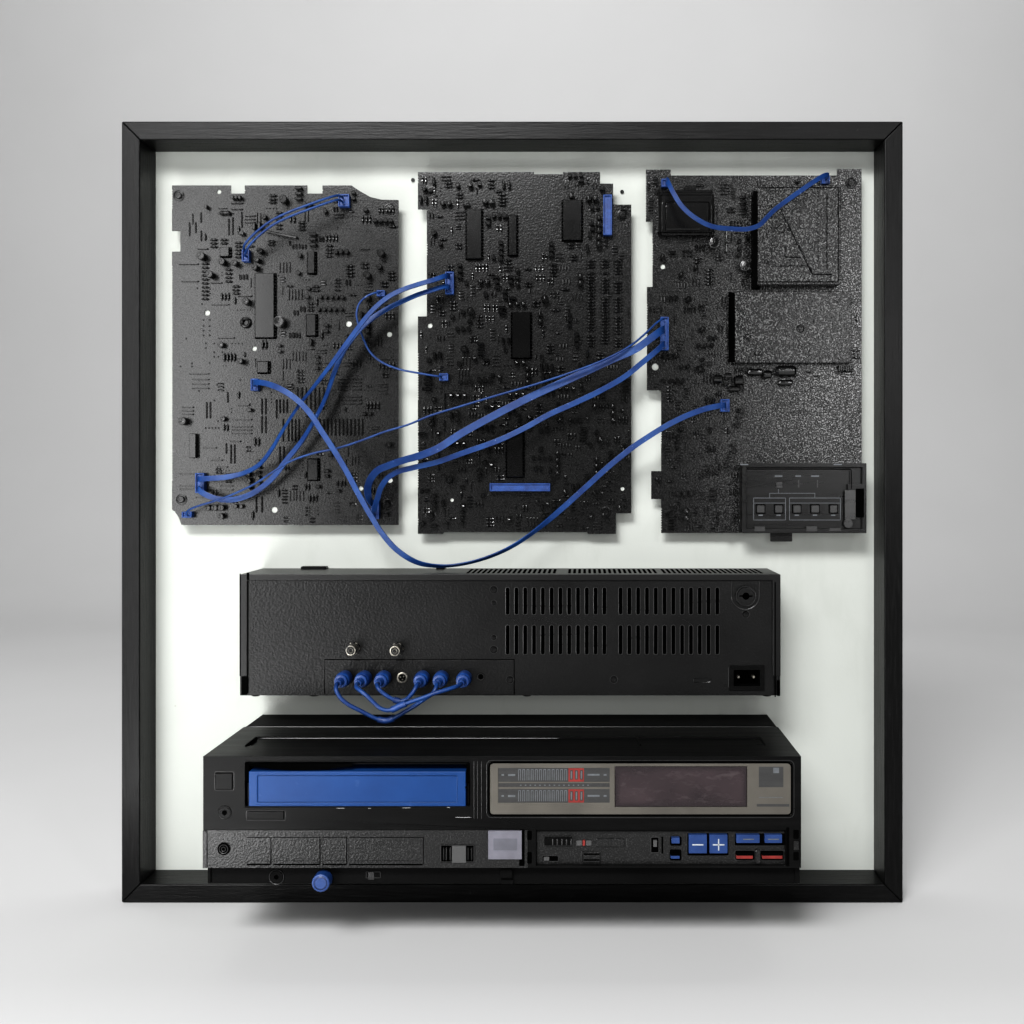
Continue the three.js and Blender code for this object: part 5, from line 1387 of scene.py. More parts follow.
sample_shelf = bpy.data.collections.new("small_parts")
sample("kind_0_resistor", lambda g: resistor(g, 0, 0))
sample("kind_1_jumper", lambda g: jumper(g, -3.6 * MM, 0, 3.6 * MM, 0, 1.1 * MM, 0.36 * MM))
sample("kind_2_solder", lambda g: solder(g, 0, 0, 0.65 * MM))
sample("kind_3_capacitor", lambda g: capacitor(g, 0, 0, 2.3 * MM, 5.5 * MM))
sample("kind_4_transistor", lambda g: transistor(g, 0, 0, 0, 4.6 * MM, 2.0 * MM))
film_box = (-2.9 * MM, 2.9 * MM, -1.2 * MM, 1.2 * MM, board_front, board_front - 5 * MM)
bead_ends = [(x * MM, board_front - 0.9 * MM, 0) for x in (-2.2, 2.2)]
sample("kind_5_film_block", lambda g: g.block(*film_box, 0.5 * MM, 0.5 * MM))
sample("kind_6_bead", lambda g: g.spindle(*bead_ends, tapered(0.3, 0.8, 0.15), 6))
RESISTOR, JUMPER, SOLDER, CAPACITOR, TRANSISTOR, FILM, BEAD = range(7)


# %% Draw the layouts
def inside(outline, x, z):
    crossings = 0
    for (x0, z0), (x1, z1) in zip(outline, [*outline[1:], outline[0]]):
        if (z0 > z) != (z1 > z) and x < x0 + (z - z0) / (z1 - z0) * (x1 - x0):
            crossings += 1
    return crossings % 2 == 1


# For each kind: the step from one to the next in a stack, and half its length and width, in mm.
stack_steps = {RESISTOR: 2.9, JUMPER: 2.7, SOLDER: 2.7, CAPACITOR: 5.6, TRANSISTOR: 4.6, FILM: 4.4,
               BEAD: 2.6}
half_sizes = {RESISTOR: (3.7, 1.1), JUMPER: (3.9, 0.8), SOLDER: (0.8, 0.8), CAPACITOR: (2.4, 2.4),
              TRANSISTOR: (2.0, 2.0), FILM: (3.0, 1.4), BEAD: (2.3, 0.9)}


def set_out(name, weights, quiet, stacks, longest=6, thinning=None):
    """Short stacks of one kind at drawn places, clear of each other and of all that is there."""
    place = on_board(name)
    outline = [place(u, v) for u, v in board_outlines[name]]
    low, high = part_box(name)
    kinds, shares = zip(*weights.items())
    taken = [*covered, *quiet]
    found = []
    for _ in range(stacks):
        kind = random.choices(kinds, shares)[0]
        upright = random.random() < 0.5
        x, z = random.uniform(low.x, high.x), random.uniform(low.z, high.z)
        kept_share = thinning(x, z) if thinning else 1.0
        half_x, half_z = (size * MM for size in half_sizes[kind])
        step_x, step_z = 0.0, -stack_steps[kind] * MM
        if upright:
            half_x, half_z = half_z, half_x
            step_x, step_z = -step_z, 0.0
        count = random.randint(1, longest)
        if random.random() > kept_share:
            continue
        walls = np.array(taken)
        size = random.uniform(0.85, 1.12)
        for i in range(count):
            cx = x + i * step_x + random.uniform(-0.2, 0.2) * MM
            cz = z + i * step_z + random.uniform(-0.2, 0.2) * MM
            hits = (cx + half_x > walls[:, 0]) & (cx - half_x < walls[:, 1])
            hits &= (cz + half_z > walls[:, 2]) & (cz - half_z < walls[:, 3])
            reach_x, reach_z = half_x + MM, half_z + MM
            corners = [(cx + dx * reach_x, cz + dz * reach_z) for dx in (-1, 1) for dz in (-1, 1)]
            if hits.any() or not all(inside(outline, *corner) for corner in corners):
                break
            found.append((cx, cz, kind, math.radians(90) if upright else 0.0, size))
            taken.append((cx - half_x, cx + half_x, cz - half_z, cz + half_z))
    return found


for name in ("tuner_can", "shield_can", "preset_housing"):
    low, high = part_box(name)
    covered.append((low.x - MM, high.x + MM, low.z - MM, high.z + MM))
for name in board_outlines:
    for x, y, r in drilled_holes[name]:
        cover(*seen(x, y, board_front), (r + 2.4) * MM, (r + 2.4) * MM)
quiet_left = [seen_box(*box, board_front) for box in (
    (170, 184, 188, 520), (184, 300, 200, 372), (190, 480, 200, 520), (340, 232, 398, 246),
    (226, 184, 246, 196),
)]
quiet_middle = [seen_box(*box, board_front) for box in ((514, 177, 540, 262), (540, 185, 560, 235),
                                                        (430, 250, 480, 262))]
quiet_right = [seen_box(*box, board_front) for box in ((745, 378, 866, 462), (655, 196, 722, 242),
                                                       (838, 172, 866, 300))]


def left_share(x, z):
    """The left board is nearly bare at its left edge and crowded near its big chip."""
    return 0.12 if x < -0.245 else (0.4 if z < 0.12 else 0.9)


lay_left = set_out("board_left", {RESISTOR: 6, JUMPER: 4, SOLDER: 3, CAPACITOR: 1.4, TRANSISTOR: 2,
                                  FILM: 0.6, BEAD: 2},
                   quiet_left, 900, 5, left_share)
lay_middle = set_out("board_middle", {RESISTOR: 7, JUMPER: 2, SOLDER: 2, CAPACITOR: 3, TRANSISTOR: 3,
                                      FILM: 1.5, BEAD: 3},
                     quiet_middle, 1500, 4)
lay_right = set_out("board_right", {RESISTOR: 6, JUMPER: 4, SOLDER: 3, CAPACITOR: 1.6, TRANSISTOR: 2,
                                    FILM: 1, BEAD: 3},
                    quiet_right, 800, 5)
layouts = {"board_left": lay_left, "board_middle": lay_middle, "board_right": lay_right}
for name, found in layouts.items():
    print(name, "gets", len(found), "small parts")


# %% The node tree that puts parts on points
def new_tree(name, inputs):
    """A node tree that takes and gives geometry, with these further named inputs."""
    tree = bpy.data.node_groups.new(name, "GeometryNodeTree")
    for label, kind in (("Geometry", "Geometry"), *inputs, ("Finish", "Material")):
        tree.interface.new_socket(label, in_out="INPUT", socket_type="NodeSocket" + kind)
    tree.interface.new_socket("Geometry", in_out="OUTPUT", socket_type="NodeSocketGeometry")
    given, stamp = tree.nodes.new("NodeGroupInput"), tree.nodes.new("GeometryNodeInstanceOnPoints")
    tree.links.new(given.outputs["Geometry"], stamp.inputs["Points"])
    return tree, given, stamp


def close_tree(tree, given, stamp):
    """Makes the instances real, gives them their finish, and hands them out."""
    add, link = tree.nodes.new, tree.links.new
    real, finish = add("GeometryNodeRealizeInstances"), add("GeometryNodeSetMaterial")
    link(stamp.outputs["Instances"], real.inputs["Geometry"])
    link(real.outputs["Geometry"], finish.inputs["Geometry"])
    link(given.outputs["Finish"], finish.inputs["Material"])
    link(finish.outputs["Geometry"], add("NodeGroupOutput").inputs["Geometry"])
    return tree


def setting_out_tree():
    inputs = (("Small parts", "Collection"), ("Size", "Float"))
    tree, given, setter = new_tree("set_out_small_parts", inputs)
    add, link = tree.nodes.new, tree.links.new
    shelf = add("GeometryNodeCollectionInfo")
    shelf.inputs["Separate Children"].default_value = True
    shelf.inputs["Reset Children"].default_value = True
    link(given.outputs["Small parts"], shelf.inputs["Collection"])
    read = {}
    for name, kind in (("kind", "INT"), ("turn", "FLOAT"), ("size", "FLOAT")):
        read[name] = add("GeometryNodeInputNamedAttribute")
        read[name].data_type = kind
        read[name].inputs["Name"].default_value = name
    turning = add("ShaderNodeCombineXYZ")
    link(read["turn"].outputs["Attribute"], turning.inputs["Y"])
    sizing = add("ShaderNodeMath")
    sizing.operation = "MULTIPLY"
    link(read["size"].outputs["Attribute"], sizing.inputs[0])
    link(given.outputs["Size"], sizing.inputs[1])
    setter.inputs["Pick Instance"].default_value = True
    link(shelf.outputs["Instances"], setter.inputs["Instance"])
    link(read["kind"].outputs["Attribute"], setter.inputs["Instance Index"])
    link(turning.outputs["Vector"], setter.inputs["Rotation"])
    link(sizing.outputs["Value"], setter.inputs["Scale"])
    return close_tree(tree, given, setter)


def run_tree(name, tree, points, settings, attributes):
    """Runs a node tree on a mesh of loose points and returns the plain mesh that it makes."""
    carrier = bpy.data.meshes.new(name)
    carrier.from_pydata(points, [], [])
    for key, (kind, values) in attributes.items():
        carrier.attributes.new(key, kind, "POINT").data.foreach_set("value", values)
    holder = bpy.data.objects.new(name, carrier)
    scene.collection.objects.link(holder)
    modifier = holder.modifiers.new("set out", "NODES")
    modifier.node_group = tree
    for socket in tree.interface.items_tree:
        if socket.in_out == "INPUT" and socket.name in settings:
            modifier[socket.identifier] = settings[socket.name]
    bpy.context.view_layer.update()
    made = bpy.data.meshes.new_from_object(holder.evaluated_get(bpy.context.evaluated_depsgraph_get()))
    bpy.data.objects.remove(holder)
    return made


setting_out = setting_out_tree()
for name, found in layouts.items():
    _, _, kinds, turns, sizes = zip(*found)
    attributes = {"kind": ("INT", kinds), "turn": ("FLOAT", turns), "size": ("FLOAT", sizes)}
    paint_here = part_paint if name == "board_left" else wet_part_paint
    settings = {"Small parts": sample_shelf, "Size": 1.0, "Finish": paint_here}
    points = [(x, board_front, z) for x, z, _, _, _ in found]
    mesh = run_tree(name + "_set", setting_out, points, settings, attributes)
    finished(name + "_small_parts", mesh, paint_here, "circuit_black", stands_for=[name])
    parts[name].make(name + "_known_parts", paint_here, "circuit_black", stands_for=[name])
    print(name, "small parts have", len(mesh.polygons), "faces")
blue_parts.make("lead_sockets", socket_blue, "blue_plug", stands_for=["board_left"])

# %% [markdown]
# Each board stands off the backboard on four screws. White spacers sit behind its drilled holes,
# so that the holes show white.

# %% Board screws and standoffs
fixings = Gathered()
standoff_shares = {
    "board_left": [(0.031, 0.969), (0.043, 0.075), (0.96, 0.93), (0.95, 0.06)],
    "board_middle": [(0.06, 0.95), (0.959, 0.88), (0.06, 0.05), (0.88, 0.06)],
    "board_right": [(0.06, 0.94), (0.95, 0.96), (0.12, 0.05), (0.95, 0.06)],
}
for name, shares in standoff_shares.items():
    for u, v in shares:
        x, z = on_board(name)(u, v)
        fixings.turned(x, z, [(4.0 * MM, white_face), (4.0 * MM, -6.4 * MM), (3.4 * MM, -7 * MM),
                              (3.4 * MM, board_back)], 16)
        screw_head(fixings, x, z, board_front, 2.9 * MM, 1.9 * MM, random.uniform(0, 90))
        fixings.ring(x, board_front - 0.1 * MM, z, 4.3 * MM, 0.45 * MM, 20, 6)
for column, row in ((413, 180.3), (622, 192)):
    x, z = seen(column, row, white_face)
    fixings.turned(x, z, [(1.6 * MM, white_face), (1.6 * MM, -7.2 * MM), (1.2 * MM, -7.6 * MM)], 12)
fixings.make("board_fixings", part_paint, "circuit_black", stands_for=["board_left"])
spacers = Gathered()
for holes_there in drilled_holes.values():
    for column, row, r in holes_there:
        x, z = seen(column, row, board_front)
        spacers.turned(x, z, [(r * MM, white_face), (r * MM, board_back - 0.3 * MM),
                              (r * 0.9 * MM, board_back - 0.5 * MM)], 14)
spacers.make("white_spacers", white_paint, "board_white", stands_for=["board_left"])

# %% Cans on the right-hand board
eased_copy("tuner_can", can_paint, "can_black", 1.2 * MM, segments=3)
eased_copy("shield_can", can_paint, "can_black", 0.9 * MM, segments=3)
eased_copy("preset_housing", preset_black, "satin_black", 0.5 * MM)
can_marks = Gathered()
lid = -32.8 * MM
shield_lid = -25 * MM


def ridge(into, path, surface, radius):
    """A pressed ridge that follows a path of photograph places on a surface."""
    into.wire([(seen(c, r, surface)[0], surface + radius * 0.4, seen(c, r, surface)[1]) for c, r in path],
              radius, 8)


lid_ridges = [
    ([(778.8, 207), (790, 229), (802, 252), (813.7, 274), (832.4, 273.2)], 0.7),
    ([(774, 215), (774, 265), (808, 265)], 0.35),
    ([(774, 215), (784, 215)], 0.35),
    ([(785, 256.5), (797, 256.5)], 0.4),
    ([(818, 192), (818, 262)], 0.35),
]
lid_shadows = [
    ([(782, 213), (796, 241), (812.4, 274.6), (832.4, 274.6)], 0.44),
    ([(772, 205), (772, 266), (808.5, 266), (811.5, 272)], 0.34),
    ([(785, 246), (785, 257.4), (801, 257.4)], 0.38),
    ([(827, 194), (827, 270)], 0.38),
    ([(776, 229), (781, 224), (786, 225), (784, 232), (777, 234)], 0.34),
]
for path, radius in lid_ridges:
    ridge(can_marks, path, lid, radius * MM)
screw_head(can_marks, *seen(800.9, 327.4, shield_lid), shield_lid, 2.0 * MM, 0.9 * MM)
black_marks, grey_marks, print_and_highlight_marks, small_keys = Gathered(), Gathered(), Gathered(), Gathered()
for path, radius in lid_shadows:
    ridge(black_marks, path, lid - 0.2 * MM, radius * MM)
flat_mark(black_marks, 753, 191, 757.2, 288, lid, 0.1 * MM, 0.02 * MM)
flat_mark(black_marks, 730.6, 292.4, 735, 362.4, shield_lid, 0.1 * MM, 0.02 * MM)
for column, row in ((795.5, 243), (789.5, 229.5), (766.2, 261.8)):
    x, z = seen(column, row, lid)
    black_marks.ring(x, lid - 0.1 * MM, z, 1.3 * MM, 0.35 * MM, 14)
for column, row, reach in ((800.3, 328.7, 3.0), (747.3, 336.4, 1.9), (757, 353.6, 1.9)):
    x, z = seen(column, row, shield_lid)
    black_marks.ring(x, shield_lid - 0.1 * MM, z, reach * MM, 0.4 * MM, 18)
frame_line(black_marks, 665.5, 202, 709, 231.5, board_front - 6.6 * MM, 0.35 * MM, 0.8 * MM)
frame_line(black_marks, 661, 195, 713.5, 236, board_front - 6.4 * MM, 0.35 * MM, 0.8 * MM)
flat_mark(black_marks, 751.2, 195, 759.6, 290, board_front, 0.1 * MM, 0.02 * MM)
flat_mark(black_marks, 728.4, 292, 736, 362, board_front, 0.1 * MM, 0.02 * MM)
for column, row in ((749, 336.8), (757.4, 352.8), (838, 301)):
    x, z = seen(column, row, shield_lid)
    can_marks.turned(x, z, [(1.4 * MM, -24.9 * MM), (1.3 * MM, -25.5 * MM), (0.6 * MM, -25.8 * MM)], 12)
can_marks.make("can_ridges", can_paint, "can_black", stands_for=["tuner_can"])
chip_shadows.make("chip_outlines", shade_black, "circuit_black", stands_for=["board_left"])

# %% Channel preset panel: printed lines, small keys and the switch at its side
preset_floor = -30 * MM
preset_face = -33 * MM
# Two short light bars on the housing's top edge are painted highlights; the other bars are print.
bars(print_and_highlight_marks, [(740, 463.9, 748.3, 465.1), (833.7, 463.9, 842, 465.1)], preset_face)
groove = [(743.7, 526.3), (743.7, 470.8), (745, 469.1), (850.3, 469.1)]
ridge(black_marks, groove, preset_floor, 0.5 * MM)
ridge(black_marks, [(842, 469.1), (850.3, 469.1), (851.5, 470.8), (851.5, 489)], preset_face, 0.4 * MM)
# A light line beside the dark groove is a painted highlight on its edge.
ridge(grey_marks, [(c + 1.3, r + 1.3) for c, r in groove], preset_floor, 0.22 * MM)


def thin_box(left_column, top, right_column, low):
    """Four printed lines round a rectangle."""
    return [(left_column, top, right_column, top + 0.6), (left_column, low - 0.6, right_column, low),
            (left_column, top, left_column + 0.6, low), (right_column - 0.6, top, right_column, low)]


bars(print_and_highlight_marks, [*thin_box(753.3, 497.7, 785.8, 520.3), *thin_box(789.2, 497.7, 840.7, 520.3),
                   (753.3, 502.8, 785.8, 503.3), (789.2, 502.8, 840.7, 503.3), (769.4, 493.0, 815, 493.5),
                   (769.4, 493.2, 769.9, 497.5), (814.6, 493.2, 815.1, 497.5), (778.2, 489, 778.7, 493.2),
                   (774.8, 475.4, 782.4, 476.8), (795.4, 475.4, 801, 476.8), (811, 475.4, 819, 476.8),
                   *[(c, 514.6, c + 4.4, 515.8) for c in (758.4, 776.4, 794.6, 812.8, 831)]], preset_floor)
for left_column, right_column in ((756.6, 764.5), (774.8, 782.3), (793, 800.5), (811, 818.8), (829.6, 837)):
    flat_mark(black_marks, left_column - 0.9, 504.4, right_column + 0.9, 513.6, preset_floor, 0.1 * MM,
              0.02 * MM)
    flat_mark(small_keys, left_column, 505.2, right_column, 512.7, preset_floor, 1.6 * MM, 0.3 * MM,
              0.5 * MM)
flat_mark(small_keys, 775.7, 482, 782.3, 488.2, preset_floor, 1.4 * MM, 0.3 * MM, 0.5 * MM)
bars(grey_marks, [(798, 480, 799.3, 487.4), (817, 480, 818, 487.4)], preset_floor)
flat_mark(small_keys, 844.6, 489.9, 855.7, 519.7, preset_face, 0.6 * MM, 0.3 * MM, 0.6 * MM)
flat_mark(black_marks, 855.9, 488.6, 864.0, 517.2, preset_face, 0.2 * MM, 0.05 * MM)
small_keys.raised(circle(*seen(848.2, 523.4, preset_face), 3.8 * MM, 20), preset_face, -33.9 * MM, 0.4 * MM)
for box in ((754.5, 526.3, 765, 531.3), (806.3, 526.3, 817, 531.3), (829.6, 528, 841, 531)):
    flat_mark(small_keys, *box, preset_face, 0.2 * MM, 0.06 * MM)
black_marks.make("right_board_shadows", shade_black, "satin_black", stands_for=["preset_housing"])
grey_marks.make("preset_bright_edges", highlight_grey, "satin_black", stands_for=["preset_housing"])
print_and_highlight_marks.make("preset_printed_lines", mark_dim, "satin_black", stands_for=["preset_housing"])
small_keys.make("preset_small_keys", highlight_grey, "satin_black", stands_for=["preset_housing"])
print("cans dressed")
# %% [markdown]
# The rear unit is the back of the recorder, cut off and mounted so that it faces forward: a
# folded steel cover round a panel with slots for air. Slots like these are pressed, so each has
# a raised lip that catches the light. They repeat forty-eight times at one pitch, which is work
# for Geometry Nodes: one lip, and a point for each slot.

# %% Casing of the rear unit
rear_face = -62.2 * MM
cover_lip = -64 * MM
eased_copy("rear_cover", case_paint, "case_black", 0.7 * MM, segments=3)
eased_copy("rear_panel", rear_black, "case_black", 0.25 * MM)
eased_copy("jack_plate", rear_black, "case_black", 0.3 * MM)
# A near-black sheet behind the panel, painted shade inside the unit seen through the vents.
vent_shade_sheet = Gathered()
vent_shade_sheet.block(-207 * MM, 207 * MM, -143 * MM, -54 * MM, -50 * MM, -52 * MM)
vent_shade_sheet.make("inner_lining", shade_black, "case_black", stands_for=["rear_panel"])

vent_lefts = (-3.44 * MM, 86.43 * MM)
vent_rows = ((-59.22 * MM, 21.8 * MM), (-89.23 * MM, 23.5 * MM))
vent_pitch, vent_wide, vent_count = 7.0 * MM, 3.0 * MM, 12


def vent_lip(height):
    """The raised lip of one slot, centred on its middle."""
    lip = Gathered()
    half = vent_wide / 2 + 0.15 * MM
    path = rounded(-half, half, -height / 2, height / 2, half * 0.9, 3)
    ring = [(x, rear_face, z) for x, z in path]
    lip.wire([*ring, ring[0]], 0.3 * MM, 6)
    return lip


def stamping_tree():
    """Puts one shape on every point."""
    tree, given, stamp = new_tree("stamp_on_points", (("Shape", "Object"),))
    shape = tree.nodes.new("GeometryNodeObjectInfo")
    tree.links.new(given.outputs["Shape"], shape.inputs["Object"])
    tree.links.new(shape.outputs["Geometry"], stamp.inputs["Instance"])
    return close_tree(tree, given, stamp)


stamping = stamping_tree()


def stamped(name, gathered, points, material, slot, stands_for=(), body="display"):
    """One shape repeated on points, as a single piece."""
    mesh = bpy.data.meshes.new(name + "_one")
    mesh.from_pydata(gathered.points, [], gathered.faces)
    one = bpy.data.objects.new(name + "_one", mesh)
    made = run_tree(name + "_points", stamping, points, {"Shape": one, "Finish": material}, {})
    bpy.data.objects.remove(one)
    return finished(name, made, material, slot, body, stands_for)


# The lips are in the lighter grey: a painted highlight along each raised lip.
for row, (top, height) in enumerate(vent_rows):
    points = [
        (left_edge + i * vent_pitch + vent_wide / 2, 0, top - height / 2)
        for left_edge in vent_lefts
        for i in range(vent_count)
    ]
    stamped(f"vent_lips_{row + 1}", vent_lip(height), points, highlight_grey, "case_black", ["rear_panel"])

# The cover's top has narrower slots that run from front to back. They are thin dark strips on the cover,
# painted shade for the openings.
top_slot = Gathered()
slot_ring = [(x, y, -48.84 * MM) for x, y in rounded(-1.1 * MM, 1.1 * MM, -54 * MM, -14 * MM, 1.0 * MM, 3)]
top_slot.loft([slot_ring, [(x, y, -48.72 * MM) for x, y, _ in slot_ring]])
slot_groups = ((-35, 36), (47, 118), (124, 203))
slot_pitch = 4.1
slot_places = [(x * MM, 0, 0) for group in slot_groups for x in np.arange(*group, slot_pitch)]
stamped("cover_slots", top_slot, slot_places, shade_black, "case_black", ["rear_cover"])
print("slots:", len(vent_rows) * 24, "on the panel and", len(slot_places), "on the cover")

# %% [markdown]
# What stands on the panel: two threaded aerial sockets in bright plate, a row of jacks, the
# round voltage switch in its pressed outline, the mains inlet and the screws. The aerial
# sockets are lathe shapes, with fine grooves for the thread and a hexagon nut at the foot.

# %% Fittings of the rear unit
bright = Gathered()
# Painted shade: dark discs and lines in the sockets' holes, round the jack plate and in the gaps at the
# cover's lip.
dark = Gathered()
fittings = Gathered()
for x, z in ((-124.27 * MM, -107.66 * MM), (-89.66 * MM, -108.04 * MM)):
    bright.raised(circle(x, z, 5.3 * MM, 6), rear_face, rear_face - 2.6 * MM, 0.5 * MM)
    thread = [(3.4 * MM, rear_face - 2.2 * MM), (3.9 * MM, rear_face - 2.8 * MM)]
    for i in range(9):
        y = rear_face - (3.5 + i * 0.95) * MM
        thread += [(3.9 * MM, y), (3.5 * MM, y - 0.4 * MM), (3.5 * MM, y - 0.5 * MM),
                   (3.9 * MM, y - 0.9 * MM)]
    tip = rear_face - 12.1 * MM
    thread += [(3.5 * MM, tip), (3.1 * MM, tip), (2.9 * MM, tip + 0.9 * MM), (1.9 * MM, tip + 0.9 * MM)]
    thread += [(1.8 * MM, tip + 0.3 * MM), (1.1 * MM, tip + 0.3 * MM), (1.0 * MM, tip + 1.2 * MM)]
    bright.turned(x, z, thread, 24)
    bright.ring(x, tip + 0.1 * MM, z, 1.7 * MM, 0.34 * MM, 18)
    dark.turned(x, z, [(2.85 * MM, tip + 0.6 * MM), (2.85 * MM, tip + 0.5 * MM)], 20)
    dark.turned(x, z, [(0.9 * MM, tip + 1.2 * MM), (0.9 * MM, tip + 0.25 * MM)], 12)
jack_x, jack_z, plate_face = -85.6 * MM, -130.8 * MM, -63.2 * MM
bright.turned(jack_x, jack_z, [(4.3 * MM, plate_face), (4.3 * MM, plate_face - 1.2 * MM),
                               (3.9 * MM, plate_face - 1.5 * MM),
                               (3.1 * MM, plate_face - 1.5 * MM), (2.9 * MM, plate_face - 0.6 * MM)], 24)
dark.turned(jack_x, jack_z, [(2.95 * MM, plate_face - 0.7 * MM), (2.95 * MM, plate_face - 0.8 * MM)], 20)
for angle in (40, 160, 280):
    bright.turned(jack_x + 1.5 * MM * math.cos(math.radians(angle)),
                  jack_z + 1.5 * MM * math.sin(math.radians(angle)),
                  [(0.55 * MM, plate_face - 0.6 * MM), (0.5 * MM, plate_face - 1.3 * MM)], 8)
fittings.turned(-23.2 * MM, -130.1 * MM, [(3.2 * MM, plate_face), (3.1 * MM, plate_face - 0.7 * MM),
                                          (2.2 * MM, plate_face - 0.8 * MM),
                                          (2.0 * MM, plate_face - 0.3 * MM)], 18)
dark.turned(-23.2 * MM, -130.1 * MM, [(1.9 * MM, plate_face - 0.3 * MM),
                                      (1.9 * MM, plate_face - 0.45 * MM)], 14)
screw_head(fittings, 0, -132.6 * MM, plate_face, 2.5 * MM, 1.2 * MM, 30)
for z, radius in ((-61.1, 2.5), (-71.5, 1.7), (-99.2, 1.8), (-108.8, 2.5)):
    screw_head(fittings, -13 * MM, z * MM, rear_face, radius * MM, 1.1 * MM, random.uniform(0, 90))
screw_head(fittings, 82.6 * MM, -132.6 * MM, rear_face, 2.4 * MM, 1.1 * MM, 50)
screw_head(fittings, 187.4 * MM, -80.6 * MM, rear_face, 2.4 * MM, 1.2 * MM, 10)
fittings.wire([(x * MM, rear_face, z * MM) for x, z in
               ((146, -132), (153, -131.4), (160, -131.8), (159, -134.6), (152, -135.2), (146, -134.6),
                (146, -132))],
              0.35 * MM, 6)
knob_x, knob_z = 187.27 * MM, -65.88 * MM
fittings.turned(knob_x, knob_z, [(8.1 * MM, rear_face), (8.1 * MM, rear_face - 2.2 * MM),
                                 (7.6 * MM, rear_face - 3.0 * MM),
                                 (6.6 * MM, rear_face - 3.1 * MM), (6.2 * MM, rear_face - 2.2 * MM),
                                 (3.1 * MM, rear_face - 2.2 * MM), (2.8 * MM, rear_face - 3.0 * MM)], 28)
fittings.block(knob_x - 5.6 * MM, knob_x + 5.6 * MM, knob_z - 0.9 * MM, knob_z + 0.9 * MM, rear_face,
               rear_face - 3.0 * MM, 0.3 * MM, 0.4 * MM)
pressed_reach, pressed_top = 11 * MM, -54 * MM
outline = [(knob_x - pressed_reach, rear_face, pressed_top)]
for i in range(15):
    angle = math.radians(180 + 180 * i / 14)
    outline.append((knob_x + pressed_reach * math.cos(angle), rear_face,
                    knob_z + pressed_reach * math.sin(angle)))
outline.append((knob_x + pressed_reach, rear_face, pressed_top))
fittings.wire(outline, 0.6 * MM, 6)
fittings.make("rear_fittings", part_paint, "case_black", stands_for=["rear_panel"])
# Thin light rings and lines round the screws, the switch, the jack plate and the cover's lip: painted
# highlights.
rims = Gathered()
rounds = [(187.27, -65.88, 7.8, 3.1), (187.27, -65.88, 3.2, 2.3), (187.4, -80.6, 3.1, 0.3),
          (82.6, -132.6, 3.1, 0.3), (0, -132.6, 3.2, 1.3),
          (-23.2, -130.1, 2.6, 1.7), (-13, -61.1, 3.2, 0.3), (-13, -71.5, 2.2, 0.3),
          (-13, -99.2, 2.3, 0.3), (-13, -108.8, 3.2, 0.3)]
for x, z, radius, height in rounds:
    rims.ring(x * MM, rear_face - height * MM, z * MM, radius * MM, 0.22 * MM)
rims.wire([(x, y - 0.5 * MM, z) for x, y, z in outline], 0.28 * MM, 5)
frame_line(rims, 728.6, 666.8, 763.0, 688.2, rear_face, 0.4 * MM, 1.5 * MM)
# Dark strips in the gaps at the cover's lip, painted shade.
for box in ((241.4, 676.5, 247.2, 695), (777.2, 680.5, 780, 696), (774.6, 582, 775.8, 697),
            (239.6, 573.5, 240.8, 676), (246.6, 572.5, 249.2, 580)):
    flat_mark(dark, *box, cover_lip, 0.1 * MM, 0.04 * MM)
for column, top, low in ((777.6, 579, 680), (779.6, 577, 679), (243.2, 580, 676)):
    ends = seen(column, top, rear_face), seen(column, low, rear_face)
    rims.wire([(px, rear_face - 0.1 * MM, pz) for px, pz in ends], 0.24 * MM, 5)
rims.make("rear_worn_rims", highlight_grey, "case_black", stands_for=["rear_panel"])
# A dark line round the jack plate, painted shade in the gap at its edge.
plate_low, plate_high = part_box("jack_plate")
groove_x = (plate_low[0] - 0.2 * MM, plate_high[0] + 0.2 * MM)
groove_y = rear_face + 0.1 * MM
groove_z = (plate_low[2], plate_high[2] + 0.2 * MM)
dark.wire([(groove_x[0], groove_y, groove_z[0]), (groove_x[0], groove_y, groove_z[1]),
           (groove_x[1], groove_y, groove_z[1]), (groove_x[1], groove_y, groove_z[0])], 0.6 * MM, 6)
bright.make("bright_sockets", steel, "case_black", stands_for=["rear_panel"])
dark.make("socket_holes", shade_black, "case_black", stands_for=["rear_panel"])

eased_copy("mains_inlet", key_black, "satin_black", 0.3 * MM)
inlet_pins = Gathered()
for side in (-1, 1):
    inlet_pins.turned((188.34 + 6 * side) * MM, -131.26 * MM,
                      [(1.3 * MM, -50.3 * MM), (1.3 * MM, -58.6 * MM), (0.9 * MM, -59.3 * MM)], 14)
inlet_pins.make("inlet_pins", steel, "satin_black", stands_for=["mains_inlet"])

rear_trim = Gathered()
for x in (-205.5, -158.5, 12.8, 206):
    rear_trim.spindle((x * MM, -52 * MM, -144.8 * MM), (x * MM, -52 * MM, -147.8 * MM),
                      [(0, 4.2 * MM), (0.55, 4.2 * MM), (0.85, 3.6 * MM), (1, 2.4 * MM)], 16)
for left_end, right_end in ((-179.5, -158.2), (-65.6, -58.8)):
    rear_trim.block(left_end * MM, right_end * MM, -49.2 * MM, -46.6 * MM, -8 * MM, -15 * MM, 0.5 * MM,
                    0.6 * MM)
rear_trim.make("feet_and_clips", key_black, "case_black", stands_for=["rear_cover"])


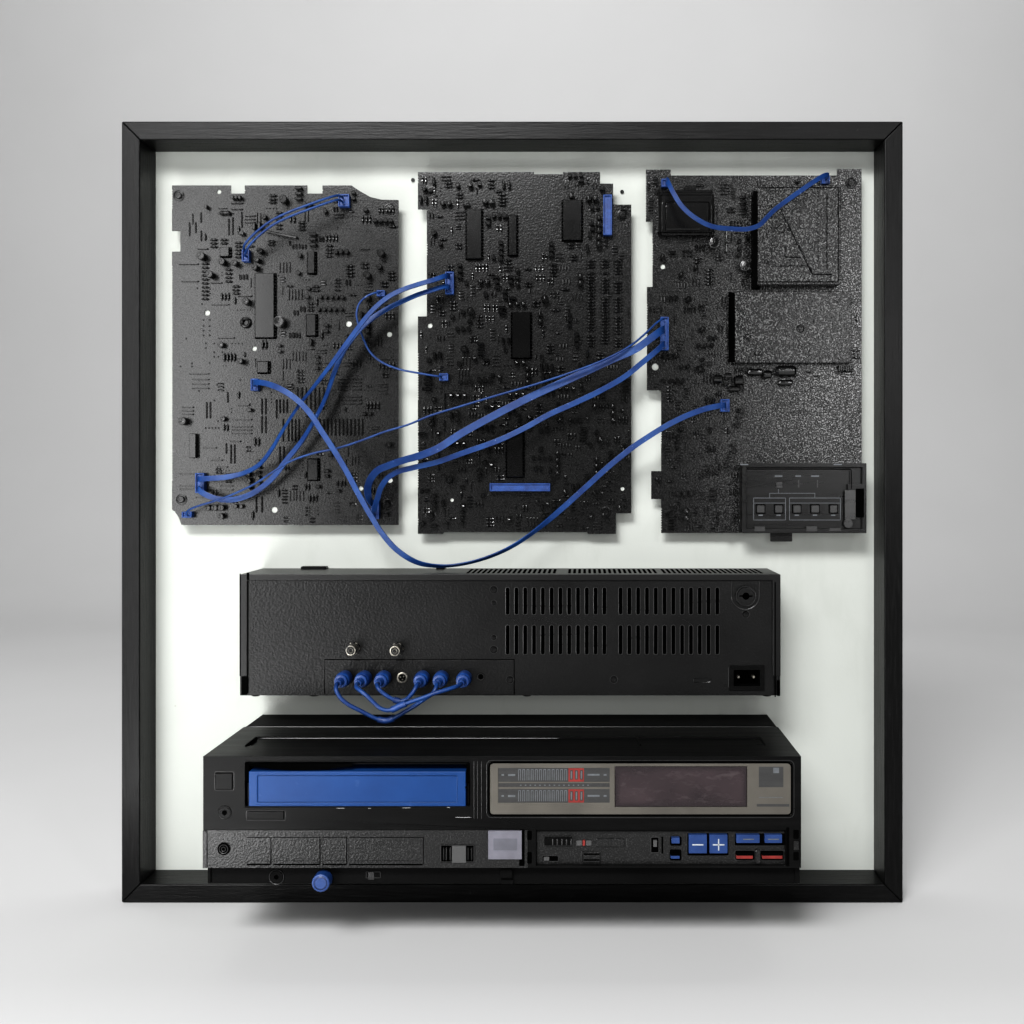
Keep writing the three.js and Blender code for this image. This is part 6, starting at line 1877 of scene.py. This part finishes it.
# %% Plugs, and the sleeves of their leads
def plug_shape(x, z):
    """A moulded plug: a fluted grip, a waist, a collar and a tapering nose."""
    y = -63.5
    plug = Gathered()
    grip = [(5.4, y), (5.9, y - 0.5), (6.1, y - 2.5), (6.1, y - 8.6), (5.8, y - 10.6), (5.1, y - 11.5)]
    sides = 32
    rings = []
    for radius, depth in grip:
        flute = 0.22 if y - 9 < depth < y - 1 else 0.0
        rings.append([
            (x + (radius - flute * (k % 2)) * MM * math.cos(2 * math.pi * k / sides), depth * MM,
             z + (radius - flute * (k % 2)) * MM * math.sin(2 * math.pi * k / sides))
            for k in range(sides)
        ])
    plug.loft(rings)
    body = [(5.0, -74.8), (4.9, -75.4), (4.3, -76.0), (4.0, -78.4), (4.9, -78.9), (5.0, -79.4),
            (4.9, -79.9), (3.2, -80.3)]
    body += [(2.9, -82.4), (3.1, -82.6), (2.8, -83.0), (2.7, -84.6), (2.9, -84.8), (2.6, -85.2),
             (2.45, -88.2)]
    plug.turned(x, z, [(r * MM, d * MM) for r, d in body], 20)
    return plug


jack_places = [-130.94, -115.46, -99.98, -69.23, -54.18, -35.91]
for i, x in enumerate(jack_places):
    plug_shape(x * MM, -130.82 * MM).make(f"plug_{i + 1}_moulding", plug_blue, "blue_plug",
                                          stands_for=[f"patch_plug_{i + 1}"])
sleeve_shares = {"patch_lead_1": (0.44, 0.56), "patch_lead_2": (0.42, 0.54), "patch_lead_3": (0.46, 0.58)}
for name, (low_share, high_share) in sleeve_shares.items():
    route = routes[name]
    stretch = route[int(low_share * len(route)):int(high_share * len(route))]
    sleeve = swept(name + "_sleeve", stretch, [round_section(5.0 * MM, 16)], still, lead_blue_dark)
    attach(sleeve, "display")
# %% [markdown]
# The front unit is the cut-off face of the recorder. The upper half is smooth moulded plastic
# with the cassette slot and the display, the lower half is a panel with a hammered finish and
# the keys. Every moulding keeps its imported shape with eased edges, and moves with its own body.

# %% Mouldings, keys and buttons
face = -143.0 * MM
lower_face = -143.8 * MM
# Each row: node, finish, slot, width of the eased edge in mm, whether it moves, and segments.
mouldings = [
    ("front_bezel", bezel_black, "bezel_black", 0.45, False, 3),
    ("front_cover", cover_paint, "case_black", 0.5, False, 2),
    ("bottom_pan", cover_paint, "case_black", 0.5, False, 2),
    ("function_panel", panel_black, "hammered_black", 0.3, False, 2),
    ("cassette_tray", key_black, "satin_black", 0.2, False, 2),
    ("slot_flap", key_black, "satin_black", 0.25, True, 2),
    ("display_surround", surround_grey, "surround_grey", 0.25, False, 2),
    ("display_glass", window_tint, "display_glass", 0.15, False, 2),
    ("cassette", shell_blue, "blue_shell", 0.7, True, 3),
    ("power_button", key_black, "bezel_black", 0.35, True, 2),
    ("eject_button", key_black, "bezel_black", 0.3, True, 2),
]
long_keys = ("rewind_key", "play_key", "forward_key", "stop_key")
mouldings += [(key, panel_black, "bezel_black", 0.3, True, 2) for key in long_keys]
mouldings += [
    ("pause_button", cap_grey, "button_grey", 0.4, True, 3),
    ("window_slide", knob_grey, "bezel_black", 0.3, True, 2),
    ("ribbed_slide", key_black, "bezel_black", 0.2, True, 2),
]
for cap in ("channel_down", "channel_up", "next", "check", "clock", "reset"):
    mouldings.append((cap + "_button", cap_blue, "blue_button", 0.25, True, 2))
for cap in ("record", "timer"):
    mouldings.append((cap + "_button", warning_red, "button_red", 0.2, True, 2))
mouldings.append(("input_dial", dial_blue, "blue_button", 0.9, True, 3))
for node, material, slot, ease, moves, segments in mouldings:
    eased_copy(node, material, slot, ease * MM, node if moves else "display", segments)
print("front mouldings eased")

# %% [markdown]
# The finer lines of the front are raised or dark shapes a few tenths of a millimetre thick: the
# frames round the power button and the jack, the bars of the level meter, the signs on the channel
# buttons. They stand on the surface that carries them.

# %% Display window and level meter
surround_face = -143.6 * MM
meter_floor = surround_face + 0.5 * MM
meter_dark, meter_light, meter_red = Gathered(), Gathered(), Gathered()
printed = meter_floor - 0.1 * MM
for top, low in ((768, 781.8), (789, 802.8)):
    flat_mark(meter_dark, 498.2, top, 609.7, low, meter_floor, 0.12 * MM)
    for i in range(12):
        left = 518.2 + 4.2 * i
        bars(meter_light, [(left, top + 1.6, left + 0.7, low - 1.4),
                           (left + 2.0, top + 1.6, left + 2.7, low - 1.4)], printed)
        bars(meter_light, [(left, top + 1.2, left + 2.7, top + 1.9)], printed)
    flat_mark(meter_red, 568.4, top + 0.2, 584.0, low - 0.2, printed, 0.06 * MM, 0.02 * MM)
    for i in range(3):
        left = 570.0 + 5.0 * i
        bars(meter_dark, [(left, top + 2.2, left + 2.8, low - 2.2)], printed - 0.05 * MM)
        bars(meter_light, [(left + 0.8, top + 3.2, left + 2.0, low - 3.2)], printed - 0.08 * MM)
    row = (top + low) / 2
    bars(meter_light, [(501.5, row - 0.8, 504, row + 0.8), (508, row - 0.9, 515.3, row + 1.1),
                       (587.6, row - 1.0, 599.6, row + 0.8), (603.6, row - 0.8, 606.6, row + 0.8)], printed)
flat_mark(meter_dark, 498.2, 783.1, 609.7, 787, meter_floor, 0.1 * MM)
bars(meter_light, [(520 + 4.8 * i, 784.7, 521.6 + 4.8 * i, 785.7) for i in range(15)], printed)
bars(meter_dark, [(758.8, 766.7, 783.4, 787.2), (756.7, 804, 789.4, 806.6)], surround_face)
bars(meter_light, [(773.2, 767.7, 779.1, 773.1), (759, 797.2, 783, 797.7)], surround_face - 0.06 * MM)
meter_dark.make("meter_panels", meter_grey, "display_glass", stands_for=["display_surround"])
meter_light.make("meter_bars", mark_dim, "surround_grey", stands_for=["display_surround"])
meter_red.make("meter_red_blocks", warning_red, "button_red", stands_for=["display_surround"])

# %% Upper face
# edges gathers thin light lines on edges, rims and frames, which are painted highlights; holes gathers dark
# shapes in holes, gaps and wells, which are painted shade.
trim, edges, holes = Gathered(), Gathered(), Gathered()
frame_line(holes, 489.0, 762.6, 791.6, 815.2, surround_face, 0.7 * MM, 3.2 * MM)
frame_line(edges, 486.6, 760.4, 794.0, 817.6, face, 0.3 * MM, 3.6 * MM)
frame_line(edges, 214.8, 771.6, 234.0, 790.4, face, 0.22 * MM)
frame_line(trim, 244.6, 761.4, 470.5, 806.6, face, 0.45 * MM, 1.6 * MM)
for column in (474.0, 477.5, 481.5):
    upright_bar(edges, column, 761, 819, face, face, tapered(0.05, 0.22, 0.02))
frame_line(edges, 246.4, 810.8, 285.4, 820.4, face, 0.22 * MM, 0.8 * MM)
# Short light lines along edges, painted highlights.
edge_highlight_runs = [(455, 472, 817.4), (336, 345, 808.2), (368, 371, 808.4), (402, 411, 808), (447, 450, 807.6),
        (262, 278, 816)]
for first, last, row in edge_highlight_runs:
    (x0, z), (x1, _) = seen(first, row, face), seen(last, row, face)
    edges.spindle((x0, face, z), (x1, face, z), tapered(0.05, 0.25, 0.1), 6)


def round_socket(x, z, y, rings, hole):
    """A small socket: a dark dished ring and a black hole with a pin in it, painted shade, and fine light
    rings round them, painted highlights.
    """
    holes.turned(x, z, [(hole * 1.05, y + 0.05 * MM), (hole, y - 0.35 * MM), (hole * 0.5, y - 0.1 * MM),
                        (0.1 * MM, y - 0.1 * MM)], 24)
    for radius in rings:
        edges.ring(x, y - 0.3 * MM, z, radius, 0.3 * MM)


round_socket(-199.4 * MM, -212.8 * MM, face, (2.7 * MM, 4.5 * MM), 4.8 * MM)
round_socket(-199.95 * MM, -238.9 * MM, lower_face, (1.5 * MM, 3.1 * MM), 4.3 * MM)
round_socket(-164.5 * MM, -262.2 * MM, -135 * MM, (2.6 * MM, 5.3 * MM), 5.6 * MM)
trim.make("upper_face_trim", bezel_black, "bezel_black", stands_for=["front_bezel"])

# %% Band on the top, and holes beside the recess
top_face = -172.5 * MM
band = Gathered()
band_floor = top_face - 1.2 * MM
band_shapes = (
    (((99.2, -86), (100.6, -86), (102.0, -108), (100.6, -108)), 1.0),
    (((189, -106), (194, -106), (190, -87)), 0.4),
)
for across, lift in band_shapes:
    band.loft([[(x * MM, y * MM, band_floor + rise * MM) for x, y in across] for rise in (0, lift)])
band.make("band_marks", bezel_black, "bezel_black", stands_for=["front_bezel"])
taper = tapered(0.05, 0.3, 0.01)
# Two light lines along the top's edges are painted highlights.
edges.spindle((-212 * MM, -53 * MM, top_face), (212 * MM, -53 * MM, top_face), taper, 6)
edges.spindle((-190 * MM, -90.4 * MM, top_face), (40 * MM, -90.4 * MM, top_face), taper, 6)
# A dark slanted notch, painted shade.
holes.wire([(-193.2 * MM, -115 * MM, top_face - 0.3 * MM), (-193 * MM, -91 * MM, top_face - 0.3 * MM)],
           1.0 * MM, 6)
# Dark marks for the holes beside the recess, painted shade.
for box in ((527.2, 830.8, 531.8, 840), (527.2, 852, 531.8, 863.5), (793.4, 829.8, 798.8, 838.9),
            (793.4, 852, 798.8, 860.3)):
    flat_mark(holes, *box, face, 0.06 * MM, 0.02 * MM, 0.5 * MM)
for box in ((519.2, 829.4, 524.6, 866), (786.2, 827.4, 789.2, 866.4)):
    flat_mark(holes, *box, face, 0.06 * MM, 0.02 * MM, 0.4 * MM)

# %% Lower face: small controls in the recess
recess_floor = -139.0 * MM
controls, red_tip, grey_tips = Gathered(), Gathered(), Gathered()
# The slide's ribs are in the lighter grey, painted highlights on them.
for i in range(5):
    x, _ = seen(552.8 + 4.6 * i, 842, -142.5 * MM)
    controls.spindle((x, -142.6 * MM, -236.6 * MM), (x, -142.6 * MM, -231.9 * MM), tapered(0.2, 0.5, 0.1), 6)
controls.make("ribbed_slide_ribs", highlight_grey, "bezel_black", "ribbed_slide", ["ribbed_slide"])
controls = Gathered()
frame_line(edges, 543.6, 838.0, 573.2, 847.2, recess_floor, 0.3 * MM, 0.8 * MM)
flat_mark(grey_tips, 576.4, 840.2, 582.2, 845.2, recess_floor, 1.4 * MM, 0.3 * MM, 0.5 * MM)
flat_mark(grey_tips, 585.9, 840.2, 591.6, 845.2, recess_floor, 1.4 * MM, 0.3 * MM, 0.5 * MM)
flat_mark(red_tip, 582.7, 839.6, 585.1, 844.8, recess_floor, 2.2 * MM, 0.2 * MM, 0.2 * MM)
flat_mark(controls, 537, 831.5, 785.6, 866.2, recess_floor, 0.06 * MM, 0.02 * MM)
flat_mark(controls, 596.0, 838.4, 624.2, 846.4, recess_floor, 1.2 * MM, 0.3 * MM, 0.5 * MM)
for i in range(9):
    x, z = seen(598 + 3.0 * i, 842.4, recess_floor - 1.1 * MM)
    edges.spindle((x, recess_floor - 1.2 * MM, z - 2.2 * MM), (x, recess_floor - 1.2 * MM, z + 2.2 * MM),
                  tapered(0.15, 0.25, 0.15), 5)
frame_line(edges, 542.3, 855.6, 558.3, 861.4, recess_floor, 0.3 * MM, 0.8 * MM)
flat_mark(holes, 542.6, 856.0, 558.0, 861.0, recess_floor, 0.1 * MM)
flat_mark(grey_tips, 543.8, 856.6, 549.2, 860.4, recess_floor, 0.8 * MM)
flat_mark(controls, 582.6, 851.6, 600.2, 862.0, recess_floor, 1.6 * MM, 0.4 * MM)
for row in (853.4, 859.2):
    flat_mark(holes, 583.6, row, 599.4, row + 1.6, recess_floor - 1.6 * MM, 0.05 * MM, 0.02 * MM)
for column, top, low in ((581.8, 851, 862.6), (600.6, 851, 862.6), (627.0, 838, 848)):
    upright_bar(edges, column, top, low, recess_floor, recess_floor - 0.2 * MM, tapered(0.1, 0.35, 0.1))
frame_line(edges, 650.8, 837.0, 659.0, 852.7, recess_floor, 0.4 * MM, 1.2 * MM)
flat_mark(holes, 651.4, 837.6, 658.4, 852.2, recess_floor, 0.1 * MM)
flat_mark(grey_tips, 653.2, 839.7, 656.8, 846.2, recess_floor, 1.6 * MM)
flat_mark(holes, 661.4, 836.6, 663.2, 853.6, recess_floor, 0.1 * MM)
for box in ((669.8, 849.4, 681.4, 860.4), (735.2, 850.6, 754.4, 859.8), (760.6, 850.6, 783.4, 859.8),
            (686.6, 833.2, 729.2, 855.4), (733.8, 833.4, 786.0, 845.4), (670.0, 836.4, 681.6, 845.6)):
    flat_mark(holes, *box, recess_floor, 0.1 * MM, 0.04 * MM, 0.8 * MM)
for box in ((687.0, 832.4, 728.8, 855.8), (734.4, 832.8, 786.0, 846.0), (735.0, 850.2, 785.4, 861.0)):
    frame_line(edges, *box, recess_floor, 0.3 * MM, 0.8 * MM)
flat_mark(controls, 754.8, 849.4, 760.4, 863.0, recess_floor, 2.4 * MM, 0.5 * MM, 0.8 * MM)
flat_mark(controls, 793.8, 841.2, 798.6, 849.8, face, 0.5 * MM, 0.2 * MM)
controls.block(-215.2 * MM, -211.9 * MM, -252.9 * MM, -225.9 * MM, -60 * MM, -143.7 * MM, 0.4 * MM)
cheeks = Gathered()
for low_x, high_x in ((-214.2, -211.9), (211.9, 215.4)):
    cheeks.block(low_x * MM, high_x * MM, -266.6 * MM, -253 * MM, -60 * MM, -136.4 * MM, 0.4 * MM)
flat_mark(cheeks, 500, 868.6, 512.6, 877.6, -136.6 * MM, 1.2 * MM, 0.4 * MM, 0.8 * MM)
cheeks.make("pan_cheeks", cover_paint, "case_black", stands_for=["bottom_pan"])
controls.make("recess_controls", panel_black, "hammered_black", stands_for=["function_panel"])
red_tip.make("red_switch_tip", warning_red, "button_red", stands_for=["function_panel"])
grey_tips.make("switch_tips", knob_grey, "hammered_black", stands_for=["function_panel"])

# %% Window of the small slide, and lines along the keys
for box in ((441.4, 845.8, 452.8, 861.4), (465.2, 845.8, 473.4, 861.4)):
    flat_mark(holes, *box, -141 * MM, 0.1 * MM, 0.04 * MM, 0.2 * MM)
frame_line(edges, 440.8, 845.2, 474.2, 862.0, lower_face, 0.25 * MM, 0.6 * MM)
for column in (443.6, 446.4, 450.4, 468.0, 471.6):
    upright_bar(edges, column, 847, 860.6, -141.2 * MM, -141.3 * MM, tapered(0.1, 0.45, 0.1))
for key in long_keys:
    low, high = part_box(key)
    # A dark line across each key and a dark strip along its lower edge, painted shade in its gaps.
    line = Gathered()
    depth, row = low[1] + 0.02 * MM, low[2] + 3.2 * MM
    line.spindle((low[0] + 0.5 * MM, depth, row), (high[0] - 0.5 * MM, depth, row),
                 tapered(0.05, 0.14, 0.02), 5)
    line.block(low[0] + 0.1 * MM, high[0] - 0.1 * MM, low[2] - 0.05 * MM, low[2] + 1.0 * MM,
               depth + 0.3 * MM, depth - 0.02 * MM, 0.05 * MM)
    line.make(key + "_edge", shade_black, "bezel_black", key, [key])

# %% Signs on the buttons, the pan's fittings and the cassette's marks
cap_face = -142.5 * MM
channel_signs = (
    ("channel_down_button", 697.8, ((11.2, 1.3),)),
    ("channel_up_button", 718.6, ((11.6, 1.3), (1.2, 11.6))),
)
for body, column, strokes in channel_signs:
    sign = Gathered()
    for wide, tall in strokes:
        flat_mark(sign, column - wide / 2, 844.8 - tall / 2, column + wide / 2, 844.8 + tall / 2, cap_face,
                  0.1 * MM, 0.03 * MM)
    sign.make(body + "_sign", mark_white, "blue_button", body, [body])
for body, box in (("next_button", (743, 838.8, 754, 839.8)), ("check_button", (768, 838.8, 779, 839.8))):
    sign = Gathered()
    bars(sign, [box], cap_face)
    sign.make(body + "_line", mark_dim, "blue_button", body, [body])
# A dark strip across the top of these buttons, painted shade.
for body in ("record_button", "timer_button", "reset_button"):
    low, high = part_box(body)
    shade = Gathered()
    shade.block(low[0] - 0.02 * MM, high[0] + 0.02 * MM, high[2] - 1.9 * MM, high[2] + 0.02 * MM,
                low[1] + 5 * MM, low[1] - 0.05 * MM, 0.1 * MM)
    shade.make(body + "_top", shade_black, "button_red", body, [body])
pause_mark = Gathered()
flat_mark(pause_mark, 493.4, 838.6, 517.2, 850.4, -144.5 * MM, 0.1 * MM, 0.06 * MM, 0.3 * MM)
pause_mark.make("pause_button_pad", pad_grey, "button_grey", "pause_button", ["pause_button"])

pan_face = -135.0 * MM
x0, x1, z0, z1 = seen_box(366, 871.2, 381, 878, pan_face)
for box in ((x0, x1, z1 - 0.5 * MM, z1), (x0, x1, z0, z0 + 0.5 * MM), (x0, x0 + 0.5 * MM, z0, z1),
            (x1 - 0.5 * MM, x1, z0, z1), (x0 + 1.6 * MM, x0 + 6.0 * MM, z0 - 1.0 * MM, z1)):
    edges.block(*box, pan_face, pan_face - 0.7 * MM, 0.15 * MM, 0.15 * MM)
edges.make("worn_front_edges", highlight_grey, "bezel_black", stands_for=["function_panel"])
holes.make("front_holes", shade_black, "hammered_black", stands_for=["function_panel"])

cassette_marks, notches, flap_lip = Gathered(), Gathered(), Gathered()
# A darker line along the top and the left of the label recess, painted shade of its edge.
for path in (((-176, -186.3), (-36, -186.3)), ((-176, -186.3), (-176, -205.7))):
    cassette_marks.wire([(x * MM, -143.05 * MM, z * MM) for x, z in path], 0.16 * MM, 5)
cassette_marks.make("cassette_label_line", lead_blue_dark, "blue_shell", "cassette", ["cassette"])
# Dark specks in small notches at the cassette's ends, painted shade.
for box in ((246.6, 784.2, 248.4, 786.2), (465.2, 786.4, 467.0, 788.6), (466.0, 781.5, 467.0, 783.0)):
    flat_mark(notches, *box, -143.6 * MM, 0.05 * MM, 0.02 * MM)
notches.make("cassette_notches", shade_black, "blue_shell", "cassette", ["cassette"])
# A dark sheet with a bowed lower edge above the cassette, and dark blocks at its ends: painted shade in the
# slot under the flap.
bow = [(250 + 8.5 * i, 765.6 + 4.6 * math.sin(math.pi * (i + 0.5) / 13)) for i in range(13)]
under = [seen(column, row, -142.2 * MM) for column, row in bow]
lip = [*under, (under[-1][0], -178 * MM), (under[0][0], -178 * MM)]
flap_lip.loft([[(x, y * MM, z) for x, z in lip] for y in (-141.6, -142.2)])
for low_x, high_x in ((-186.6, -182.3), (-25.9, -21.5)):
    flap_lip.block(low_x * MM, high_x * MM, -191 * MM, -178 * MM, -141.6 * MM, -142.2 * MM, 0.1 * MM)
flap_lip.make("flap_lip", shade_black, "satin_black", "slot_flap", ["slot_flap"])
print("front unit dressed")
# %% [markdown]
# The setting is plain: a pale floor that curves up into a pale wall well behind the display, so
# that the back can also be looked at. The photograph was taken in a soft room. A broad light
# from the left leaves a glare on the left board, and one from the right shines on the edge of
# the right board. Light from above throws the units' shadows down the white board, and a fill
# that gives no gloss lifts the shadow under the top rail.

# %% Floor, lights and tone
def studio_floor():
    profile = [(-4.5, 0.0), (1.6, 0.0)]
    for i in range(1, 13):
        angle = math.radians(90 * i / 12)
        profile.append((1.6 + 0.9 * math.sin(angle), 0.9 * (1 - math.cos(angle))))
    profile.append((2.5, 4.0))
    floor_height = model_low[2] - 0.0005
    points = [(x, y, floor_height + rise) for y, rise in profile for x in (-5.0, 5.0)]
    faces = [(i, i + 1, i + 3, i + 2) for i in range(0, len(points) - 2, 2)]
    mesh = bpy.data.meshes.new("studio_floor")
    mesh.from_pydata(points, [], faces)
    mesh.shade_smooth()
    recipe = Recipe("studio_floor_paper")
    cloud = recipe.noise(recipe.place(), 3.0, 2.0)
    mesh.materials.append(recipe.finish(recipe.mix(cloud, grey(194), grey(200)), 0.9))
    floor = bpy.data.objects.new("studio_floor", mesh)
    scene.collection.objects.link(floor)
    floor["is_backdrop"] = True


def soft_light(name, place, aim, width, height, power, only_gloss=False, only_diffuse=False):
    data = bpy.data.lights.new(name, "AREA")
    data.shape = "RECTANGLE"
    data.size = width
    data.size_y = height
    data.energy = power
    light = bpy.data.objects.new(name, data)
    light.location = place
    light.rotation_euler = (Vector(aim) - Vector(place)).to_track_quat("-Z", "Y").to_euler()
    light.visible_diffuse = not only_gloss
    light.visible_glossy = not only_diffuse
    scene.collection.objects.link(light)


studio_floor()
soft_light("window_left", (-0.73, -1.15, 0.12), (-0.3, 0, 0.05), 0.3, 0.95, 9.5, True)
soft_light("window_right", (0.62, -1.15, 0.27), (0.3, 0, 0.12), 0.22, 0.42, 3.4, True)
soft_light("floor_card", (-0.37, -0.42, -0.312), (-0.36, -0.39, 0), 0.26, 0.2, 2.4)
soft_light("room_above", (-0.7, -1.9, 1.35), (-0.1, 0, 0.05), 1.2, 0.5, 38)
soft_light("ceiling_lamp", (0.62, -1.15, 0.78), (0.2, 0, 0.1), 0.1, 0.1, 1.5)
soft_light("left_fill", (-1.6, -1.0, 0.6), (-0.2, 0, 0), 0.8, 0.8, 4)
soft_light("high_front", (-0.5, -2.4, 1.9), (0.0, 0, 0.0), 0.9, 0.6, 50)
soft_light("shadow_fill", (0.2, -2.6, 0.3), (0.0, 0, 0.1), 1.4, 0.8, 16, only_diffuse=True)
soft_light("backdrop_wash", (0.0, 0.5, 2.4), (0, 2.3, 0.9), 3.0, 0.5, 36)

world = bpy.data.worlds.new("pale_room")
scene.world = world
world.use_nodes = True
world.node_tree.nodes["Background"].inputs["Color"].default_value = grey(222)
world.node_tree.nodes["Background"].inputs["Strength"].default_value = 0.09
scene.view_settings.view_transform = "Standard"
scene.view_settings.look = "Medium High Contrast"

# %% [markdown]
# The last loop goes through the cords and looks up each one's route, and does nothing more.

for name, (piece, width) in lead_pieces.items():
    route = routes[name]

# %% Gather the sizes and print the span
shown_low, shown_high = (list(corner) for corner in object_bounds())
sizes = {"cad": [model_low, model_high], "visual": [shown_low, shown_high]}
print("the dressed model spans", [round(b - a, 4) for a, b in zip(shown_low, shown_high)])
